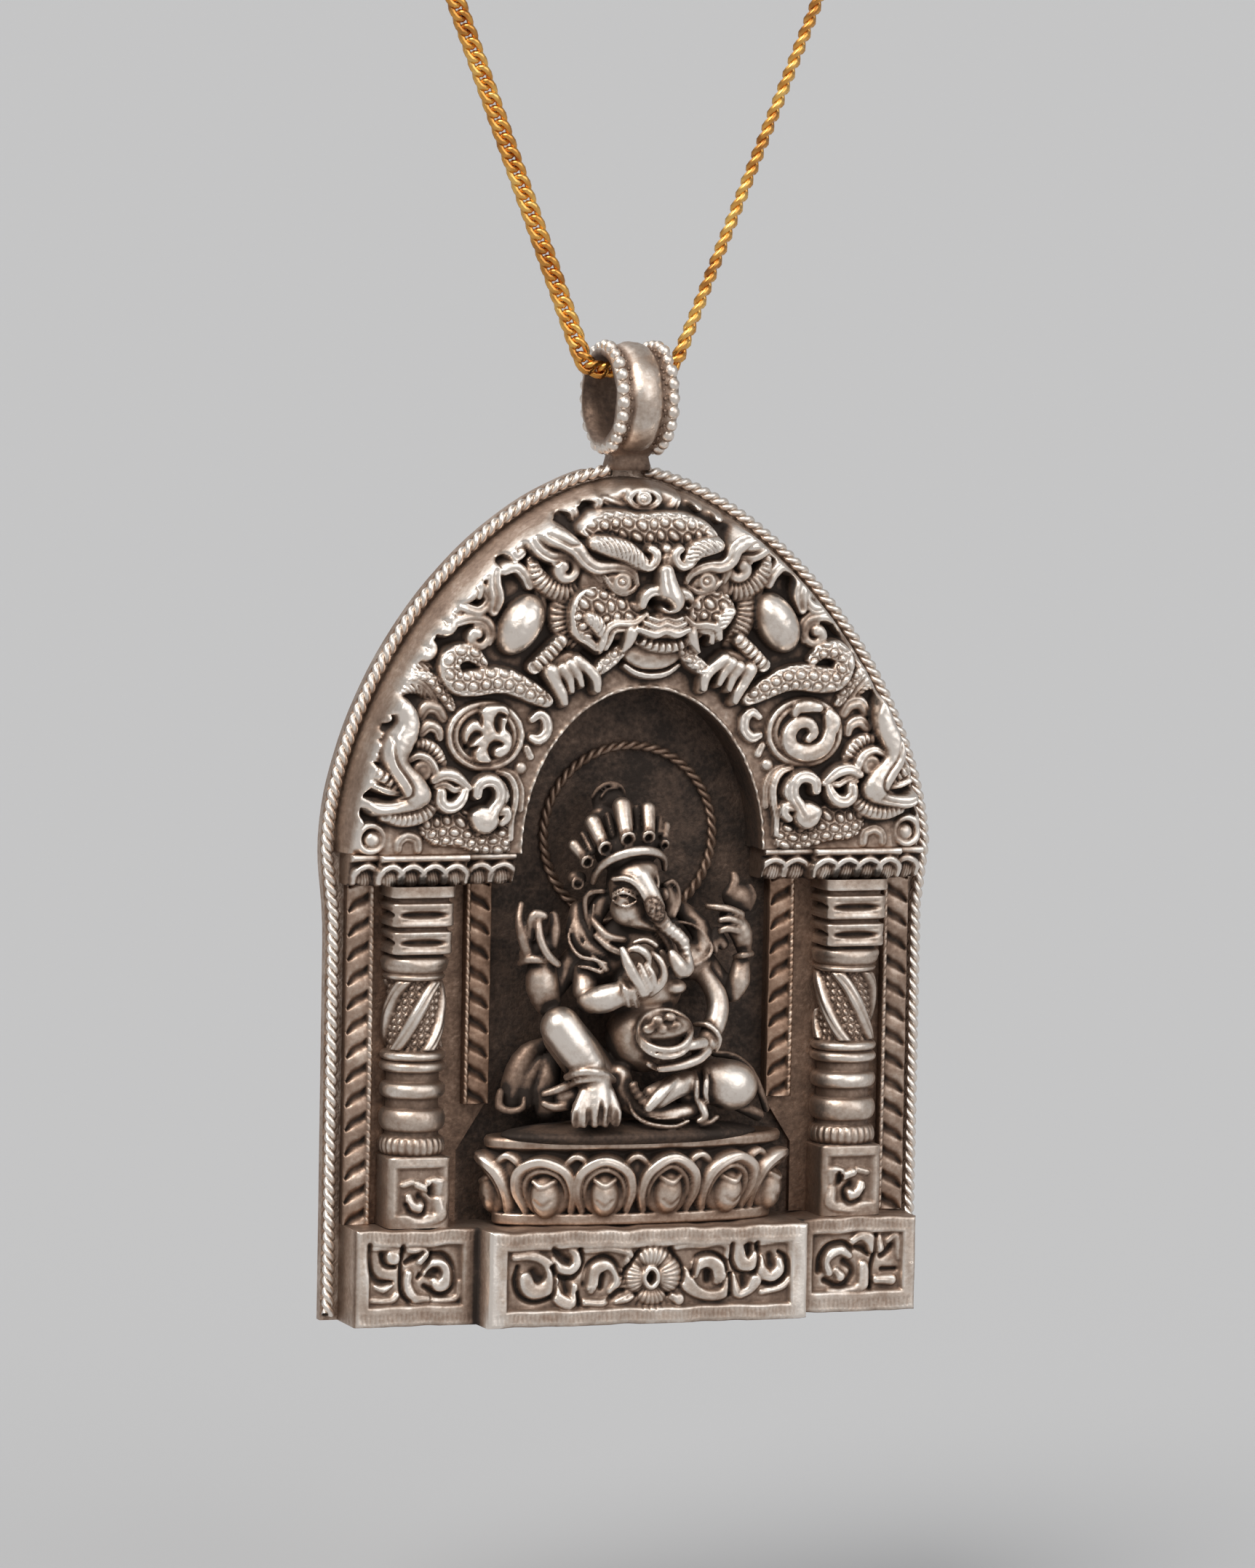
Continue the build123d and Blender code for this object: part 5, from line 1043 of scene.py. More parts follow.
def new_material(name):
    """A material, its nodes and its shader."""
    material = bpy.data.materials.new(name)
    material.use_nodes = True
    return material, material.node_tree, material.node_tree.nodes["Principled BSDF"]


def finish_silver(name, darkness=0.0, brownness=0.3, grain=1.0, bump=0.00004, level=None, outside=None):
    """A silver finish, its hollows from the mesh, at one level, or at one in the niche and one outside."""
    material, tree, shader = new_material(name)
    group = node(tree, "ShaderNodeGroup", set_node_tree=TARNISH)
    if level is None:
        mark = node(tree, "ShaderNodeAttribute", set_attribute_name="hollow")
        tree.links.new(mark.outputs["Fac"], group.inputs["Hollow"])
    elif outside is not None:
        # painted shade: the plate is darker within the niche than outside it
        dark = maths(tree, "MULTIPLY_ADD", niche_share(tree), level - outside, outside)
        tree.links.new(dark, group.inputs["Hollow"])
    else:
        group.inputs["Hollow"].default_value = level
    group.inputs["Darkness"].default_value = darkness
    group.inputs["Brownness"].default_value = brownness
    group.inputs["Grain"].default_value = grain
    bumped = node(tree, "ShaderNodeBump", Strength=0.7, Distance=bump, Height=group.outputs["Height"])
    for label in ("Roughness", "Metallic"):
        tree.links.new(group.outputs[label], shader.inputs[label])
    tree.links.new(group.outputs["Color"], shader.inputs["Base Color"])
    tree.links.new(bumped.outputs["Normal"], shader.inputs["Normal"])
    return material


def finish_gold():
    """Gold plate worn through to copper brown in patches."""
    material, tree, shader = new_material("gold_plate")
    worn = noise(tree, Scale=900.0, Detail=3.0)
    fine = noise(tree, Scale=5000.0, Detail=2.0)
    mark = node(tree, "ShaderNodeAttribute", set_attribute_name="hollow").outputs["Fac"]
    colour = ramp(tree, maths(tree, "MULTIPLY_ADD", worn, 0.7, mark), GOLD_COLOURS)
    rough = ramp(tree, fine, [(0.3, 0.22), (0.7, 0.36)])
    bumped = node(tree, "ShaderNodeBump", Strength=0.3, Distance=0.00002, Height=fine)
    tree.links.new(colour, shader.inputs["Base Color"])
    tree.links.new(rough, shader.inputs["Roughness"])
    tree.links.new(bumped.outputs["Normal"], shader.inputs["Normal"])
    shader.inputs["Metallic"].default_value = 1.0
    return material


silver = finish_silver("antique_silver", darkness=0.05)
# the back plate: nearly black within the niche as painted shade, at the wall's tarnish level outside it
dark_silver = finish_silver("niche_tarnish_and_shade", level=0.90, grain=1.6, bump=0.00012, outside=0.46)
side_silver = finish_silver("side_panel_tarnish", level=0.70, brownness=0.6, grain=1.4, bump=0.0001)
lotus_silver = finish_silver("lotus_tarnish", darkness=0.12, brownness=0.5)
brown_silver = finish_silver("halo_brown", level=0.60, brownness=0.5)
strip_silver = finish_silver("strip_tarnish", darkness=0.1, brownness=0.85)
edge_silver = finish_silver("edge_tarnish", darkness=0.04, brownness=0.45)
gold = finish_gold()
SILVER, GOLD = "antique_silver", "gold_plate"

# Solids that no piece stands for keep their own shape and take a finish
for name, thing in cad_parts.items():
    thing.data.materials.clear()
    thing.data.materials.append(gold if name in ("chain_right", "chain_left", "clasp") else side_silver)
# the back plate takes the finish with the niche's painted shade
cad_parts["back_plate"].data.materials[0] = dark_silver


# The seated figure, built up as a field of distances and then skinned

def edge_cells(places, others, steps):
    """The cells on one side of grid edges, stepping back along the two other axes."""
    cells = places.copy()
    for axis, step in zip(others, steps):
        cells[:, axis] -= step
    return cells


class Clay:
    """A field over a box of space: how far each place is outside the solid, in millimetres.

    Places are x, out and z."""

    def __init__(self, low, high, step):
        self.step = step
        self.low = np.array(low, float)
        self.axes = [np.arange(a, b, step, dtype=np.float32) for a, b in zip(low, high)]
        self.field = np.full([len(axis) for axis in self.axes], 2.0, np.float32)

    def spot(self, low, high, reach):
        """The part of the box round two corners, and its coordinates."""
        spans = [np.searchsorted(axis, (a - reach, b + reach)) for axis, a, b in zip(self.axes, low, high)]
        cut = tuple(slice(a, b) for a, b in spans)
        return cut, np.meshgrid(*[axis[c] for axis, c in zip(self.axes, cut)], indexing="ij", sparse=True)

    def join(self, cut, distance, soft):
        """Add a form, its seam rounded over a soft width."""
        old = self.field[cut]
        blend = np.maximum(soft - np.abs(old - distance), 0) / soft
        self.field[cut] = np.minimum(old, distance) - blend * blend * soft / 4

    def cut_away(self, cut, distance, soft):
        """Take a form away, its edge rounded over a soft width."""
        old = self.field[cut]
        blend = np.maximum(soft - np.abs(old + distance), 0) / soft
        self.field[cut] = np.maximum(old, -distance) + blend * blend * soft / 4

    def distance_to(self, row, pattern=None):
        """How far places are from a bar through points of x, out, z and radius."""
        row = smooth_row(row, 0.35)
        radii = row[:, 3]
        low, high = (row[:, :3] - radii[:, None]).min(0), (row[:, :3] + radii[:, None]).max(0)
        cut, (x, y, z) = self.spot(low, high, 1.2)
        best = None
        run = 0.0
        for a, b in zip(row, row[1:]):
            d = b[:3] - a[:3]
            length = float(d @ d)
            if length < 1e-9:
                continue
            t = np.clip(((x - a[0]) * d[0] + (y - a[1]) * d[1] + (z - a[2]) * d[2]) / length, 0, 1)
            across = np.sqrt((x - a[0] - t * d[0]) ** 2 + (y - a[1] - t * d[1]) ** 2
                             + (z - a[2] - t * d[2]) ** 2)
            radius = a[3] + t * (b[3] - a[3])
            if pattern:
                radius = radius + pattern(run + t * sqrt(length))
            distance = across - radius
            best = distance if best is None else np.minimum(best, distance)
            run += sqrt(length)
        return cut, best

    def limb(self, row, soft, pattern=None):
        """Add a bar along a row of points."""
        cut, distance = self.distance_to(row, pattern)
        self.join(cut, distance, soft)

    def chase(self, row, soft=0.06):
        """Cut a line into the work along a row of points."""
        cut, distance = self.distance_to(row)
        self.cut_away(cut, distance, soft)

    def egg(self, centre, halves, turn, soft):
        """A rounded lump, turned in the plane seen from the front."""
        centre, halves = np.array(centre, float), np.array(halves, float)
        cut, (x, y, z) = self.spot(centre - halves.max(), centre + halves.max(), 1.0)
        c, s = cos(radians(turn)), sin(radians(turn))
        dx, dz = x - centre[0], z - centre[2]
        share = np.sqrt(((c * dx + s * dz) / halves[0]) ** 2 + ((y - centre[1]) / halves[1]) ** 2
                        + ((c * dz - s * dx) / halves[2]) ** 2)
        self.join(cut, (share - 1) * halves.min(), soft)

    def hoop(self, centre, radius, wire, facing, soft, squeeze=1.0):
        """A ring of wire round a direction of x, out and z."""
        facing = np.array(facing, float) / np.linalg.norm(facing)
        centre = np.array(centre, float)
        cut, (x, y, z) = self.spot(centre - radius, centre + radius, wire + 0.8)
        dx, dy, dz = x - centre[0], (y - centre[1]) / squeeze, z - centre[2]
        along = dx * facing[0] + dy * facing[1] + dz * facing[2]
        across = np.sqrt(np.maximum(dx * dx + dy * dy + dz * dz - along * along, 0))
        self.join(cut, np.hypot(across - radius, along) - wire, soft)

    def level(self, out):
        """Cut everything that lies behind a depth."""
        self.field = np.maximum(self.field, (out - self.axes[1])[None, :, None])

    def skin(self):
        """Points and four-sided faces of the surface, with how hollow each point lies."""
        field = self.field
        inside = field < 0
        cells = tuple(n - 1 for n in field.shape)
        total = int(np.prod(cells))
        sums, counts = np.zeros((total, 3)), np.zeros(total)
        crossings = []
        for axis in range(3):
            near, far = [slice(None)] * 3, [slice(None)] * 3
            near[axis], far[axis] = slice(0, -1), slice(1, None)
            near, far = tuple(near), tuple(far)
            places = np.argwhere(inside[near] != inside[far])
            start, end = field[near][tuple(places.T)], field[far][tuple(places.T)]
            exact = places.astype(float)
            exact[:, axis] += start / (start - end)
            others = [k for k in range(3) if k != axis]
            crossings.append((axis, others, places, start < 0))
            for steps in ((0, 0), (0, 1), (1, 0), (1, 1)):
                cell = edge_cells(places, others, steps)
                good = np.all((cell >= 0) & (cell < cells), axis=1)
                flat = np.ravel_multi_index(cell[good].T, cells)
                for k in range(3):
                    sums[:, k] += np.bincount(flat, exact[good, k], total)
                counts += np.bincount(flat, minlength=total)
        used = np.nonzero(counts)[0]
        number = np.full(total, -1)
        number[used] = np.arange(len(used))
        points = sums[used] / counts[used][:, None]
        faces = []
        for axis, others, places, leaving in crossings:
            beside = places[:, others]
            good = np.all((beside > 0) & (beside < np.array(cells)[others]), axis=1)
            places, leaving = places[good], leaving[good]
            corners = [edge_cells(places, others, steps) for steps in ((1, 1), (0, 1), (0, 0), (1, 0))]
            quads = np.stack([number[np.ravel_multi_index(cell.T, cells)] for cell in corners], 1)
            flip = leaving if axis != 1 else ~leaving
            quads[flip] = quads[flip][:, ::-1]
            faces.append(quads)
        return self.low + points * self.step, np.concatenate(faces), self.shade(points)

    def sample(self, places):
        """The field between grid points."""
        limits = np.array(self.field.shape) - 1.001
        places = np.clip(places, 0, limits)
        base = places.astype(int)
        share = places - base
        total = 0
        for corner in range(8):
            pick = np.array([(corner >> k) & 1 for k in range(3)])
            weight = np.prod(np.where(pick, share, 1 - share), axis=1)
            total = total + weight * self.field[tuple((base + pick).T)]
        return total

    def shade(self, points):
        """How closed in each point of the skin is, from 0 in the open to 1 in a deep fold."""
        slope = np.stack([self.sample(points + d) - self.sample(points - d) for d in np.eye(3)], 1)
        slope /= np.linalg.norm(slope, axis=1)[:, None] + 1e-9
        closed = np.zeros(len(points))
        for reach, weight in ((0.3, 1.0), (0.6, 0.8), (1.1, 0.6)):
            free = self.sample(points + slope * reach / self.step)
            closed += weight * np.clip(reach - free, 0, reach) / reach
        return np.clip(0.12 + 0.75 * closed, 0, 1)


FIGURE_STEP = 0.153
FIGURE_BACK = 1.9
# The crossed patch on the trunk: x and z as read, and its turn
PATCH, PATCH_TURN = (1.6, 31.15), 32


def at(x, z, out):
    """A place read at the figure's plane, as its true x, out and z."""
    true_x, true_z = true_place(x, z, out, FIGURE_PLANE)
    return true_x, out, true_z


def read(row):
    """A row of x, z, out and radius read at the figure's plane, as true x, out, z and radius."""
    return [(*at(x, z, out), radius) for x, z, out, radius in row]


def ribbed(pitch, depth):
    """Ridges round a bar, by how far along it they are."""
    return lambda run: depth * np.cos(2 * pi * run / pitch)


def shape_figure():
    """The whole figure on its seat, cut flat behind."""
    clay = Clay((-12.8, 1.2, 13.4), (12.4, 10.4, 42.6), FIGURE_STEP)
    shape_seat_cloth(clay)
    shape_trunk_of_body(clay)
    shape_legs(clay)
    shape_raised_arms(clay)
    shape_front_arms_and_bowl(clay)
    shape_head(clay)
    shape_crown(clay)
    clay.level(FIGURE_BACK)
    return clay


def limbs(clay, rows, soft):
    """Several bars from rows of x, z, out and radius."""
    for row in rows:
        clay.limb(read(row), soft)


def shape_seat_cloth(clay):
    """The low pad under the figure, and the folds of cloth behind and beside it."""
    clay.egg(at(-0.2, 14.1, 4.3), (10.2, 3.6, 1.0), 0, 0.3)
    limbs(clay, ([(-7.0, 21.0, 2.5, 0.5), (-8.4, 20.2, 2.4, 0.85), (-9.2, 18.8, 2.4, 1.0),
                  (-9.6, 17.2, 2.5, 0.95), (-9.6, 16.3, 2.6, 0.7)],
                 [(-7.4, 19.6, 2.9, 0.5), (-8.3, 18.3, 2.9, 0.7), (-8.5, 16.6, 2.9, 0.7)],
                 [(-6.6, 19.4, 2.9, 0.9), (-7.0, 17.4, 3.0, 1.1), (-6.8, 16.0, 3.2, 0.9)],
                 [(-10.5, 17.4, 3.3, 0.3), (-10.6, 16.3, 3.5, 0.34), (-9.6, 15.9, 3.9, 0.32),
                  (-8.7, 16.2, 4.1, 0.26), (-8.6, 16.9, 4.0, 0.2)],
                 [(6.6, 20.0, 4.4, 0.3), (8.2, 19.7, 4.4, 0.3), (9.6, 18.6, 4.2, 0.28),
                  (10.4, 17.0, 4.0, 0.3), (10.9, 15.6, 3.8, 0.3)],
                 [(8.6, 16.0, 4.8, 0.5), (10.2, 15.2, 4.4, 0.5)]), 0.12)
    for row in ([(-7.6, 20.4, 0.12), (-9.0, 19.2, 0.12), (-9.9, 17.4, 0.1)],
                [(-7.2, 20.0, 0.1), (-8.6, 18.9, 0.1), (-9.3, 17.2, 0.1)]):
        clay.chase(read([(x, z, 4.2, radius) for x, z, radius in row]))
    # hem of the ankle cloth at the left
    limbs(clay, ([(-7.0, 17.2, 5.2, 0.3), (-6.0, 17.5, 5.6, 0.34), (-4.8, 18.0, 6.2, 0.4)],
                 [(-7.0, 16.5, 5.4, 0.3), (-6.2, 16.2, 5.6, 0.36), (-5.2, 16.3, 5.8, 0.36)],
                 [(-5.6, 17.0, 5.2, 0.7), (-4.6, 17.2, 5.6, 0.8)]), 0.12)


def shape_trunk_of_body(clay):
    """The belly and chest, their folds, and the shawl."""
    clay.egg(at(0.9, 21.6, 5.0), (3.0, 2.45, 2.9), 0, 0.3)
    clay.egg(at(0.9, 25.2, 4.7), (2.9, 2.2, 2.5), 0, 0.3)
    clay.egg(at(0.6, 28.6, 4.5), (3.5, 1.7, 2.5), 0, 0.4)
    limbs(clay, ([(-3.4, 30.4, 5.2, 0.3), (-2.2, 29.2, 6.0, 0.36), (-0.9, 28.9, 6.3, 0.3)],
                 [(-3.1, 29.2, 5.6, 0.26), (-2.0, 28.3, 6.2, 0.32), (-1.1, 27.9, 6.4, 0.28)],
                 [(1.9, 29.6, 6.2, 0.3), (2.7, 28.6, 6.3, 0.36), (3.0, 27.4, 6.3, 0.3)],
                 [(2.2, 27.9, 6.4, 0.26), (2.9, 26.8, 6.4, 0.3)],
                 [(-3.3, 27.6, 5.9, 0.22), (-2.2, 26.6, 6.3, 0.26)]), 0.08)
    clay.egg(at(-2.6, 27.0, 4.3), (2.1, 1.5, 1.5), 20, 0.3)
    clay.egg(at(4.2, 27.2, 4.3), (2.0, 1.5, 1.5), -20, 0.3)
    clay.egg(at(3.3, 25.2, 6.5), (0.95, 0.5, 0.6), 0, 0.08)
    # shawl over both shoulders: thick folds with a bright edge
    limbs(clay, ([(-4.5, 31.2, 3.6, 0.7), (-4.6, 29.6, 4.2, 0.9), (-3.9, 28.4, 4.8, 0.85),
                  (-2.6, 27.8, 5.3, 0.6)],
                 [(3.8, 31.0, 3.6, 0.7), (5.1, 29.8, 4.2, 0.85), (5.5, 28.5, 4.6, 0.7),
                  (5.0, 27.2, 5.0, 0.5)]), 0.2)
    limbs(clay, ([(-4.9, 30.4, 4.5, 0.14), (-5.3, 29.2, 5.0, 0.17), (-4.9, 28.2, 5.5, 0.19),
                  (-4.2, 27.6, 5.9, 0.19), (-3.2, 27.4, 6.1, 0.18), (-2.2, 27.1, 6.3, 0.15)],
                 [(-4.4, 26.9, 5.7, 0.16), (-3.6, 26.8, 6.0, 0.2), (-2.6, 26.4, 6.3, 0.2)],
                 [(3.2, 30.2, 5.2, 0.15), (4.6, 29.9, 5.0, 0.16), (5.7, 29.1, 5.1, 0.17),
                  (6.2, 28.2, 5.2, 0.18), (6.0, 27.5, 5.4, 0.18), (4.9, 26.8, 5.8, 0.16)],
                 [(6.1, 27.0, 5.2, 0.14), (5.5, 26.2, 5.6, 0.15)]), 0.05)
    for row in ([(-4.3, 31.0, 0.1), (-4.5, 29.6, 0.12), (-3.7, 28.3, 0.12), (-2.4, 27.9, 0.1)],
                [(-3.6, 30.6, 0.1), (-3.8, 29.4, 0.1), (-2.8, 28.6, 0.1)],
                [(4.0, 30.2, 0.1), (5.0, 29.2, 0.12), (5.1, 28.0, 0.1)]):
        clay.chase(read([(x, z, 5.3, radius) for x, z, radius in row]))


def shape_legs(clay):
    """The raised leg at the left, the folded one at the right, and the apron between them."""
    # raised leg with its cuff and foot
    clay.limb(read([(-3.0, 18.6, 4.6, 1.8), (-5.4, 21.6, 5.4, 1.7)]), 0.3)
    clay.limb(read([(-5.75, 22.3, 6.3, 1.58), (-4.6, 20.8, 6.8, 1.52), (-3.5, 19.4, 7.0, 1.3)]), 0.12)
    clay.chase(read([(-5.0, 22.3, 8.35, 0.06), (-4.5, 21.2, 8.5, 0.1), (-3.5, 19.4, 8.3, 0.06)]), 0.1)
    limbs(clay, ([(-5.2, 18.5, 6.4, 0.3), (-4.4, 18.85, 7.7, 0.34), (-3.2, 18.95, 8.3, 0.34),
                  (-2.2, 18.7, 7.9, 0.34), (-1.5, 18.2, 6.9, 0.28)],
                 [(-4.8, 17.95, 6.6, 0.26), (-4.1, 18.25, 7.7, 0.3), (-3.0, 18.4, 8.2, 0.3),
                  (-2.0, 18.15, 7.7, 0.28)]), 0.08)
    limbs(clay, ([(-3.1, 18.4, 6.9, 1.25), (-2.85, 17.2, 7.3, 1.3), (-2.8, 16.2, 7.4, 1.45)],
                 [(-4.0, 16.2, 7.2, 0.7), (-1.6, 16.2, 7.2, 0.7)]), 0.2)
    for x in (-4.35, -3.75, -2.9, -2.05, -1.25):
        clay.limb(read([(-2.8 + (x + 2.8) * 0.6, 17.3, 7.8, 0.5), (x, 15.8, 8.2, 0.46),
                        (x * 1.01, 15.0, 8.1, 0.36)]), 0.1)
    for x, top in ((-4.4, 16.2), (-3.4, 16.7), (-2.45, 16.5), (-1.7, 16.6), (-1.2, 16.2)):
        clay.chase(read([(x + 0.05, top + 0.3, 8.7, 0.06), (x, (top + 14.7) / 2, 8.62, 0.2),
                         (x, 14.6, 8.35, 0.2)]), 0.04)
    # folded leg, its double cuff and foot
    clay.egg(at(7.8, 17.6, 5.8), (2.25, 1.95, 1.95), -8, 0.25)
    clay.limb(read([(4.6, 17.3, 5.2, 1.4), (6.4, 17.9, 5.6, 1.7)]), 0.3)
    limbs(clay, ([(5.0, 18.7, 6.2, 0.2), (5.2, 17.9, 7.3, 0.26), (5.2, 17.0, 7.3, 0.26),
                  (5.3, 16.3, 6.8, 0.2)],
                 [(5.8, 18.9, 6.4, 0.2), (5.95, 18.0, 7.6, 0.24), (5.9, 17.1, 7.6, 0.24),
                  (6.1, 16.3, 7.0, 0.18)],
                 [(5.5, 16.4, 7.0, 0.34), (5.8, 15.7, 7.2, 0.34), (5.9, 15.2, 7.2, 0.3),
                  (5.4, 14.9, 7.2, 0.24)],
                 [(5.6, 14.7, 7.1, 0.24), (6.3, 14.8, 7.1, 0.24), (6.9, 15.2, 6.8, 0.2)]), 0.05)
    limbs(clay, ([(4.4, 17.9, 6.5, 0.9), (3.2, 17.5, 7.0, 0.95), (2.2, 16.8, 7.2, 0.8)],
                 [(3.5, 18.2, 7.3, 0.36), (2.8, 17.6, 7.8, 0.45), (2.0, 16.8, 8.0, 0.48),
                  (1.35, 16.1, 8.0, 0.4)],
                 [(2.3, 17.6, 7.2, 0.5), (1.4, 17.2, 7.3, 0.5)]), 0.1)
    for k, (x, z) in enumerate(((0.9, 16.6), (0.55, 17.0), (0.25, 17.4), (0.1, 17.8))):
        clay.egg(at(x, z, 7.6 - 0.12 * k), (0.42, 0.42, 0.27), 35, 0.04)
    # apron between the legs and its hems
    clay.limb(read([(-1.0, 18.6, 5.6, 0.9), (-0.6, 17.0, 5.9, 0.9), (0.8, 15.9, 6.1, 0.8),
                    (3.2, 15.5, 6.2, 0.8), (5.0, 15.8, 6.2, 0.6)]), 0.2)
    limbs(clay, ([(-0.4, 17.2, 6.6, 0.16), (-0.1, 16.2, 6.9, 0.18), (0.3, 15.5, 7.2, 0.2),
                  (1.2, 14.9, 7.4, 0.2), (2.4, 14.6, 7.4, 0.2), (3.6, 14.55, 7.3, 0.2),
                  (4.6, 14.95, 7.0, 0.18)],
                 [(1.2, 15.4, 6.9, 0.12), (2.4, 15.15, 7.0, 0.14), (3.8, 15.2, 6.9, 0.12)]), 0.05)


def shape_raised_arms(clay):
    """The two rear arms, with the noose at the left and the axe at the right."""
    limbs(clay, ([(-4.8, 27.4, 3.6, 1.0), (-6.6, 25.2, 3.9, 1.0)],
                 [(-7.4, 26.7, 4.6, 1.12), (-7.3, 25.4, 4.7, 1.28), (-6.9, 24.2, 4.6, 1.05)]), 0.2)
    limbs(clay, ([(-9.1, 27.2, 4.4, 0.26), (-8.5, 27.5, 5.3, 0.34), (-7.6, 27.5, 5.7, 0.34),
                  (-6.6, 27.2, 5.2, 0.28)],
                 [(-8.6, 27.9, 4.6, 0.6), (-7.6, 28.3, 4.7, 0.75), (-6.9, 28.7, 4.6, 0.6)]), 0.06)
    limbs(clay, ([(-8.4, 27.9, 5.0, 0.5), (-8.9, 29.2, 5.1, 0.46), (-9.2, 30.6, 4.8, 0.38),
                  (-9.1, 31.7, 4.4, 0.26)],
                 [(-6.6, 28.6, 4.9, 0.5), (-6.4, 29.6, 4.8, 0.5), (-6.5, 30.8, 4.5, 0.36)],
                 [(-8.3, 29.2, 5.2, 0.34), (-8.3, 30.4, 5.4, 0.36), (-7.9, 30.95, 5.5, 0.38),
                  (-7.3, 30.8, 5.5, 0.36)]), 0.08)
    clay.limb(read([(-7.7, 30.4, 5.6, 0.3), (-7.6, 29.4, 5.9, 0.33), (-7.3, 28.5, 6.0, 0.34),
                    (-6.8, 27.7, 6.0, 0.34), (-6.1, 27.1, 5.8, 0.3)]), 0.03)
    limbs(clay, ([(5.4, 27.4, 3.6, 0.9), (7.4, 25.0, 3.9, 0.8)],
                 [(8.6, 26.8, 4.7, 0.68), (8.45, 25.6, 4.8, 0.88), (7.95, 24.6, 4.8, 0.72)]), 0.2)
    clay.limb(read([(8.1, 27.4, 4.8, 0.22), (8.8, 27.5, 5.5, 0.28), (9.5, 27.6, 4.9, 0.22)]), 0.05)
    limbs(clay, ([(8.8, 28.1, 4.7, 0.62), (8.6, 29.1, 4.9, 0.85), (8.1, 29.9, 4.9, 0.85),
                  (7.4, 30.6, 4.8, 0.6)],
                 [(7.1, 28.4, 4.6, 0.5), (6.7, 29.0, 4.6, 0.5)]), 0.12)
    limbs(clay, ([(8.5, 30.6, 5.2, 0.36), (7.6, 31.0, 5.5, 0.34), (6.6, 31.2, 5.3, 0.3),
                  (5.8, 31.3, 4.8, 0.24)],
                 [(8.4, 30.0, 5.5, 0.34), (7.6, 30.3, 5.8, 0.32), (6.9, 30.2, 5.6, 0.28)],
                 [(8.3, 29.4, 5.6, 0.34), (7.5, 29.6, 5.9, 0.3), (6.9, 29.4, 5.7, 0.26)]), 0.04)
    clay.limb(read([(6.6, 29.4, 4.6, 0.34), (6.4, 28.6, 4.8, 0.36), (6.5, 27.9, 4.9, 0.3)]), 0.05)
    clay.egg(at(8.3, 31.9, 3.7), (1.35, 0.75, 1.1), -25, 0.1)
    limbs(clay, ([(7.5, 32.2, 4.0, 0.3), (8.0, 33.1, 3.8, 0.42), (7.9, 33.7, 3.7, 0.3)],
                 [(9.2, 31.0, 4.0, 0.2), (9.6, 32.0, 3.9, 0.24), (9.2, 32.8, 3.8, 0.2)]), 0.08)


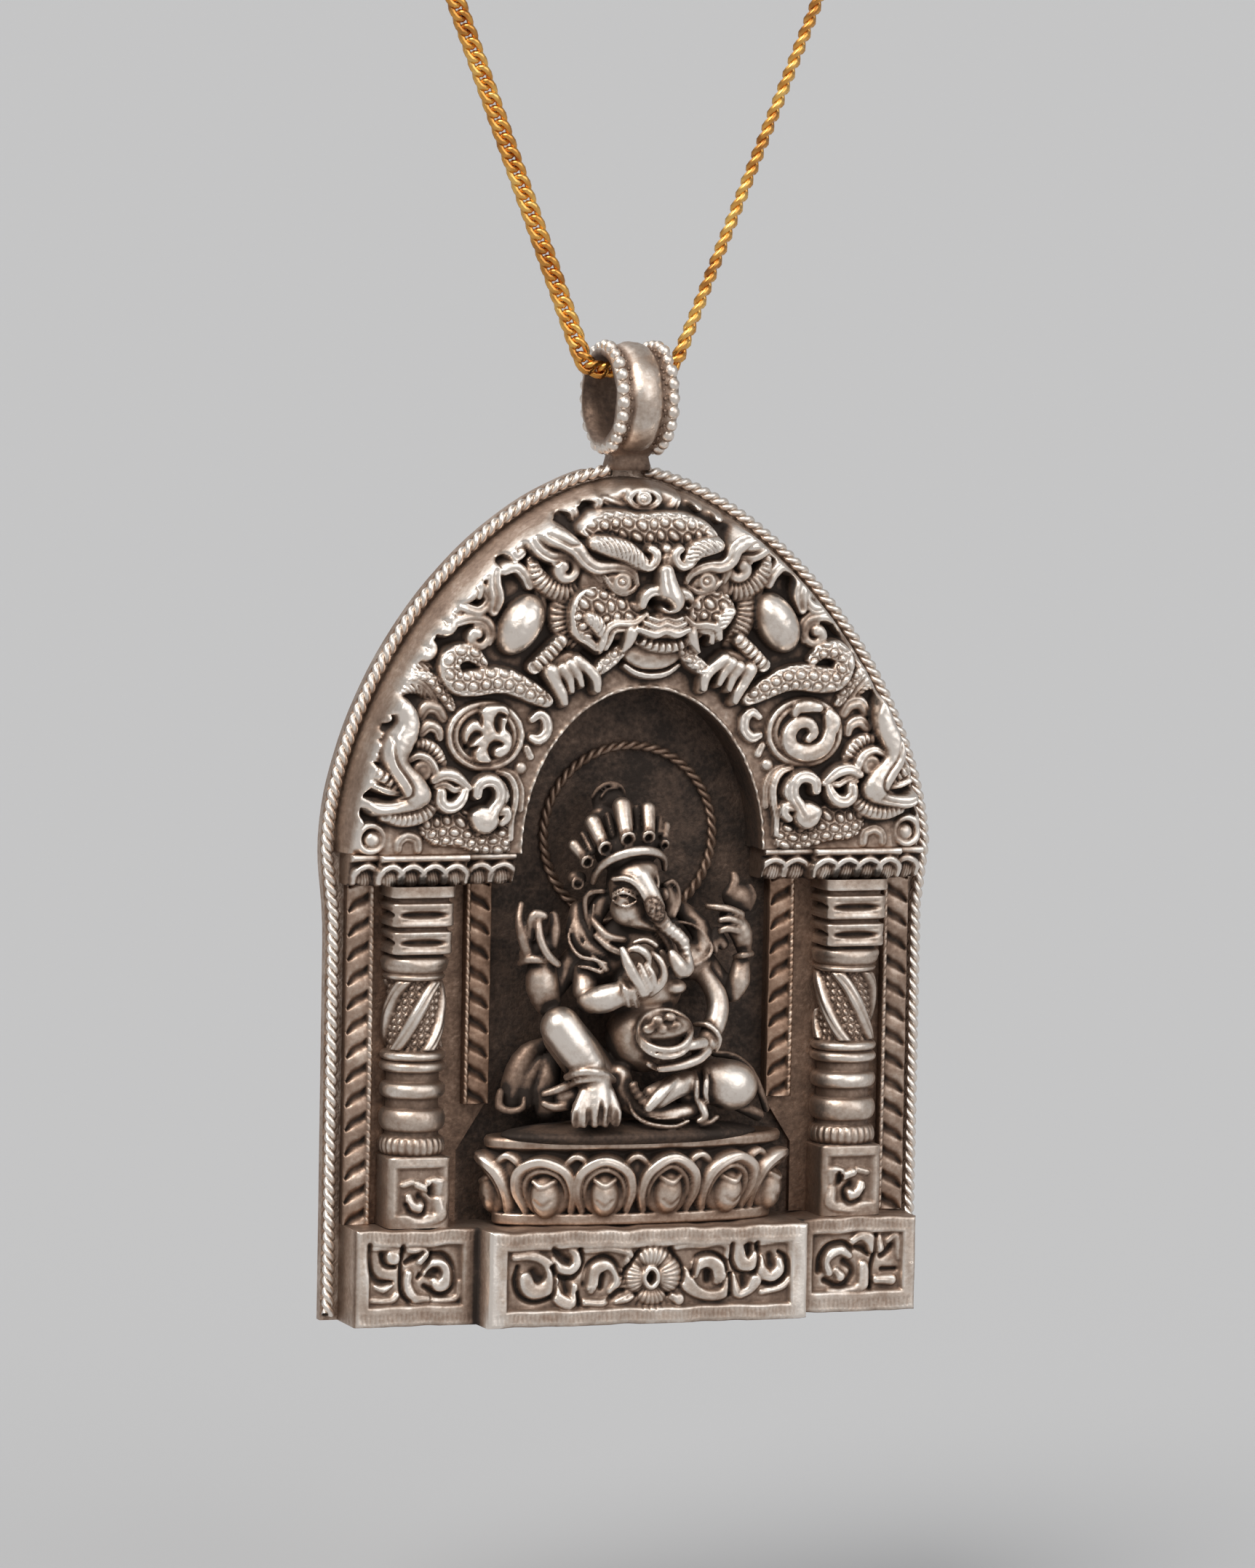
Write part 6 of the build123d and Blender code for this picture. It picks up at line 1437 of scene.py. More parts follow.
def shape_front_arms_and_bowl(clay):
    """The two front arms, with the open hand and the bowl of sweets."""
    # forearm across the chest, its bracelets, and the open hand
    clay.limb(read([(-4.0, 26.4, 4.8, 0.9), (-3.9, 25.0, 5.6, 0.95)]), 0.15)
    clay.limb(read([(-3.6, 24.2, 6.3, 0.88), (-2.4, 24.4, 6.9, 1.08), (-1.2, 24.75, 7.3, 0.95)]), 0.1)
    limbs(clay, ([(-1.05, 25.9, 7.0, 0.26), (-0.65, 25.1, 8.35, 0.34), (-0.35, 24.0, 7.8, 0.28)],
                 [(-0.5, 25.8, 7.1, 0.24), (-0.1, 25.0, 8.4, 0.3), (0.3, 23.9, 7.8, 0.26)]), 0.04)
    limbs(clay, ([(0.5, 24.9, 7.7, 0.7), (1.1, 25.5, 7.8, 0.72)],
                 [(0.8, 24.9, 8.3, 0.5), (0.1, 26.0, 8.5, 0.48), (-0.5, 27.1, 8.6, 0.44),
                  (-0.95, 28.2, 8.4, 0.26)],
                 [(1.25, 25.2, 8.3, 0.4), (0.85, 26.1, 8.5, 0.36), (0.4, 27.0, 8.5, 0.28)],
                 [(1.6, 25.4, 8.2, 0.36), (1.4, 26.3, 8.4, 0.34), (0.95, 27.0, 8.4, 0.26)],
                 [(-0.4, 28.1, 8.3, 0.26), (0.35, 28.2, 8.5, 0.36), (1.0, 27.7, 8.5, 0.36),
                  (1.2, 27.1, 8.3, 0.26)],
                 [(0.0, 28.6, 7.8, 0.24), (0.9, 28.85, 7.9, 0.28), (1.7, 28.4, 7.9, 0.26)],
                 [(1.4, 27.8, 8.1, 0.28), (2.1, 27.2, 8.2, 0.36), (2.4, 26.3, 8.2, 0.4),
                  (2.0, 25.4, 8.1, 0.42), (1.3, 24.8, 8.0, 0.4)]), 0.03)
    # left arm and hand round the bowl
    clay.limb(read([(4.9, 26.8, 4.6, 0.9), (5.8, 25.8, 5.1, 0.72), (6.6, 24.6, 5.6, 0.82),
                    (6.8, 23.4, 6.0, 0.86), (6.5, 22.2, 6.5, 0.86), (6.0, 21.2, 6.9, 0.72)]), 0.12)
    clay.limb(read([(5.0, 22.3, 6.6, 0.22), (5.9, 22.3, 7.4, 0.26), (6.7, 21.7, 7.6, 0.26),
                    (6.95, 21.0, 7.4, 0.25), (6.7, 20.3, 7.0, 0.2)]), 0.04)
    bowl = np.array(at(2.4, 21.5, 7.5))
    clay.egg(bowl, (1.95, 1.2, 1.4), 10, 0.08)
    clay.egg(bowl + (0.05, 0.75, 0.6), (1.95, 0.95, 0.95), 10, 0.05)
    for lift, wire, radius in ((0.5, 0.28, 1.95), (0.0, 0.22, 2.0)):
        clay.hoop(bowl + (0.0, 0.42, lift), radius, wire, (-0.17, 0.95, 1.0), 0.04, 0.95)
    for x, z, size in ((1.25, 22.1, 0.46), (1.95, 22.75, 0.46), (2.35, 22.1, 0.5), (2.95, 22.95, 0.44),
                       (3.45, 22.35, 0.42), (3.1, 22.2, 0.3), (1.6, 22.4, 0.3)):
        clay.egg(at(x, z, 9.0), (size * 1.12, 0.4, size * 0.85), 0, 0.02)
        clay.chase(read([(x - 0.14, z - 0.1, 9.4, 0.09), (x + 0.16, z + 0.12, 9.4, 0.09)]), 0.03)
    limbs(clay, ([(6.0, 20.9, 7.1, 0.72), (5.3, 20.3, 7.5, 0.6)],
                 [(5.6, 20.9, 8.0, 0.5), (4.8, 20.8, 8.6, 0.44), (3.95, 20.6, 8.8, 0.36)],
                 [(5.9, 20.3, 7.8, 0.48), (5.2, 19.7, 8.4, 0.42), (4.1, 19.35, 8.7, 0.4),
                  (2.9, 19.15, 8.7, 0.36), (2.2, 19.05, 8.6, 0.28)],
                 [(5.6, 20.2, 7.4, 0.3), (4.6, 19.7, 7.9, 0.26), (3.4, 19.6, 8.1, 0.24),
                  (2.4, 19.65, 8.0, 0.2)],
                 [(2.0, 19.1, 8.0, 0.26), (1.4, 19.4, 8.0, 0.32)]), 0.05)


def shape_head(clay):
    """The head with its trunk, eyes and ears."""
    clay.egg(at(-0.2, 33.2, 5.6), (2.05, 2.0, 2.4), 5, 0.2)
    clay.egg(at(0.2, 34.0, 6.9), (1.6, 0.95, 1.0), 8, 0.2)
    clay.egg(at(-0.5, 31.2, 6.2), (1.45, 1.4, 1.35), 0, 0.2)
    clay.limb(read([(-1.2, 30.6, 6.2, 0.5), (0.0, 30.3, 6.8, 0.55), (1.0, 29.95, 7.1, 0.42),
                    (1.9, 29.7, 7.2, 0.3)]), 0.1)
    # trunk with its crossed patch
    clay.limb(read([(0.4, 33.6, 7.4, 0.85), (1.15, 32.4, 7.9, 0.74), (1.6, 31.3, 8.1, 0.76)]), 0.2)
    clay.limb(read([(1.7, 31.0, 7.9, 0.66), (2.3, 30.0, 7.9, 0.56), (3.1, 29.4, 7.9, 0.54),
                    (3.8, 28.7, 7.9, 0.52), (4.0, 28.0, 7.9, 0.48),
                    (4.2, 27.2, 7.9, 0.46)]), 0.06, pattern=ribbed(0.46, 0.07))
    clay.limb(read([(4.2, 27.4, 7.9, 0.46), (4.2, 26.7, 8.0, 0.6), (3.75, 26.6, 8.2, 0.72),
                    (3.3, 27.2, 8.3, 0.62), (3.0, 27.8, 8.3, 0.36)]), 0.06)
    clay.egg(at(*PATCH, 8.45), (0.62, 0.5, 1.02), PATCH_TURN, 0.03)
    for k in (-0.42, 0.0, 0.42):
        clay.chase(read([(1.1 + k, 32.1 + k * 0.4, 8.86, 0.15), (1.6 + k, 31.2 + k * 0.4, 8.98, 0.15),
                         (2.1 + k, 30.3 + k * 0.4, 8.8, 0.15)]), 0.02)
    for k in (-0.75, -0.25, 0.25, 0.75):
        clay.chase(read([(0.95 - k * 0.5, 31.0 + k, 8.7, 0.15), (1.6 - k * 0.5, 31.17 + k, 8.98, 0.15),
                         (2.25 - k * 0.5, 31.35 + k, 8.7, 0.15)]), 0.02)
    # brow ridges, eyes and lids
    limbs(clay, ([(-1.8, 33.5, 6.9, 0.22), (-0.8, 33.55, 7.6, 0.26), (0.1, 33.1, 8.0, 0.28),
                  (0.7, 32.3, 8.3, 0.28), (1.0, 31.6, 8.4, 0.2)],
                 [(-1.8, 32.4, 6.8, 0.13), (-0.9, 32.8, 7.4, 0.16), (0.1, 32.4, 7.7, 0.14)],
                 [(-1.9, 32.1, 6.8, 0.12), (-0.9, 32.5, 7.6, 0.15), (0.15, 32.0, 7.7, 0.12)],
                 [(-1.8, 31.9, 6.8, 0.12), (-0.8, 31.4, 7.5, 0.15), (0.1, 31.8, 7.7, 0.12)],
                 [(1.6, 34.1, 7.3, 0.16), (1.75, 33.3, 7.3, 0.2), (1.7, 32.6, 7.5, 0.16)]), 0.04)
    clay.chase(read([(-1.6, 33.95, 7.6, 0.07), (-0.4, 33.95, 8.1, 0.08), (0.3, 33.4, 8.4, 0.08),
                     (0.9, 32.6, 8.6, 0.06)]), 0.04)
    clay.egg(at(-0.85, 31.95, 7.1), (0.66, 0.42, 0.42), 0, 0.02)
    clay.egg(at(2.3, 32.3, 6.4), (0.4, 0.5, 0.5), 0, 0.05)
    # ears
    clay.limb(read([(-2.4, 32.0, 4.6, 0.8), (-3.1, 31.0, 4.5, 0.75), (-3.2, 30.0, 4.6, 0.5)]), 0.12)
    limbs(clay, ([(-2.5, 32.6, 5.4, 0.22), (-3.3, 32.6, 5.1, 0.26), (-3.95, 32.2, 4.9, 0.24),
                  (-3.95, 31.1, 4.9, 0.22), (-3.7, 30.1, 5.0, 0.22), (-3.3, 29.2, 5.1, 0.2)],
                 [(-3.3, 31.6, 5.1, 0.14), (-3.4, 30.6, 5.1, 0.15), (-3.2, 29.8, 5.1, 0.13)],
                 [(2.3, 33.0, 5.4, 0.2), (2.9, 33.3, 5.2, 0.22), (3.4, 32.7, 5.0, 0.22),
                  (3.5, 31.6, 5.0, 0.22), (3.1, 30.6, 5.4, 0.2)]), 0.05)
    clay.limb(read([(2.4, 32.6, 4.8, 0.6), (2.9, 31.6, 4.7, 0.6), (2.8, 30.7, 5.0, 0.45)]), 0.12)
    clay.egg(at(-4.7, 33.6, 4.4), (0.75, 0.6, 0.6), 0, 0.08)
    clay.hoop(at(-4.6, 33.2, 5.0), 0.42, 0.14, (0, 1, 0), 0.04)


def shape_crown(clay):
    """The crown's band, its tubes with a ring and a bead at each foot, and the topknot."""
    clay.egg(at(-0.6, 35.8, 4.9), (2.7, 1.9, 1.7), 12, 0.2)
    clay.limb(read([(-3.4, 33.3, 5.2, 0.3), (-3.1, 34.1, 5.9, 0.34), (-2.3, 34.85, 6.8, 0.36),
                    (-1.0, 35.4, 7.5, 0.38), (0.4, 35.65, 7.7, 0.38), (1.5, 35.5, 7.3, 0.36),
                    (2.2, 35.0, 6.5, 0.3), (2.3, 34.2, 5.8, 0.24)]), 0.05)
    for foot, tip, thick, ring in (
            ((-4.15, 35.2, 5.7), (-4.95, 36.1, 5.1), (0.42, 0.5), (-3.85, 34.85, 0.44)),
            ((-2.8, 36.5, 6.4), (-3.5, 37.8, 5.5), (0.52, 0.66), (-2.45, 35.85, 0.48)),
            ((-0.85, 37.1, 6.9), (-1.2, 39.0, 5.8), (0.56, 0.74), (-0.65, 36.5, 0.52)),
            ((1.0, 37.1, 6.9), (0.88, 38.75, 5.9), (0.46, 0.6), (0.97, 36.65, 0.44)),
            ((2.25, 36.6, 6.2), (2.4, 37.5, 5.5), (0.28, 0.34), (2.25, 36.05, 0.3))):
        low, high = at(*foot), at(*tip)
        clay.limb([(*low, thick[0]), (*high, thick[1])], 0.04)
        for off in (-0.42, 0.42):
            clay.chase([(low[0] + off * thick[0], low[1] + thick[0] * 0.9, low[2], 0.045),
                        (high[0] + off * thick[1], high[1] + thick[1] * 0.9, high[2] + 0.2, 0.045)])
        x, out, z = at(ring[0], ring[1], foot[2] + 0.55)
        size = ring[2]
        clay.egg((x, out - 0.35, z), (size * 1.15, 0.5, size * 1.15), 0, 0.03)
        clay.hoop((x, out, z), size, 0.15, (0.1, 1.0, -0.35), 0.02)
        clay.chase([(x, out - 0.3, z, size * 0.62), (x, out + 0.8, z - 0.3, size * 0.62)], 0.03)
    for x, z, tip_x, tip_z in ((-3.5, 35.6, -4.2, 36.9), (-1.9, 36.8, -2.3, 38.3), (0.1, 37.2, 0.0, 38.8),
                               (1.7, 37.0, 1.8, 38.0)):
        clay.limb(read([(x, z, 5.8, 0.3), (tip_x, tip_z, 5.0, 0.34)]), 0.06)
    # topknot
    clay.egg(at(-2.35, 39.6, 3.5), (1.3, 0.85, 1.15), 0, 0.08)
    clay.limb(read([(-3.6, 39.7, 3.9, 0.16), (-3.1, 40.4, 4.1, 0.2), (-2.2, 40.8, 4.2, 0.2),
                    (-1.3, 40.5, 4.1, 0.2), (-1.0, 39.8, 3.9, 0.16)]), 0.05)
    clay.limb(read([(-2.9, 39.7, 4.3, 0.14), (-2.4, 40.3, 4.4, 0.16), (-1.6, 40.4, 4.3, 0.14)]), 0.04)
    clay.limb(read([(-2.9, 38.4, 3.8, 0.75), (-1.6, 37.6, 4.0, 1.0)]), 0.15)


def make_figure():
    """The figure's skin: tarnish in its folds and the trunk's crossed lines, painted shade deep in the
    niche.
    """
    points, faces, hollows = shape_figure().skin()
    turned = np.column_stack((points[:, 0], -points[:, 1], points[:, 2]))
    turned[:, 2] = np.maximum(turned[:, 2], SEAT_TOP - 0.4)
    patch = at(*PATCH, 8.6)
    dx, dz = points[:, 0] - patch[0], points[:, 2] - patch[2]
    c, s = cos(radians(PATCH_TURN)), sin(radians(PATCH_TURN))
    u, v = c * dx + s * dz, c * dz - s * dx
    # crossed lines within an oval on the front of the trunk
    share = np.hypot(u / 0.68, v / 1.05)
    net = np.exp(-((share - 1) / 0.13) ** 2)
    for a in ((u + 0.8 * v) / 0.55, (u - 0.8 * v) / 0.55):
        net = np.maximum(net, (share < 1) * np.exp(-((a - np.round(a)) / 0.2) ** 2))
    net *= points[:, 1] > 7.8
    hollows = np.maximum(hollows, 1.1 * net)
    # painted shade: darker towards the back of the niche, and less so by the seat
    depth = np.clip((7.4 - points[:, 1]) / 3.8, 0, 1) * np.interp(points[:, 2], (14.6, 15.6), (0.45, 1.0))
    return make_mesh("seated_figure", turned, faces, np.clip(hollows * 0.85 + 0.5 * depth, 0, 1))


# Lotus seat, plinth, capitals, pillars and strips

LOTUS_HALF_WIDTH, LOTUS_DEPTH, LOTUS_BACK, LOTUS_HEIGHT = 12.3, 6.7, 2.6, 6.7
PETAL_PITCH = 5.05


def both_ways(x, half):
    """A row that is the same to both sides of x, from points that begin with their distance from x."""
    return [(x - off, *rest) for off, *rest in half] + [(x + off, *rest) for off, *rest in half[-2::-1]]


def oval_run(half_x, half_y, over):
    """Angles round the front of an oval, and how far along its edge each is, from the middle."""
    angle = np.linspace(-pi / 2 - over, pi / 2 + over, 1200)
    x, y = half_x * np.sin(angle), half_y * np.cos(angle)
    run = np.concatenate(((0,), np.cumsum(np.hypot(np.diff(x), np.diff(y)))))
    return angle, run - run[-1] / 2


def make_lotus():
    """A half oval drum, its wall carved with petals in a strip that is wrapped round it."""
    angles, runs = oval_run(LOTUS_HALF_WIDTH - 0.6, LOTUS_DEPTH - LOTUS_BACK - 0.6, 0.7)
    work = Carving((runs[0], runs[-1]), (0.0, LOTUS_HEIGHT), 0.1)
    z = work.z
    work.out[:] = np.interp(z, (0, 0.12, 0.8, 0.92, 1.15, 3.5, 5.2, 5.45, 5.75, 5.95, 6.45, LOTUS_HEIGHT),
                            (-1.4, -1.15, -1.15, -1.8, -1.9, -1.35, -1.0, -1.25, -0.95, -0.5, -0.42, -0.6))
    for k in range(-5, 5):
        x = 1.9 + PETAL_PITCH * k + 0.2 * sin(k * 2.3)
        rise = 0.12 * cos(k * 1.7)
        between = x + PETAL_PITCH / 2
        work.dome(between, 4.2, -1.3, 1.0, 1.2, crest=0.5)
        behind = [(1.15, 3.4, -1.0, 0.2), (0.85, 4.7, -0.75, 0.26), (0, 5.35, -0.6, 0.28)]
        work.stroke(both_ways(between, behind))
        work.dome(x, 2.9, -1.35, 2.1, 2.3, crest=0.25)
        outer = [(1.9, 1.15, -1.55, 0.34), (2.2, 2.7, -0.85, 0.4), (1.65, 4.25, -0.3, 0.4),
                 (0, 5.1 + rise, -0.05, 0.4)]
        work.stroke(both_ways(x, outer), channel(0.06, 0.25, 0.1))
        inner = [(1.3, 1.2, -1.5, 0.16), (1.62, 2.6, -0.95, 0.18), (1.15, 3.8, -0.55, 0.19),
                 (0, 4.4 + rise, -0.4, 0.2)]
        work.stroke(both_ways(x, inner))
        work.dome(x, 2.45 + rise, -1.3, 1.22, 1.75, crest=0.95)
        work.stroke(both_ways(x, [(0.75, 3.55 + rise, -0.6, 0.2), (0, 3.15 + rise, -0.3, 0.24)]))
        work.groove(both_ways(x, [(0.6, 2.0, 0.12), (0, 1.55, 0.2)]), 0.1)
    hollows = work.hollows()
    angle = np.interp(work.x, runs, angles)
    px = (LOTUS_HALF_WIDTH + work.out) * np.sin(angle)
    py = -FACE - np.maximum(LOTUS_BACK + (LOTUS_DEPTH - LOTUS_BACK + work.out) * np.cos(angle), 0)
    points = np.stack((px, py, PLINTH_HEIGHT + z), -1)
    columns = z.shape[1]
    rings, shades = [points], [hollows]
    for share, lift in ((0.975, 0.03), (0.945, -0.12), (0.8, -0.18), (0.4, -0.2), (0.0, -0.2)):
        lid = points[-1].copy()
        lid[:, 0] *= share
        lid[:, 1] = -FACE - LOTUS_BACK + (lid[:, 1] + FACE + LOTUS_BACK) * share
        lid[:, 2] += lift
        rings.append(lid[None])
        shades.append(np.full((1, columns), 0.4 if share > 0.96 else 0.55))
    points = np.concatenate(rings)
    faces = grid_faces(len(points), columns)
    return make_mesh("lotus_seat", points.reshape(-1, 3), faces, np.concatenate(shades).ravel())


def inset_from(work, x0, x1, z0, z1):
    """How far each cell lies inside a part of a panel."""
    return np.minimum(np.minimum(work.x - x0, x1 - work.x), np.minimum(work.z - z0, z1 - work.z))


def box_edges(work, x0, x1, z0, z1, out, round_off=0.28):
    """Raise a block with rounded edges over part of a panel."""
    inset = inset_from(work, x0, x1, z0, z1)
    share = np.clip(inset / round_off, 0, 1)
    height = out - round_off * (1 - np.sqrt(np.clip(1 - (1 - share) ** 2, 0, 1)))
    work.out = np.where(inset >= 0, np.maximum(work.out, height), work.out)


def sunk_panel(work, x0, x1, z0, z1, depth):
    """Sink a panel with steep sides."""
    work.out -= depth * np.clip(inset_from(work, x0, x1, z0, z1) / 0.25, 0, 1)


SIDE_FRONT, MIDDLE_FRONT = 5.5, 8.0
PLINTH_HALF_WIDTH, MIDDLE_HALF_WIDTH = 22.5, 12.8
PANEL_DEPTH = 0.4

# Bands and cuts of the plinth's panels and the pillars' feet: x, z and half width
MIDDLE_BANDS = [
    [(-10.7, 5.5, 0.28), (-9.4, 5.5, 0.32), (-8.2, 5, 0.35), (-7.7, 4, 0.42), (-8, 3.1, 0.49),
     (-8.8, 2.7, 0.53), (-9.6, 3, 0.53), (-9.8, 3.7, 0.49)],
    [(-7.6, 5.2, 0.21), (-7.1, 4.5, 0.32), (-6.3, 4.2, 0.35), (-5.8, 4.7, 0.35), (-5.8, 5.4, 0.32),
     (-6.2, 5.7, 0.21)],
    [(-7.4, 3, 0.21), (-7.2, 2.2, 0.39), (-6.4, 1.8, 0.39), (-6, 2.1, 0.28), (-5.9, 3.1, 0.21)],
    [(-4.6, 2.7, 0.25), (-4.6, 3.3, 0.46), (-4.5, 4, 0.49), (-3.9, 4.6, 0.46), (-3.2, 4.6, 0.35),
     (-2.6, 4, 0.32), (-2.5, 3.3, 0.32), (-3, 2.6, 0.25)],
    [(-5.1, 5.8, 0.25), (-3.3, 5.9, 0.28), (-1.6, 5.6, 0.28), (-1.7, 4.9, 0.25)],
    [(-2.5, 1.7, 0.18), (-1.8, 1.9, 0.28), (-1.3, 2.1, 0.25)],
    [(-5.1, 1.8, 0.25), (-3.7, 1.7, 0.28), (-3.2, 2, 0.21)],
    [(2.9, 3.9, 0.25), (3.1, 3.1, 0.46), (3.8, 2.4, 0.39), (4.9, 2, 0.35), (6.1, 2.2, 0.35),
     (6.4, 3.1, 0.25)],
    [(1.9, 2.1, 0.25), (2.4, 1.9, 0.39)],
    [(3.8, 3.6, 0.21), (3.9, 4.4, 0.39), (4.7, 4.8, 0.46), (5.5, 4.3, 0.46), (5.7, 3.5, 0.42),
     (5.5, 3.1, 0.25)],
    [(2.2, 5.8, 0.25), (3.9, 6, 0.28), (5.7, 6.1, 0.28), (6.4, 5.7, 0.25), (6.3, 5, 0.21)],
    [(7.1, 5.9, 0.39), (7.2, 5.2, 0.46), (7.5, 4.4, 0.49), (8.1, 4.2, 0.42), (8.5, 4.9, 0.35)],
    [(6.8, 3.4, 0.21), (7, 2.4, 0.32), (7.3, 2, 0.28), (8.1, 2.4, 0.32), (8.6, 3.1, 0.39)],
    [(8.9, 4.7, 0.25), (9.1, 3.8, 0.35), (9.8, 3.3, 0.35), (10.5, 3.8, 0.35), (10.5, 4.5, 0.25)],
    [(8.9, 5.9, 0.25), (10.5, 6.1, 0.25), (11.4, 5.9, 0.25), (11.5, 4.7, 0.21)],
    [(9.1, 2.2, 0.21), (10.7, 2.5, 0.25), (11.4, 3.1, 0.21)],
]
MIDDLE_CUTS = [
    [(-10.4, 4.7, 0.21), (-10.6, 3.6, 0.28), (-10.2, 2.5, 0.32), (-9.2, 2, 0.28), (-7.8, 2.3, 0.25),
     (-7.5, 3.2, 0.21), (-7.6, 4.7, 0.18)],
    [(-9.1, 4.2, 0.46), (-8.7, 3.7, 0.53)], [(-7.6, 6, 0.21), (-6.9, 5.3, 0.42), (-6.4, 4.9, 0.28)],
    [(-7.8, 4.6, 0.18), (-7.1, 3.8, 0.21), (-6, 3.8, 0.21), (-5.3, 4.7, 0.18), (-5.5, 5.8, 0.18)],
    [(-6.6, 3.4, 0.39), (-6.5, 2.7, 0.25)],
    [(-5.1, 3.2, 0.25), (-4.8, 4.6, 0.25), (-3.8, 5.2, 0.25), (-2.8, 4.9, 0.25), (-2.2, 3.8, 0.21)],
    [(-3.7, 3.8, 0.35), (-3.8, 2.9, 0.25)], [(-3.1, 2, 0.28), (-2.5, 2.5, 0.28), (-1.9, 2.6, 0.14)],
    [(-5.7, 2.6, 0.18), (-5.5, 1.7, 0.18)],
    [(-0.8, 5.5, 0.18), (-1.8, 4.2, 0.18), (-1.6, 3.2, 0.18), (-0.9, 2.2, 0.18)],
    [(1.7, 5.7, 0.18), (2.6, 4.3, 0.18), (2.6, 3.3, 0.18), (1.5, 2.2, 0.18)],
    [(4.8, 3.8, 0.35), (4.8, 3.2, 0.32)],
    [(3.5, 3.7, 0.21), (3.9, 5, 0.21), (5, 5.3, 0.21), (6.1, 4.7, 0.21), (6.3, 3.9, 0.18)],
    [(8, 5.8, 0.35), (8, 5.2, 0.32)],
    [(6.7, 6, 0.18), (6.7, 4.7, 0.18), (7.3, 3.8, 0.18), (8.5, 3.8, 0.18), (8.8, 4.7, 0.18),
     (8.7, 5.9, 0.18)],
    [(7.7, 3.3, 0.39), (7.7, 2.7, 0.21)], [(6.6, 3.6, 0.18), (6.5, 2, 0.18)],
    [(9.8, 4.9, 0.35), (9.9, 4.2, 0.32)],
    [(9.3, 2.9, 0.21), (10.2, 2.8, 0.21), (11.1, 3.6, 0.21), (11.1, 4.7, 0.18), (10.5, 5.2, 0.14)],
]
LEFT_BANDS = [
    [(-19.6, 5.3, 0.46), (-19.5, 5.3, 0.42)], [(-20.8, 3.1, 0.18), (-20.3, 2.9, 0.25), (-19.7, 3.2, 0.18)],
    [(-21.2, 6, 0.25), (-20, 6.1, 0.25), (-19.1, 5.8, 0.21)],
    [(-17.1, 4.2, 0.25), (-16.5, 4.8, 0.28), (-15.8, 4.7, 0.32), (-15.2, 4.1, 0.39), (-15.3, 3.3, 0.46),
     (-15.9, 3, 0.39), (-16.2, 3.4, 0.25)],
    [(-18.3, 4, 0.28), (-18.4, 3.2, 0.32), (-17.9, 2.2, 0.35), (-16.8, 2, 0.25)],
    [(-18.3, 5.9, 0.25), (-17.6, 5.8, 0.32), (-17, 5.6, 0.32), (-17.4, 5, 0.25)],
    [(-21.1, 2.1, 0.21), (-19.7, 2, 0.25), (-19.2, 2.4, 0.21)],
    [(-16.3, 1.9, 0.21), (-14.5, 2.1, 0.21), (-14.2, 3.3, 0.18)],
]
LEFT_CUTS = [
    [(-21.4, 6.2, 0.21), (-21.4, 5.1, 0.21), (-21.2, 4.1, 0.25), (-20.6, 3.5, 0.28), (-19.6, 3.4, 0.14)],
    [(-20.4, 5.5, 0.25), (-20.1, 4.8, 0.32), (-19.3, 4.6, 0.14)],
    [(-18.8, 6.2, 0.18), (-18.9, 4.5, 0.18), (-18.8, 2.6, 0.18), (-18.2, 1.9, 0.18)],
    [(-18.5, 4.9, 0.21), (-17.8, 5.3, 0.32), (-17.2, 5.7, 0.14)],
    [(-17.5, 3.7, 0.18), (-17.1, 4.4, 0.21), (-16.5, 5.5, 0.18)],
    [(-16.5, 4, 0.53), (-16, 4.2, 0.39)],
    [(-16.5, 5.6, 0.18), (-15.4, 5.3, 0.25), (-14.8, 4.3, 0.25), (-14.9, 2.9, 0.25), (-15.9, 2.4, 0.25),
     (-17, 3, 0.21)],
]
RIGHT_BANDS = [
    [(15.5, 3.1, 0.28), (15.2, 3.9, 0.28), (15.6, 4.5, 0.32), (16.4, 4.8, 0.32), (17.1, 4.3, 0.25)],
    [(16.4, 2.8, 0.35), (16.1, 3.2, 0.25)],
    [(18.3, 3.5, 0.35), (18.4, 2.5, 0.42), (17.8, 1.8, 0.32), (15.5, 1.6, 0.18)],
    [(17.4, 5.4, 0.25), (18.2, 5.8, 0.32), (19, 5.4, 0.42), (19, 4.8, 0.32)],
    [(19.6, 5.7, 0.21), (19.7, 4.8, 0.28)],
    [(19.4, 2.4, 0.28), (20.6, 2.4, 0.35)], [(20.3, 5.4, 0.18), (21, 5.8, 0.21), (21.2, 4.1, 0.18)],
]
RIGHT_CUTS = [
    [(14.7, 3.2, 0.25), (14.8, 4.3, 0.25), (15.5, 5.2, 0.21), (16.6, 5.4, 0.21), (17.4, 4.8, 0.18)],
    [(15.2, 2.5, 0.25), (16.4, 2, 0.25), (17.3, 2.7, 0.28), (17.4, 3.4, 0.25), (16.8, 3.9, 0.35)],
    [(17.7, 4.9, 0.18), (18.3, 4.8, 0.32), (18.8, 4.4, 0.18)],
    [(19.3, 5.9, 0.18), (19.2, 4.4, 0.18), (18.9, 3, 0.18), (18.9, 1.8, 0.18)],
    [(19.8, 4.3, 0.25), (20.4, 4.7, 0.32), (20.6, 5.1, 0.18)], [(19.9, 3.2, 0.21), (21, 3.2, 0.18)],
]
FOOT_BANDS = [
    [(-0.9, 2.4, 0.25), (-0.7, 1.8, 0.35), (-0.2, 1.4, 0.39), (0.2, 1.8, 0.32)],
    [(-0.2, 3.3, 0.28), (0.6, 3, 0.25)],
    [(0.8, 3.4, 0.25), (1.5, 3.5, 0.28), (1.5, 2.6, 0.21)],
    [(1.5, 2.1, 0.25), (1.5, 0.9, 0.35), (0.5, 0.4, 0.28), (-1, 0.4, 0.21)],
    [(-1.3, 3.3, 0.21), (-0.6, 3.5, 0.21)],
]
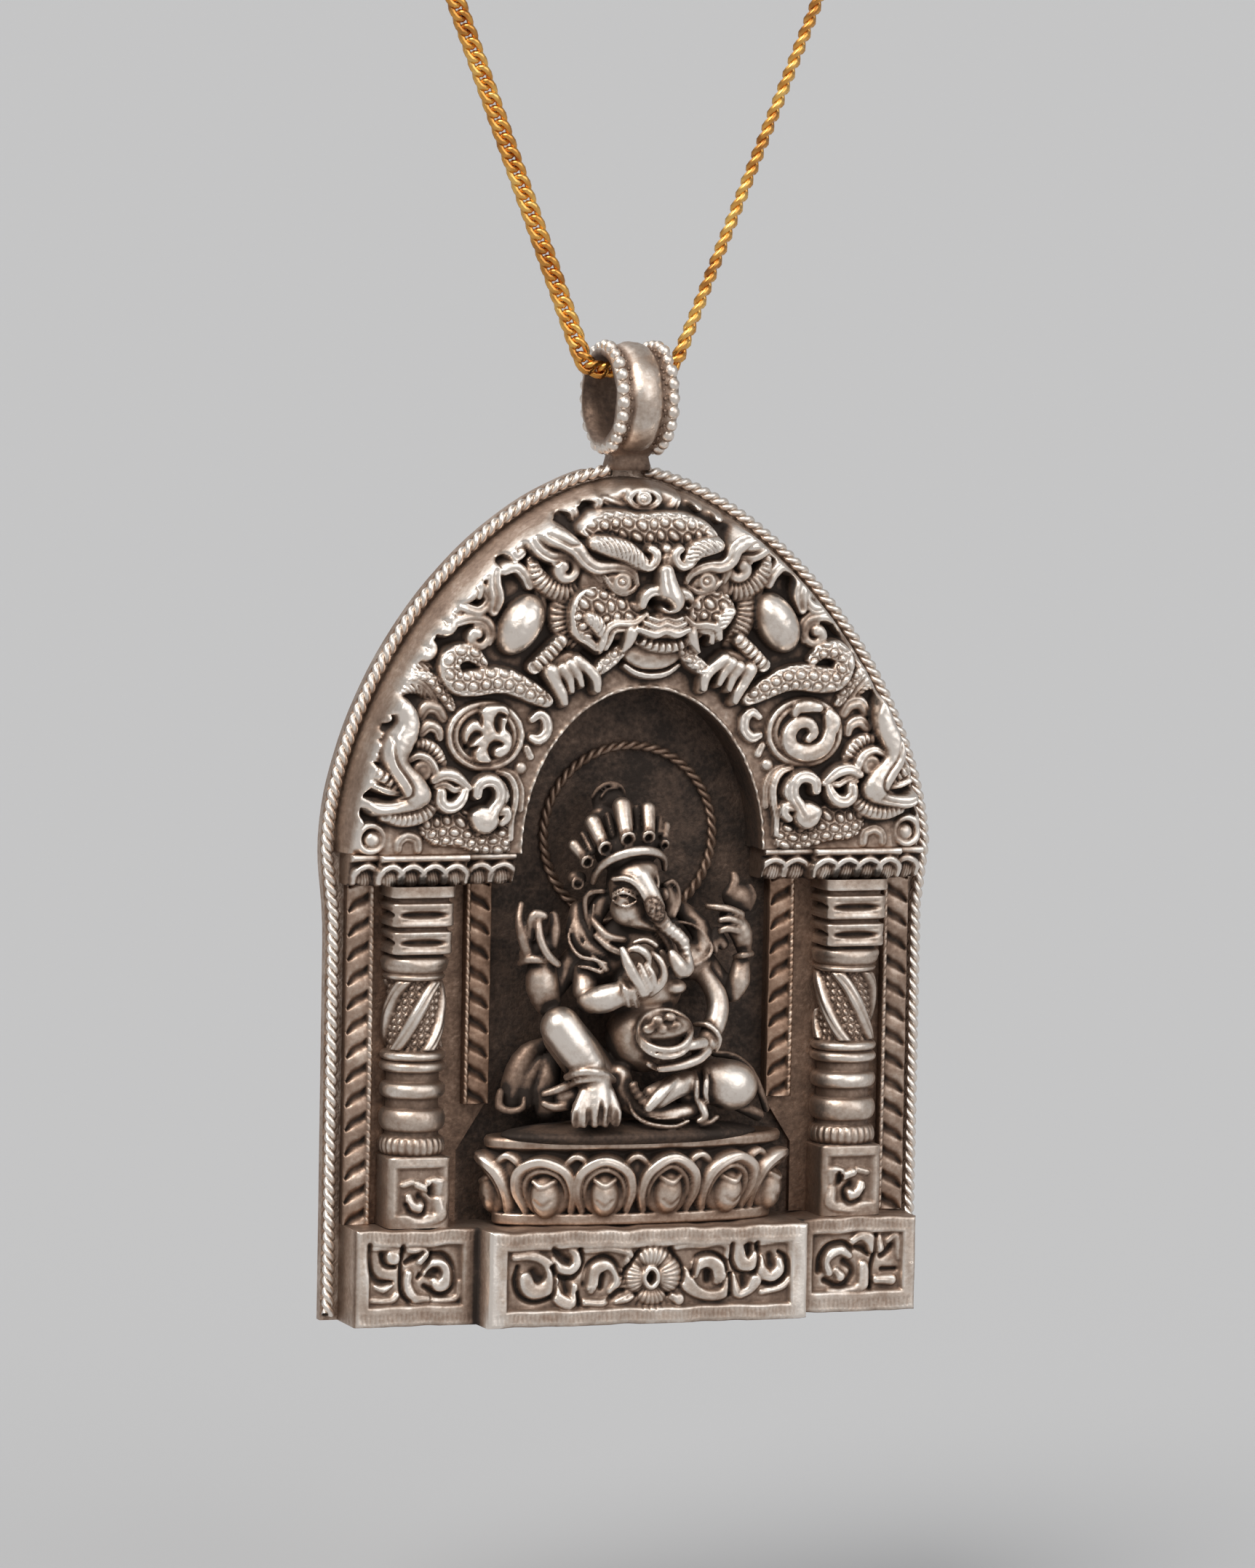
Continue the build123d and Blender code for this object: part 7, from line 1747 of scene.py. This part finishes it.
FOOT_CUTS = [
    [(0, 2.4, 0.35), (0.6, 1.8, 0.32), (0.2, 1, 0.28), (-0.7, 1.2, 0.25), (-1.1, 1.8, 0.21)],
    [(0.8, 3, 0.21), (1.1, 2.6, 0.28), (1, 3.3, 0.14)],
]


def scroll_work(work, bands, cuts, floor, side=1):
    """Flat leaf bands with rounded edges, and the cuts between them."""
    before = work.out.copy()
    for row in bands:
        band = [(side * x, z, floor - 0.05, 1.35 * width) for x, z, width in row]
        work.stroke(band, channel(0.05, 0.12, 0.25), crest=1.1)
    work.out = np.maximum(before, np.minimum(work.out, floor + PANEL_DEPTH))
    for row in cuts:
        work.groove([(side * x, z, 0.8 * width) for x, z, width in row], 0.45)


# The plinth's sunk panels: left, right, foot, top, how far out the block's front is, and the scroll work
PANELS = [(-21.5, -14.0, 1.5, 6.2, SIDE_FRONT, LEFT_BANDS, LEFT_CUTS),
          (14.0, 21.5, 1.5, 6.2, SIDE_FRONT, RIGHT_BANDS, RIGHT_CUTS),
          (-11.4, 11.5, 1.2, 6.0, MIDDLE_FRONT, MIDDLE_BANDS, MIDDLE_CUTS)]


def make_plinth():
    """Two side blocks and a forward middle one, with scroll work in their panels and a flower."""
    work = Carving((-PLINTH_HALF_WIDTH, PLINTH_HALF_WIDTH), (0.0, PLINTH_HEIGHT), 0.09, FACE)
    tucked = MIDDLE_HALF_WIDTH - 0.3
    box_edges(work, -PLINTH_HALF_WIDTH, -tucked, 0, PLINTH_HEIGHT, SIDE_FRONT)
    box_edges(work, tucked, PLINTH_HALF_WIDTH, 0, PLINTH_HEIGHT, SIDE_FRONT)
    box_edges(work, -MIDDLE_HALF_WIDTH, MIDDLE_HALF_WIDTH, 0, PLINTH_HEIGHT, MIDDLE_FRONT, 0.35)
    for x0, x1, z0, z1, front, bands, cuts in PANELS:
        sunk_panel(work, x0, x1, z0, z1, PANEL_DEPTH)
        scroll_work(work, bands, cuts, front - PANEL_DEPTH)
    floor = MIDDLE_FRONT - PANEL_DEPTH
    flower_x, flower_z = 0.2, 3.55
    for x, z, half_x, half_z in ((0.4, 5.15, 1.2, 0.85), (-1.1, 3.5, 0.75, 1.1), (1.7, 3.7, 0.95, 1.3),
                                 (0.3, 2.05, 1.15, 0.65)):
        work.dome(x, z, floor - 0.05, half_x, half_z, crest=0.6)
    rays = 30
    for k in range(rays):
        a = 2 * pi * (k + 0.3) / rays
        work.groove([(flower_x + 1.0 * cos(a), flower_z + 1.1 * sin(a), 0.06),
                     (flower_x + 2.5 * cos(a), flower_z + 2.4 * sin(a), 0.08)], 0.13)
    around = np.linspace(0, 2 * pi, 40)
    work.stroke([(flower_x + 0.5 * cos(a), flower_z + 0.72 * sin(a), floor + 0.25, 0.2) for a in around])
    work.pit(flower_x, flower_z, 0.34, 0.6)
    # short strokes along the top and bottom edges
    for x in np.arange(-PLINTH_HALF_WIDTH + 0.5, PLINTH_HALF_WIDTH - 0.4, 0.34):
        if abs(abs(x) - MIDDLE_HALF_WIDTH) < 0.5:
            continue
        lean = 0.08 * sin(x * 3.1)
        work.groove([(x, 6.5, 0.05), (x + lean, 7.1, 0.05)], 0.05)
        work.groove([(x, 0.35, 0.05), (x - lean, 0.95, 0.05)], 0.05)
    work.out += 0.05 * np.sin(work.x * 0.9) + 0.04 * np.sin(work.x * 2.7 + 1) * np.sin(work.z * 1.3)
    wobble = 0.07 * np.sin(work.x * 0.8) + 0.05 * np.sin(work.x * 2.1 + 2)
    top = work.z > PLINTH_HEIGHT / 2
    z = work.z + np.where(top, wobble * (work.z / PLINTH_HEIGHT),
                          -wobble * 0.6 * (1 - work.z / PLINTH_HEIGHT))
    z = np.clip(z, 0, PLINTH_HEIGHT)
    points = np.column_stack((work.x.ravel(), -work.out.ravel(), z.ravel()))
    faces = grid_faces(*z.shape)
    return skirted_mesh("plinth_blocks", faces, points, work.hollows().ravel(), FACE, 6, 0.42)


COLUMN_X = 17.35
COLUMN_RADIUS = 2.55
COLUMN_HEIGHT = 25.9
PILLAR_FRONT = 4.9
POCKET_DEPTH = 0.3
# The pillar's section at its levels: z, half width, and how square it is, with 2 for round
PILLAR_LEVELS = [
    (7.4, 2.5, 8), (12.75, 2.5, 8), (12.8, 2.15, 2), (12.95, 2.35, 2), (13.6, 2.45, 2), (14.2, 2.35, 2),
    (14.3, 2.05, 2), (14.6, 2.05, 2), (14.7, 2.3, 2), (15.5, 2.6, 2), (16.3, 2.3, 2), (16.4, 2.0, 2),
    (17.1, 2.0, 2), (17.2, 2.3, 2), (17.75, 2.55, 2), (18.3, 2.3, 2), (18.4, 2.0, 2), (19.1, 2.0, 2),
    (19.2, 2.2, 2), (19.6, 2.4, 2), (19.95, 2.2, 2), (20.0, 2.1, 2), (20.35, 2.4, 2), (20.7, 2.15, 2),
    (20.85, 2.0, 2), (26.0, 2.0, 2), (26.1, 1.95, 2), (26.2, 2.3, 2), (26.4, 2.4, 2), (26.6, 2.2, 2),
    (27.2, 2.5, 2), (27.85, 2.2, 3), (27.95, 1.95, 4), (28.1, 1.95, 6), (28.2, 2.4, 8),
    (29.85, 2.45, 8), (29.95, 2.1, 8), (30.2, 2.1, 8), (30.3, 2.5, 8), (32.0, 2.5, 8), (32.1, 2.2, 8),
    (32.4, 2.2, 8), (32.5, 2.6, 8), (33.3, 2.6, 8),
]
# The rounded rings of the pillar, from their foot to their top
PILLAR_RINGS = ((12.8, 14.25), (14.65, 16.35), (17.15, 18.35), (19.15, 19.97), (20.0, 20.75), (26.65, 27.9))


def make_pillar(side):
    """A pillar carved on a strip that is wrapped round it, its section running from square to round."""
    reach = radians(115) * COLUMN_RADIUS
    work = Carving((-reach, reach), (0.0, COLUMN_HEIGHT), 0.09)
    z = work.z + PLINTH_HEIGHT
    heights, radii, squareness = (np.array(column, float) for column in zip(*PILLAR_LEVELS))
    radius = np.interp(z, heights, radii)
    for low, high in PILLAR_RINGS:
        middle, half = (low + high) / 2, (high - low) / 2
        inside = np.abs(z - middle) < half
        bulge = np.sqrt(np.clip(1 - ((z - middle) / half) ** 2, 0, 1))
        radius = np.where(inside, 2.08 + 0.45 * bulge, radius)
    square = np.interp(z, heights, squareness)
    around = work.x
    a = around / COLUMN_RADIUS
    # smooth slanting bands between bands of punched rings, kept on the drum alone
    work.out[:] = ring_marks(around * 0.8 + side * work.z * 0.5, work.z, 0.6, 0.2)
    slant = -side
    for k in range(-4, 5):
        x0 = k * 3.3 + 0.5 * side
        row = [(x0 - slant * 2.3, 13.2, 0.02, 0.5), (x0 - slant * 1.1, 14.5, 0.05, 0.55),
               (x0 + slant * 0.2, 16.4, 0.08, 0.58), (x0 + slant * 1.2, 17.8, 0.05, 0.55),
               (x0 + slant * 2.3, 18.8, 0.02, 0.5)]
        work.stroke(row, channel(0.1, 0.2), crest=0.75)
    work.out = np.where((z > 20.85) & (z < 26.05), work.out, 0)
    # fringe under the lowest ring
    fringe = (z > 12.85) & (z < 14.1)
    work.out = np.where(fringe, 0.12 * np.abs(np.sin(around * 2 * pi / 1.25)) - 0.1, work.out)
    # the foot's pocket with its scroll, and slots in the square blocks
    pocket = np.minimum(1.75 - np.abs(around), np.minimum(z - 8.35, 12.05 - z))
    work.out -= POCKET_DEPTH * np.clip(pocket / 0.25, 0, 1)
    scroll_work(work, FOOT_BANDS, FOOT_CUTS, -POCKET_DEPTH, -side)
    for low, high in ((28.2, 29.9), (30.3, 32.05)):
        middle = (low + high) / 2 - PLINTH_HEIGHT
        for centre in (-3.75, 0.0, 3.75):
            slot = [(-1.55, 0.1), (-0.8, 0.26), (0.8, 0.26), (1.55, 0.1)]
            work.groove([(centre + off, middle, width) for off, width in slot], 0.6)
            for height in (middle - 0.45, middle + 0.45):
                work.groove([(centre - 1.5, height, 0.07), (centre + 1.5, height, 0.07)], 0.08)
    work.out += 0.025 * np.sin(z * 2.1 + around) * np.sin(around * 1.7)
    hollows = hollowness(radius - COLUMN_RADIUS + work.out, work.step)
    size = radius + work.out
    c, s = np.sin(a), np.cos(a)
    shape = (np.abs(c) ** square + np.abs(s) ** square) ** (-1 / square)
    px = COLUMN_X * side + size * shape * c
    py = -(PILLAR_FRONT - COLUMN_RADIUS) - size * shape * s
    points = np.stack((px, py, z), -1).reshape(-1, 3)
    return make_mesh(sided("pillar_turned", side), points, grid_faces(*z.shape), hollows.ravel())


# The capital's petals, by their middle and half width; its middle stands further forward than its sides
PETALS = [(10.9, 1.25), (12.7, 1.25), (14.9, 1.15), (16.6, 1.2), (18.3, 1.2), (19.9, 1.1), (21.6, 1.2)]
CAPITAL_INNER, CAPITAL_OUTER, CAPITAL_HALF_MIDDLE = 10.0, 22.9, 3.5
CAPITAL_SIDE_FRONT, CAPITAL_MIDDLE_FRONT = 4.1, 4.9


def capital_front(x):
    """How far out the capital's front is."""
    return np.where(np.abs(x - COLUMN_X) > CAPITAL_HALF_MIDDLE, CAPITAL_SIDE_FRONT, CAPITAL_MIDDLE_FRONT)


def make_capital(side):
    """A row of lotus petals under a smooth lip."""
    work = Carving((CAPITAL_INNER, CAPITAL_OUTER), (0.0, SPRING - CAPITAL_FOOT), 0.08, FACE)
    profile = np.interp(work.z, (0, 0.3, 1.6, 1.8, 1.95, 2.15, 2.4),
                        (-1.3, -0.9, -0.55, -0.5, 0.1, 0.32, 0.25))
    work.out[:] = capital_front(work.x) + profile
    for x, half in PETALS:
        base = float(capital_front(x))
        work.dome(x, 0.75, base - 0.9, half * 0.7, 0.8, crest=0.7)
        edge = [(half * 0.8, 0.3, base - 0.7, 0.2), (half * 0.75, 1.05, base - 0.25, 0.25),
                (0, 1.6, base - 0.1, 0.27)]
        work.stroke(both_ways(x, edge))
        for k in range(-2, 3):
            foot, tip = x + k * half * 0.2 - 0.1, x + k * half * 0.17 + 0.12
            work.groove([(foot, 0.1, 0.07), (tip, 1.15, 0.07)], 0.2)
    work.out += 0.03 * np.sin(work.x * 3) * np.sin(work.z * 2)
    return sheet_mesh(sided("capital_petals", side), work, side, CAPITAL_FOOT, work.hollows(), FACE, 5, 0.5)


STRIP_BACK, STRIP_FRONT, STRIP_WIDTH = 1.4, 2.1, 2.0
# Where the strips' inner edges are, and the foot of the inner strip
OUTER_STRIP_X, INNER_STRIP_X = 20.5, 11.2
INNER_STRIP_FOOT = PLINTH_HEIGHT + 9.0


def make_strip(name, side, inner_x, foot, lean):
    """A flat strip with slanting leaf-shaped cuts and one raised, notched edge."""
    top = CAPITAL_FOOT
    middle = inner_x + STRIP_WIDTH / 2
    work = Carving((inner_x, inner_x + STRIP_WIDTH), (foot, top), 0.07, STRIP_BACK)
    work.out[:] = STRIP_FRONT + 0.12 * np.cos((work.x - middle) * 1.4) + 0.04 * np.sin(work.z * 1.3)
    pitch = (top - foot) / round((top - foot) / 1.85)
    for k in range(-1, int((top - foot) / pitch) + 2):
        z = foot + (k + 0.3) * pitch
        work.groove([(middle - 0.8, z - lean * 0.75, 0.07), (middle - 0.35, z - lean * 0.2, 0.28),
                     (middle + 0.35, z + lean * 0.15, 0.3), (middle + 0.9, z + lean * 0.7, 0.1)], 0.42)
    edge = inner_x + (0.17 if lean < 0 else STRIP_WIDTH - 0.17)
    work.stroke([(edge, foot, STRIP_FRONT, 0.18), (edge, (foot + top) / 2, STRIP_FRONT + 0.05, 0.2),
                 (edge, top, STRIP_FRONT, 0.18)], ribs(0.55, 0.12, 0.6))
    hollows = np.clip(work.hollows() + 0.1, 0, 1)
    return sheet_mesh(sided(name, side), work, side, 0.0, hollows, STRIP_BACK, 1, 0.7)


# Wires, bail, chain and clasp

ROPE_INSET, ROPE_STRAND = 0.5, 0.245
HALO_RADIUS, HALO_STRAND, HALO_RISE = 6.8, 0.2, 1.0
FOOT_SEAT = SPRING + ARCH_RISE - 0.6
BAIL_X, BAIL_Y = HANG[0], HANG[1]
BAIL_LENGTH = 4.8
BAIL_HALF_DEPTH, BAIL_HALF_HEIGHT, BAIL_WALL = 3.9, 3.25, 0.65
BAIL_Z = FOOT_SEAT + 1.6 + BAIL_HALF_HEIGHT + BAIL_WALL
FOOT_HALF_WIDTH = 1.35


def make_rim_rope(side):
    """Twisted wire laid round the plate's edge from the plinth to the bail's foot."""
    line = arch_outline(ROPE_INSET, 400, sides=True)
    line = line[(line[:, 0] - BAIL_X) * side > FOOT_HALF_WIDTH]
    if side < 0:
        line = line[::-1]
    space = np.column_stack((line[:, 0], np.full(len(line), -(FACE + 0.5)), line[:, 1]))
    heap = Heap()
    twisted_pair(heap, space, ROPE_STRAND, 12)
    return heap.make(sided("rim_twist", side))


def make_halo():
    """A ring of twisted wire on the niche's back."""
    angle = np.linspace(0, 2 * pi, 200)
    x, z = HALO_RADIUS * np.cos(angle), SPRING + HALO_RISE + HALO_RADIUS * np.sin(angle)
    line = np.column_stack((x, np.full(len(x), -(FACE + 0.24)), z))
    heap = Heap()
    twisted_pair(heap, line, HALO_STRAND, 14, closed=True)
    return heap.make("halo_twist")


def bail_ring(angle, out):
    """Places round the bail's oval, a distance outside its bore."""
    return (np.cos(angle) * (BAIL_HALF_DEPTH + out) + BAIL_Y,
            np.sin(angle) * (BAIL_HALF_HEIGHT + out) + BAIL_Z)


def ball(heap, centre, halves, hollow, rows, columns):
    """A small rounded bead."""
    up = np.linspace(-pi / 2, pi / 2, rows)[:, None]
    around = np.arange(columns)[None] * 2 * pi / columns
    unit = np.stack((np.cos(up) * np.cos(around), np.cos(up) * np.sin(around),
                     np.sin(up) * np.ones_like(around)), -1)
    heap.add((unit * halves + centre).reshape(-1, 3), grid_faces(rows, columns, False, True), hollow)


def make_bail():
    """Oval tube with a domed band, a beaded wire on each side, and a collar for a foot."""
    heap = Heap()
    half = BAIL_LENGTH / 2
    section = both_ways(0.0, [(half, 0.0), (half, 0.45), (half - 0.5, 0.62), (1.35, 0.52), (1.15, 0.55),
                              (0.9, 0.78), (0.45, 0.93), (0.0, 0.97)])
    section += [(1.2, -0.03), (0.0, 0.0), (-1.2, -0.03)]
    steps = 150
    angle = 2 * pi * np.arange(steps) / steps
    points = np.zeros((steps, len(section), 3))
    hollow = np.zeros((steps, len(section)))
    for k, (x, out) in enumerate(section):
        rough = 0.03 * np.sin(angle * 23 + k * 1.7) * (0.0 if out < 0.1 else 1.0)
        rough += 0.02 * np.sin(angle * 9 + k)
        y, z = bail_ring(angle, out + rough)
        points[:, k] = np.column_stack((BAIL_X + x + 0.03 * np.sin(angle * 7 + k), y, z))
        hollow[:, k] = 0.72 if out <= 0.05 else (0.62 if 1.1 < abs(x) < 1.5 else 0.25)
    heap.add(points.reshape(-1, 3), grid_faces(steps, len(section), True, True), hollow.ravel())
    girth = pi * (BAIL_HALF_DEPTH + BAIL_HALF_HEIGHT + 1.3)
    count = round(girth / 1.17)
    for side in (-1, 1):
        # the beads, then small grains of solder along them
        for k in range(count):
            a = 2 * pi * (k + 0.35 * side) / count
            y, z = bail_ring(a, 0.62 + 0.05 * sin(k * 2.1))
            size = 0.5 + 0.03 * sin(k * 3.7)
            halves = (size * 0.98, size * 1.05, size * 1.05)
            ball(heap, (BAIL_X + side * (half - 0.42), y, z), halves, 0.12, 9, 12)
        for k in range(count * 3):
            a = 2 * pi * (k + 0.3 * sin(k)) / count / 3
            y, z = bail_ring(a, 0.5 + 0.1 * sin(k * 1.9))
            ball(heap, (BAIL_X + side * (1.38 + 0.1 * sin(k * 2.7)), y, z), (0.15, 0.15, 0.15), 0.55, 5, 6)
    # the collar, nearly square
    low, high = FOOT_SEAT + 0.02, BAIL_Z - BAIL_HALF_HEIGHT - 0.2
    levels = ((low, 1.5, 1.5), (low + 0.3, 1.65, 1.6), (low + 0.7, 1.55, 1.5), (low + 1.0, 1.5, 1.4),
              (low + 1.3, 1.75, 1.6), (high, 2.2, 2.2))
    rings, corners = [], 40
    around = 2 * pi * np.arange(corners) / corners
    c, s = np.cos(around), np.sin(around)
    for z, half_x, half_y in levels:
        size = (np.abs(c) ** 4 + np.abs(s) ** 4) ** -0.25
        x, y = BAIL_X + half_x * size * c, -0.9 + half_y * size * s
        rings.append(np.column_stack((x, y, np.full(corners, z))))
    heap.add(np.concatenate(rings), grid_faces(len(rings), corners, False, True), 0.62)
    return heap.make("bail_with_beads")


CHAIN_TOP = 193.3
# The right half of the chain's route, from the middle of the bail: x and z
CHAIN_ROUTE = [
    (0.0, 0.0), (2.0, 0.0), (3.2, 0.0), (3.7, 0.5), (4.5, 2.5), (7.0, 8.9), (12.0, 21.6), (20.0, 42.0),
    (34.0, 81.6), (43.6, 116.4), (46.2, 142.4), (42.0, 163.0), (33.0, 178.6), (20.0, 189.6),
    (9.6, CHAIN_TOP), (3.5, CHAIN_TOP),
]
CHAIN_Z = BAIL_Z + BAIL_HALF_HEIGHT - 0.3 - 0.8
# A link: distance to the next, half length, half width, how far its ends bend up and down, and wire radius
LINK_PITCH, LINK_HALF_LONG, LINK_HALF_WIDE, LINK_BEND, LINK_WIRE = 1.09, 0.82, 0.50, 0.20, 0.265
# Points round a link, and sides of its wire
LINK_STEPS, WIRE_SIDES = 14, 6
# How far the links are rolled over at these lengths along the chain, on the right and on the left
ROLL_AT = (0, 3, 8, 60, 235)
ROLLS = {1: (35, 45, 62, 62, 25), -1: (35, 30, 8, 8, 20)}


def chain_line():
    """Even places along the right half of the chain's smooth route."""
    curve = bpy.data.curves.new("route", "CURVE")
    curve.dimensions = "3D"
    curve.resolution_u = 24
    spline = curve.splines.new("NURBS")
    spline.points.add(len(CHAIN_ROUTE) - 1)
    for point, (x, z) in zip(spline.points, CHAIN_ROUTE):
        point.co = (x, 0.0, z, 1.0)
    spline.order_u = 3
    spline.use_endpoint_u = True
    carrier = bpy.data.objects.new("route", curve)
    mesh = bpy.data.meshes.new_from_object(carrier)
    line = np.array([vertex.co for vertex in mesh.vertices], float)
    bpy.data.objects.remove(carrier)
    bpy.data.meshes.remove(mesh)
    bpy.data.curves.remove(curve)
    length = run_along(line)[-1]
    even = np.linspace(LINK_PITCH / 2, length - 0.1, round((length - 0.2) / LINK_PITCH))
    places = even_places(line, even)
    ahead = np.gradient(places, axis=0)
    ahead /= np.linalg.norm(ahead, axis=1)[:, None]
    return places, ahead, even


def make_chain(side):
    """Curb links: bent ovals that pass over and under their neighbours, all lying one way."""
    places, ahead, even = chain_line()
    heap = Heap()
    around = (2 * pi * np.arange(LINK_STEPS) / LINK_STEPS)[:, None]
    wire_angle = (2 * pi * np.arange(WIRE_SIDES) / WIRE_SIDES)[:, None]
    faces = grid_faces(LINK_STEPS, WIRE_SIDES, True, True)
    if side < 0:
        faces = faces[:, ::-1]
    for spot, forward, run in zip(places, ahead, even):
        roll = radians(np.interp(run, ROLL_AT, ROLLS[side]))
        across = np.array((forward[2], 0.0, -forward[0]))
        facing = np.cross(forward, across)
        wide = cos(roll) * across + sin(roll) * facing
        tall = cos(roll) * facing - sin(roll) * across
        line = (spot + forward * LINK_HALF_LONG * np.cos(around) + wide * LINK_HALF_WIDE * np.sin(around)
                + tall * LINK_BEND * np.sin(2 * around))
        tangent = np.roll(line, -1, 0) - np.roll(line, 1, 0)
        tangent /= np.linalg.norm(tangent, axis=1)[:, None]
        outward = line - spot
        outward -= (outward * tangent).sum(1)[:, None] * tangent
        outward /= np.linalg.norm(outward, axis=1)[:, None]
        upward = np.cross(tangent, outward)
        ring = outward[:, None] * np.cos(wire_angle) + upward[:, None] * np.sin(wire_angle)
        points = (line[:, None] + ring * LINK_WIRE).reshape(-1, 3)
        points[:, 0] = BAIL_X + points[:, 0] * side
        points[:, 1] += BAIL_Y
        points[:, 2] += CHAIN_Z
        heap.add(points, faces, max(0.05 + 0.1 * sin(run * 5.1), 0))
    return heap.make(sided("curb_links", side))


def make_clasp():
    """A small hook clasp with its ring, lying along the chain at the nape."""
    heap = Heap()
    x0, y0, z0 = BAIL_X, BAIL_Y, CHAIN_Z + CHAIN_TOP
    t = np.linspace(0, 1, 40)
    hook = 2 * pi * 0.86 * t + 0.3
    line = np.column_stack((x0 + 0.5 + 1.9 * np.cos(hook), np.full(40, y0), z0 + 1.05 * np.sin(hook)))
    tube(heap, line, 0.42 - 0.12 * t, 10, 0.1)
    lever = np.column_stack((x0 + 1.2 - 1.7 * t, np.full(40, y0), z0 + 0.9 - 0.35 * np.sin(pi * t)))
    tube(heap, lever, 0.3, 8, 0.1)
    for centre, radius in ((x0 - 2.5, 0.85), (x0 + 2.9, 0.6)):
        angle = np.linspace(0, 2 * pi, 30, endpoint=False)
        rise = np.sin(angle)
        ring = np.column_stack((centre + radius * np.cos(angle), y0 + radius * 0.3 * rise,
                                z0 + radius * rise))
        tube(heap, ring, 0.22, 8, 0.1, True)
    return heap.make("hook_clasp")


PENDANT, CHAIN = "pendant", "chain"
place(make_arch(), silver, PENDANT, SILVER, "arch_relief")
place(make_figure(), silver, PENDANT, SILVER, "ganesha_figure")
place(make_lotus(), lotus_silver, PENDANT, SILVER, "lotus_throne")
place(make_plinth(), silver, PENDANT, SILVER, "plinth")
place(make_halo(), brown_silver, PENDANT, SILVER, "halo_rope")
place(make_bail(), silver, PENDANT, SILVER, "bail")
place(make_clasp(), gold, CHAIN, GOLD, "clasp")
for side in (1, -1):
    place(make_pillar(side), silver, PENDANT, SILVER, sided("pillar", side))
    place(make_capital(side), silver, PENDANT, SILVER, sided("capital", side))
    outer = make_strip("outer_notched", side, OUTER_STRIP_X, PLINTH_HEIGHT, -1)
    place(outer, edge_silver, PENDANT, SILVER, sided("outer_strip", side))
    inner = make_strip("inner_notched", side, INNER_STRIP_X, INNER_STRIP_FOOT, 1)
    place(inner, strip_silver, PENDANT, SILVER, sided("inner_strip", side))
    place(make_rim_rope(side), silver, PENDANT, SILVER, sided("rim_rope", side))
    place(make_chain(side), gold, CHAIN, GOLD, sided("chain", side))


# Floor and lights

FLOOR_LEVEL, FLOOR_REACH = -26.0, 400.0


def make_stage():
    """A wide grey floor below the pendant, and even light from all round."""
    low, reach = to_metres((0, 0, FLOOR_LEVEL))[2], FLOOR_REACH
    corners = [(-reach, -reach, low), (reach, -reach, low), (reach, reach, low), (-reach, reach, low)]
    mesh = bpy.data.meshes.new("floor")
    mesh.from_pydata(corners, [], [(0, 1, 2, 3)])
    floor = bpy.data.objects.new("floor", mesh)
    bpy.context.scene.collection.objects.link(floor)
    material, _, shader = new_material("floor_paper")
    shader.inputs["Base Color"].default_value = (0.46, 0.46, 0.465, 1)
    shader.inputs["Roughness"].default_value = 0.9
    shader.inputs["Specular IOR Level"].default_value = 0.0
    mesh.materials.append(material)
    world = bpy.data.worlds.new("studio")
    bpy.context.scene.world = world
    world.use_nodes = True
    background = world.node_tree.nodes["Background"]
    background.inputs["Color"].default_value = (0.98, 0.99, 1.0, 1)
    background.inputs["Strength"].default_value = 0.42


def add_light(name, azimuth, elevation, strength, spread, colour):
    """A broad far light; azimuth 0 is in front, and it turns to the left."""
    a, e = radians(azimuth), radians(elevation)
    back = Vector((-sin(a) * cos(e), -cos(a) * cos(e), sin(e)))
    data = bpy.data.lights.new(name, "SUN")
    data.energy = strength
    data.angle = radians(spread)
    data.color = colour
    light = bpy.data.objects.new(name, data)
    light.location = Vector(to_metres((0, -4, 34))) + back * 0.5
    light.rotation_euler = back.to_track_quat("Z", "Y").to_euler()
    bpy.context.scene.collection.objects.link(light)


make_camera()
make_stage()
add_light("window", 52, 50, 2.2, 38, (1.0, 0.985, 0.96))
add_light("front_fill", -25, 28, 1.0, 60, (0.97, 0.985, 1.0))
add_light("top_rim", 150, 50, 0.5, 40, (1.0, 1.0, 1.0))

bpy.context.scene.view_settings.view_transform = "Standard"
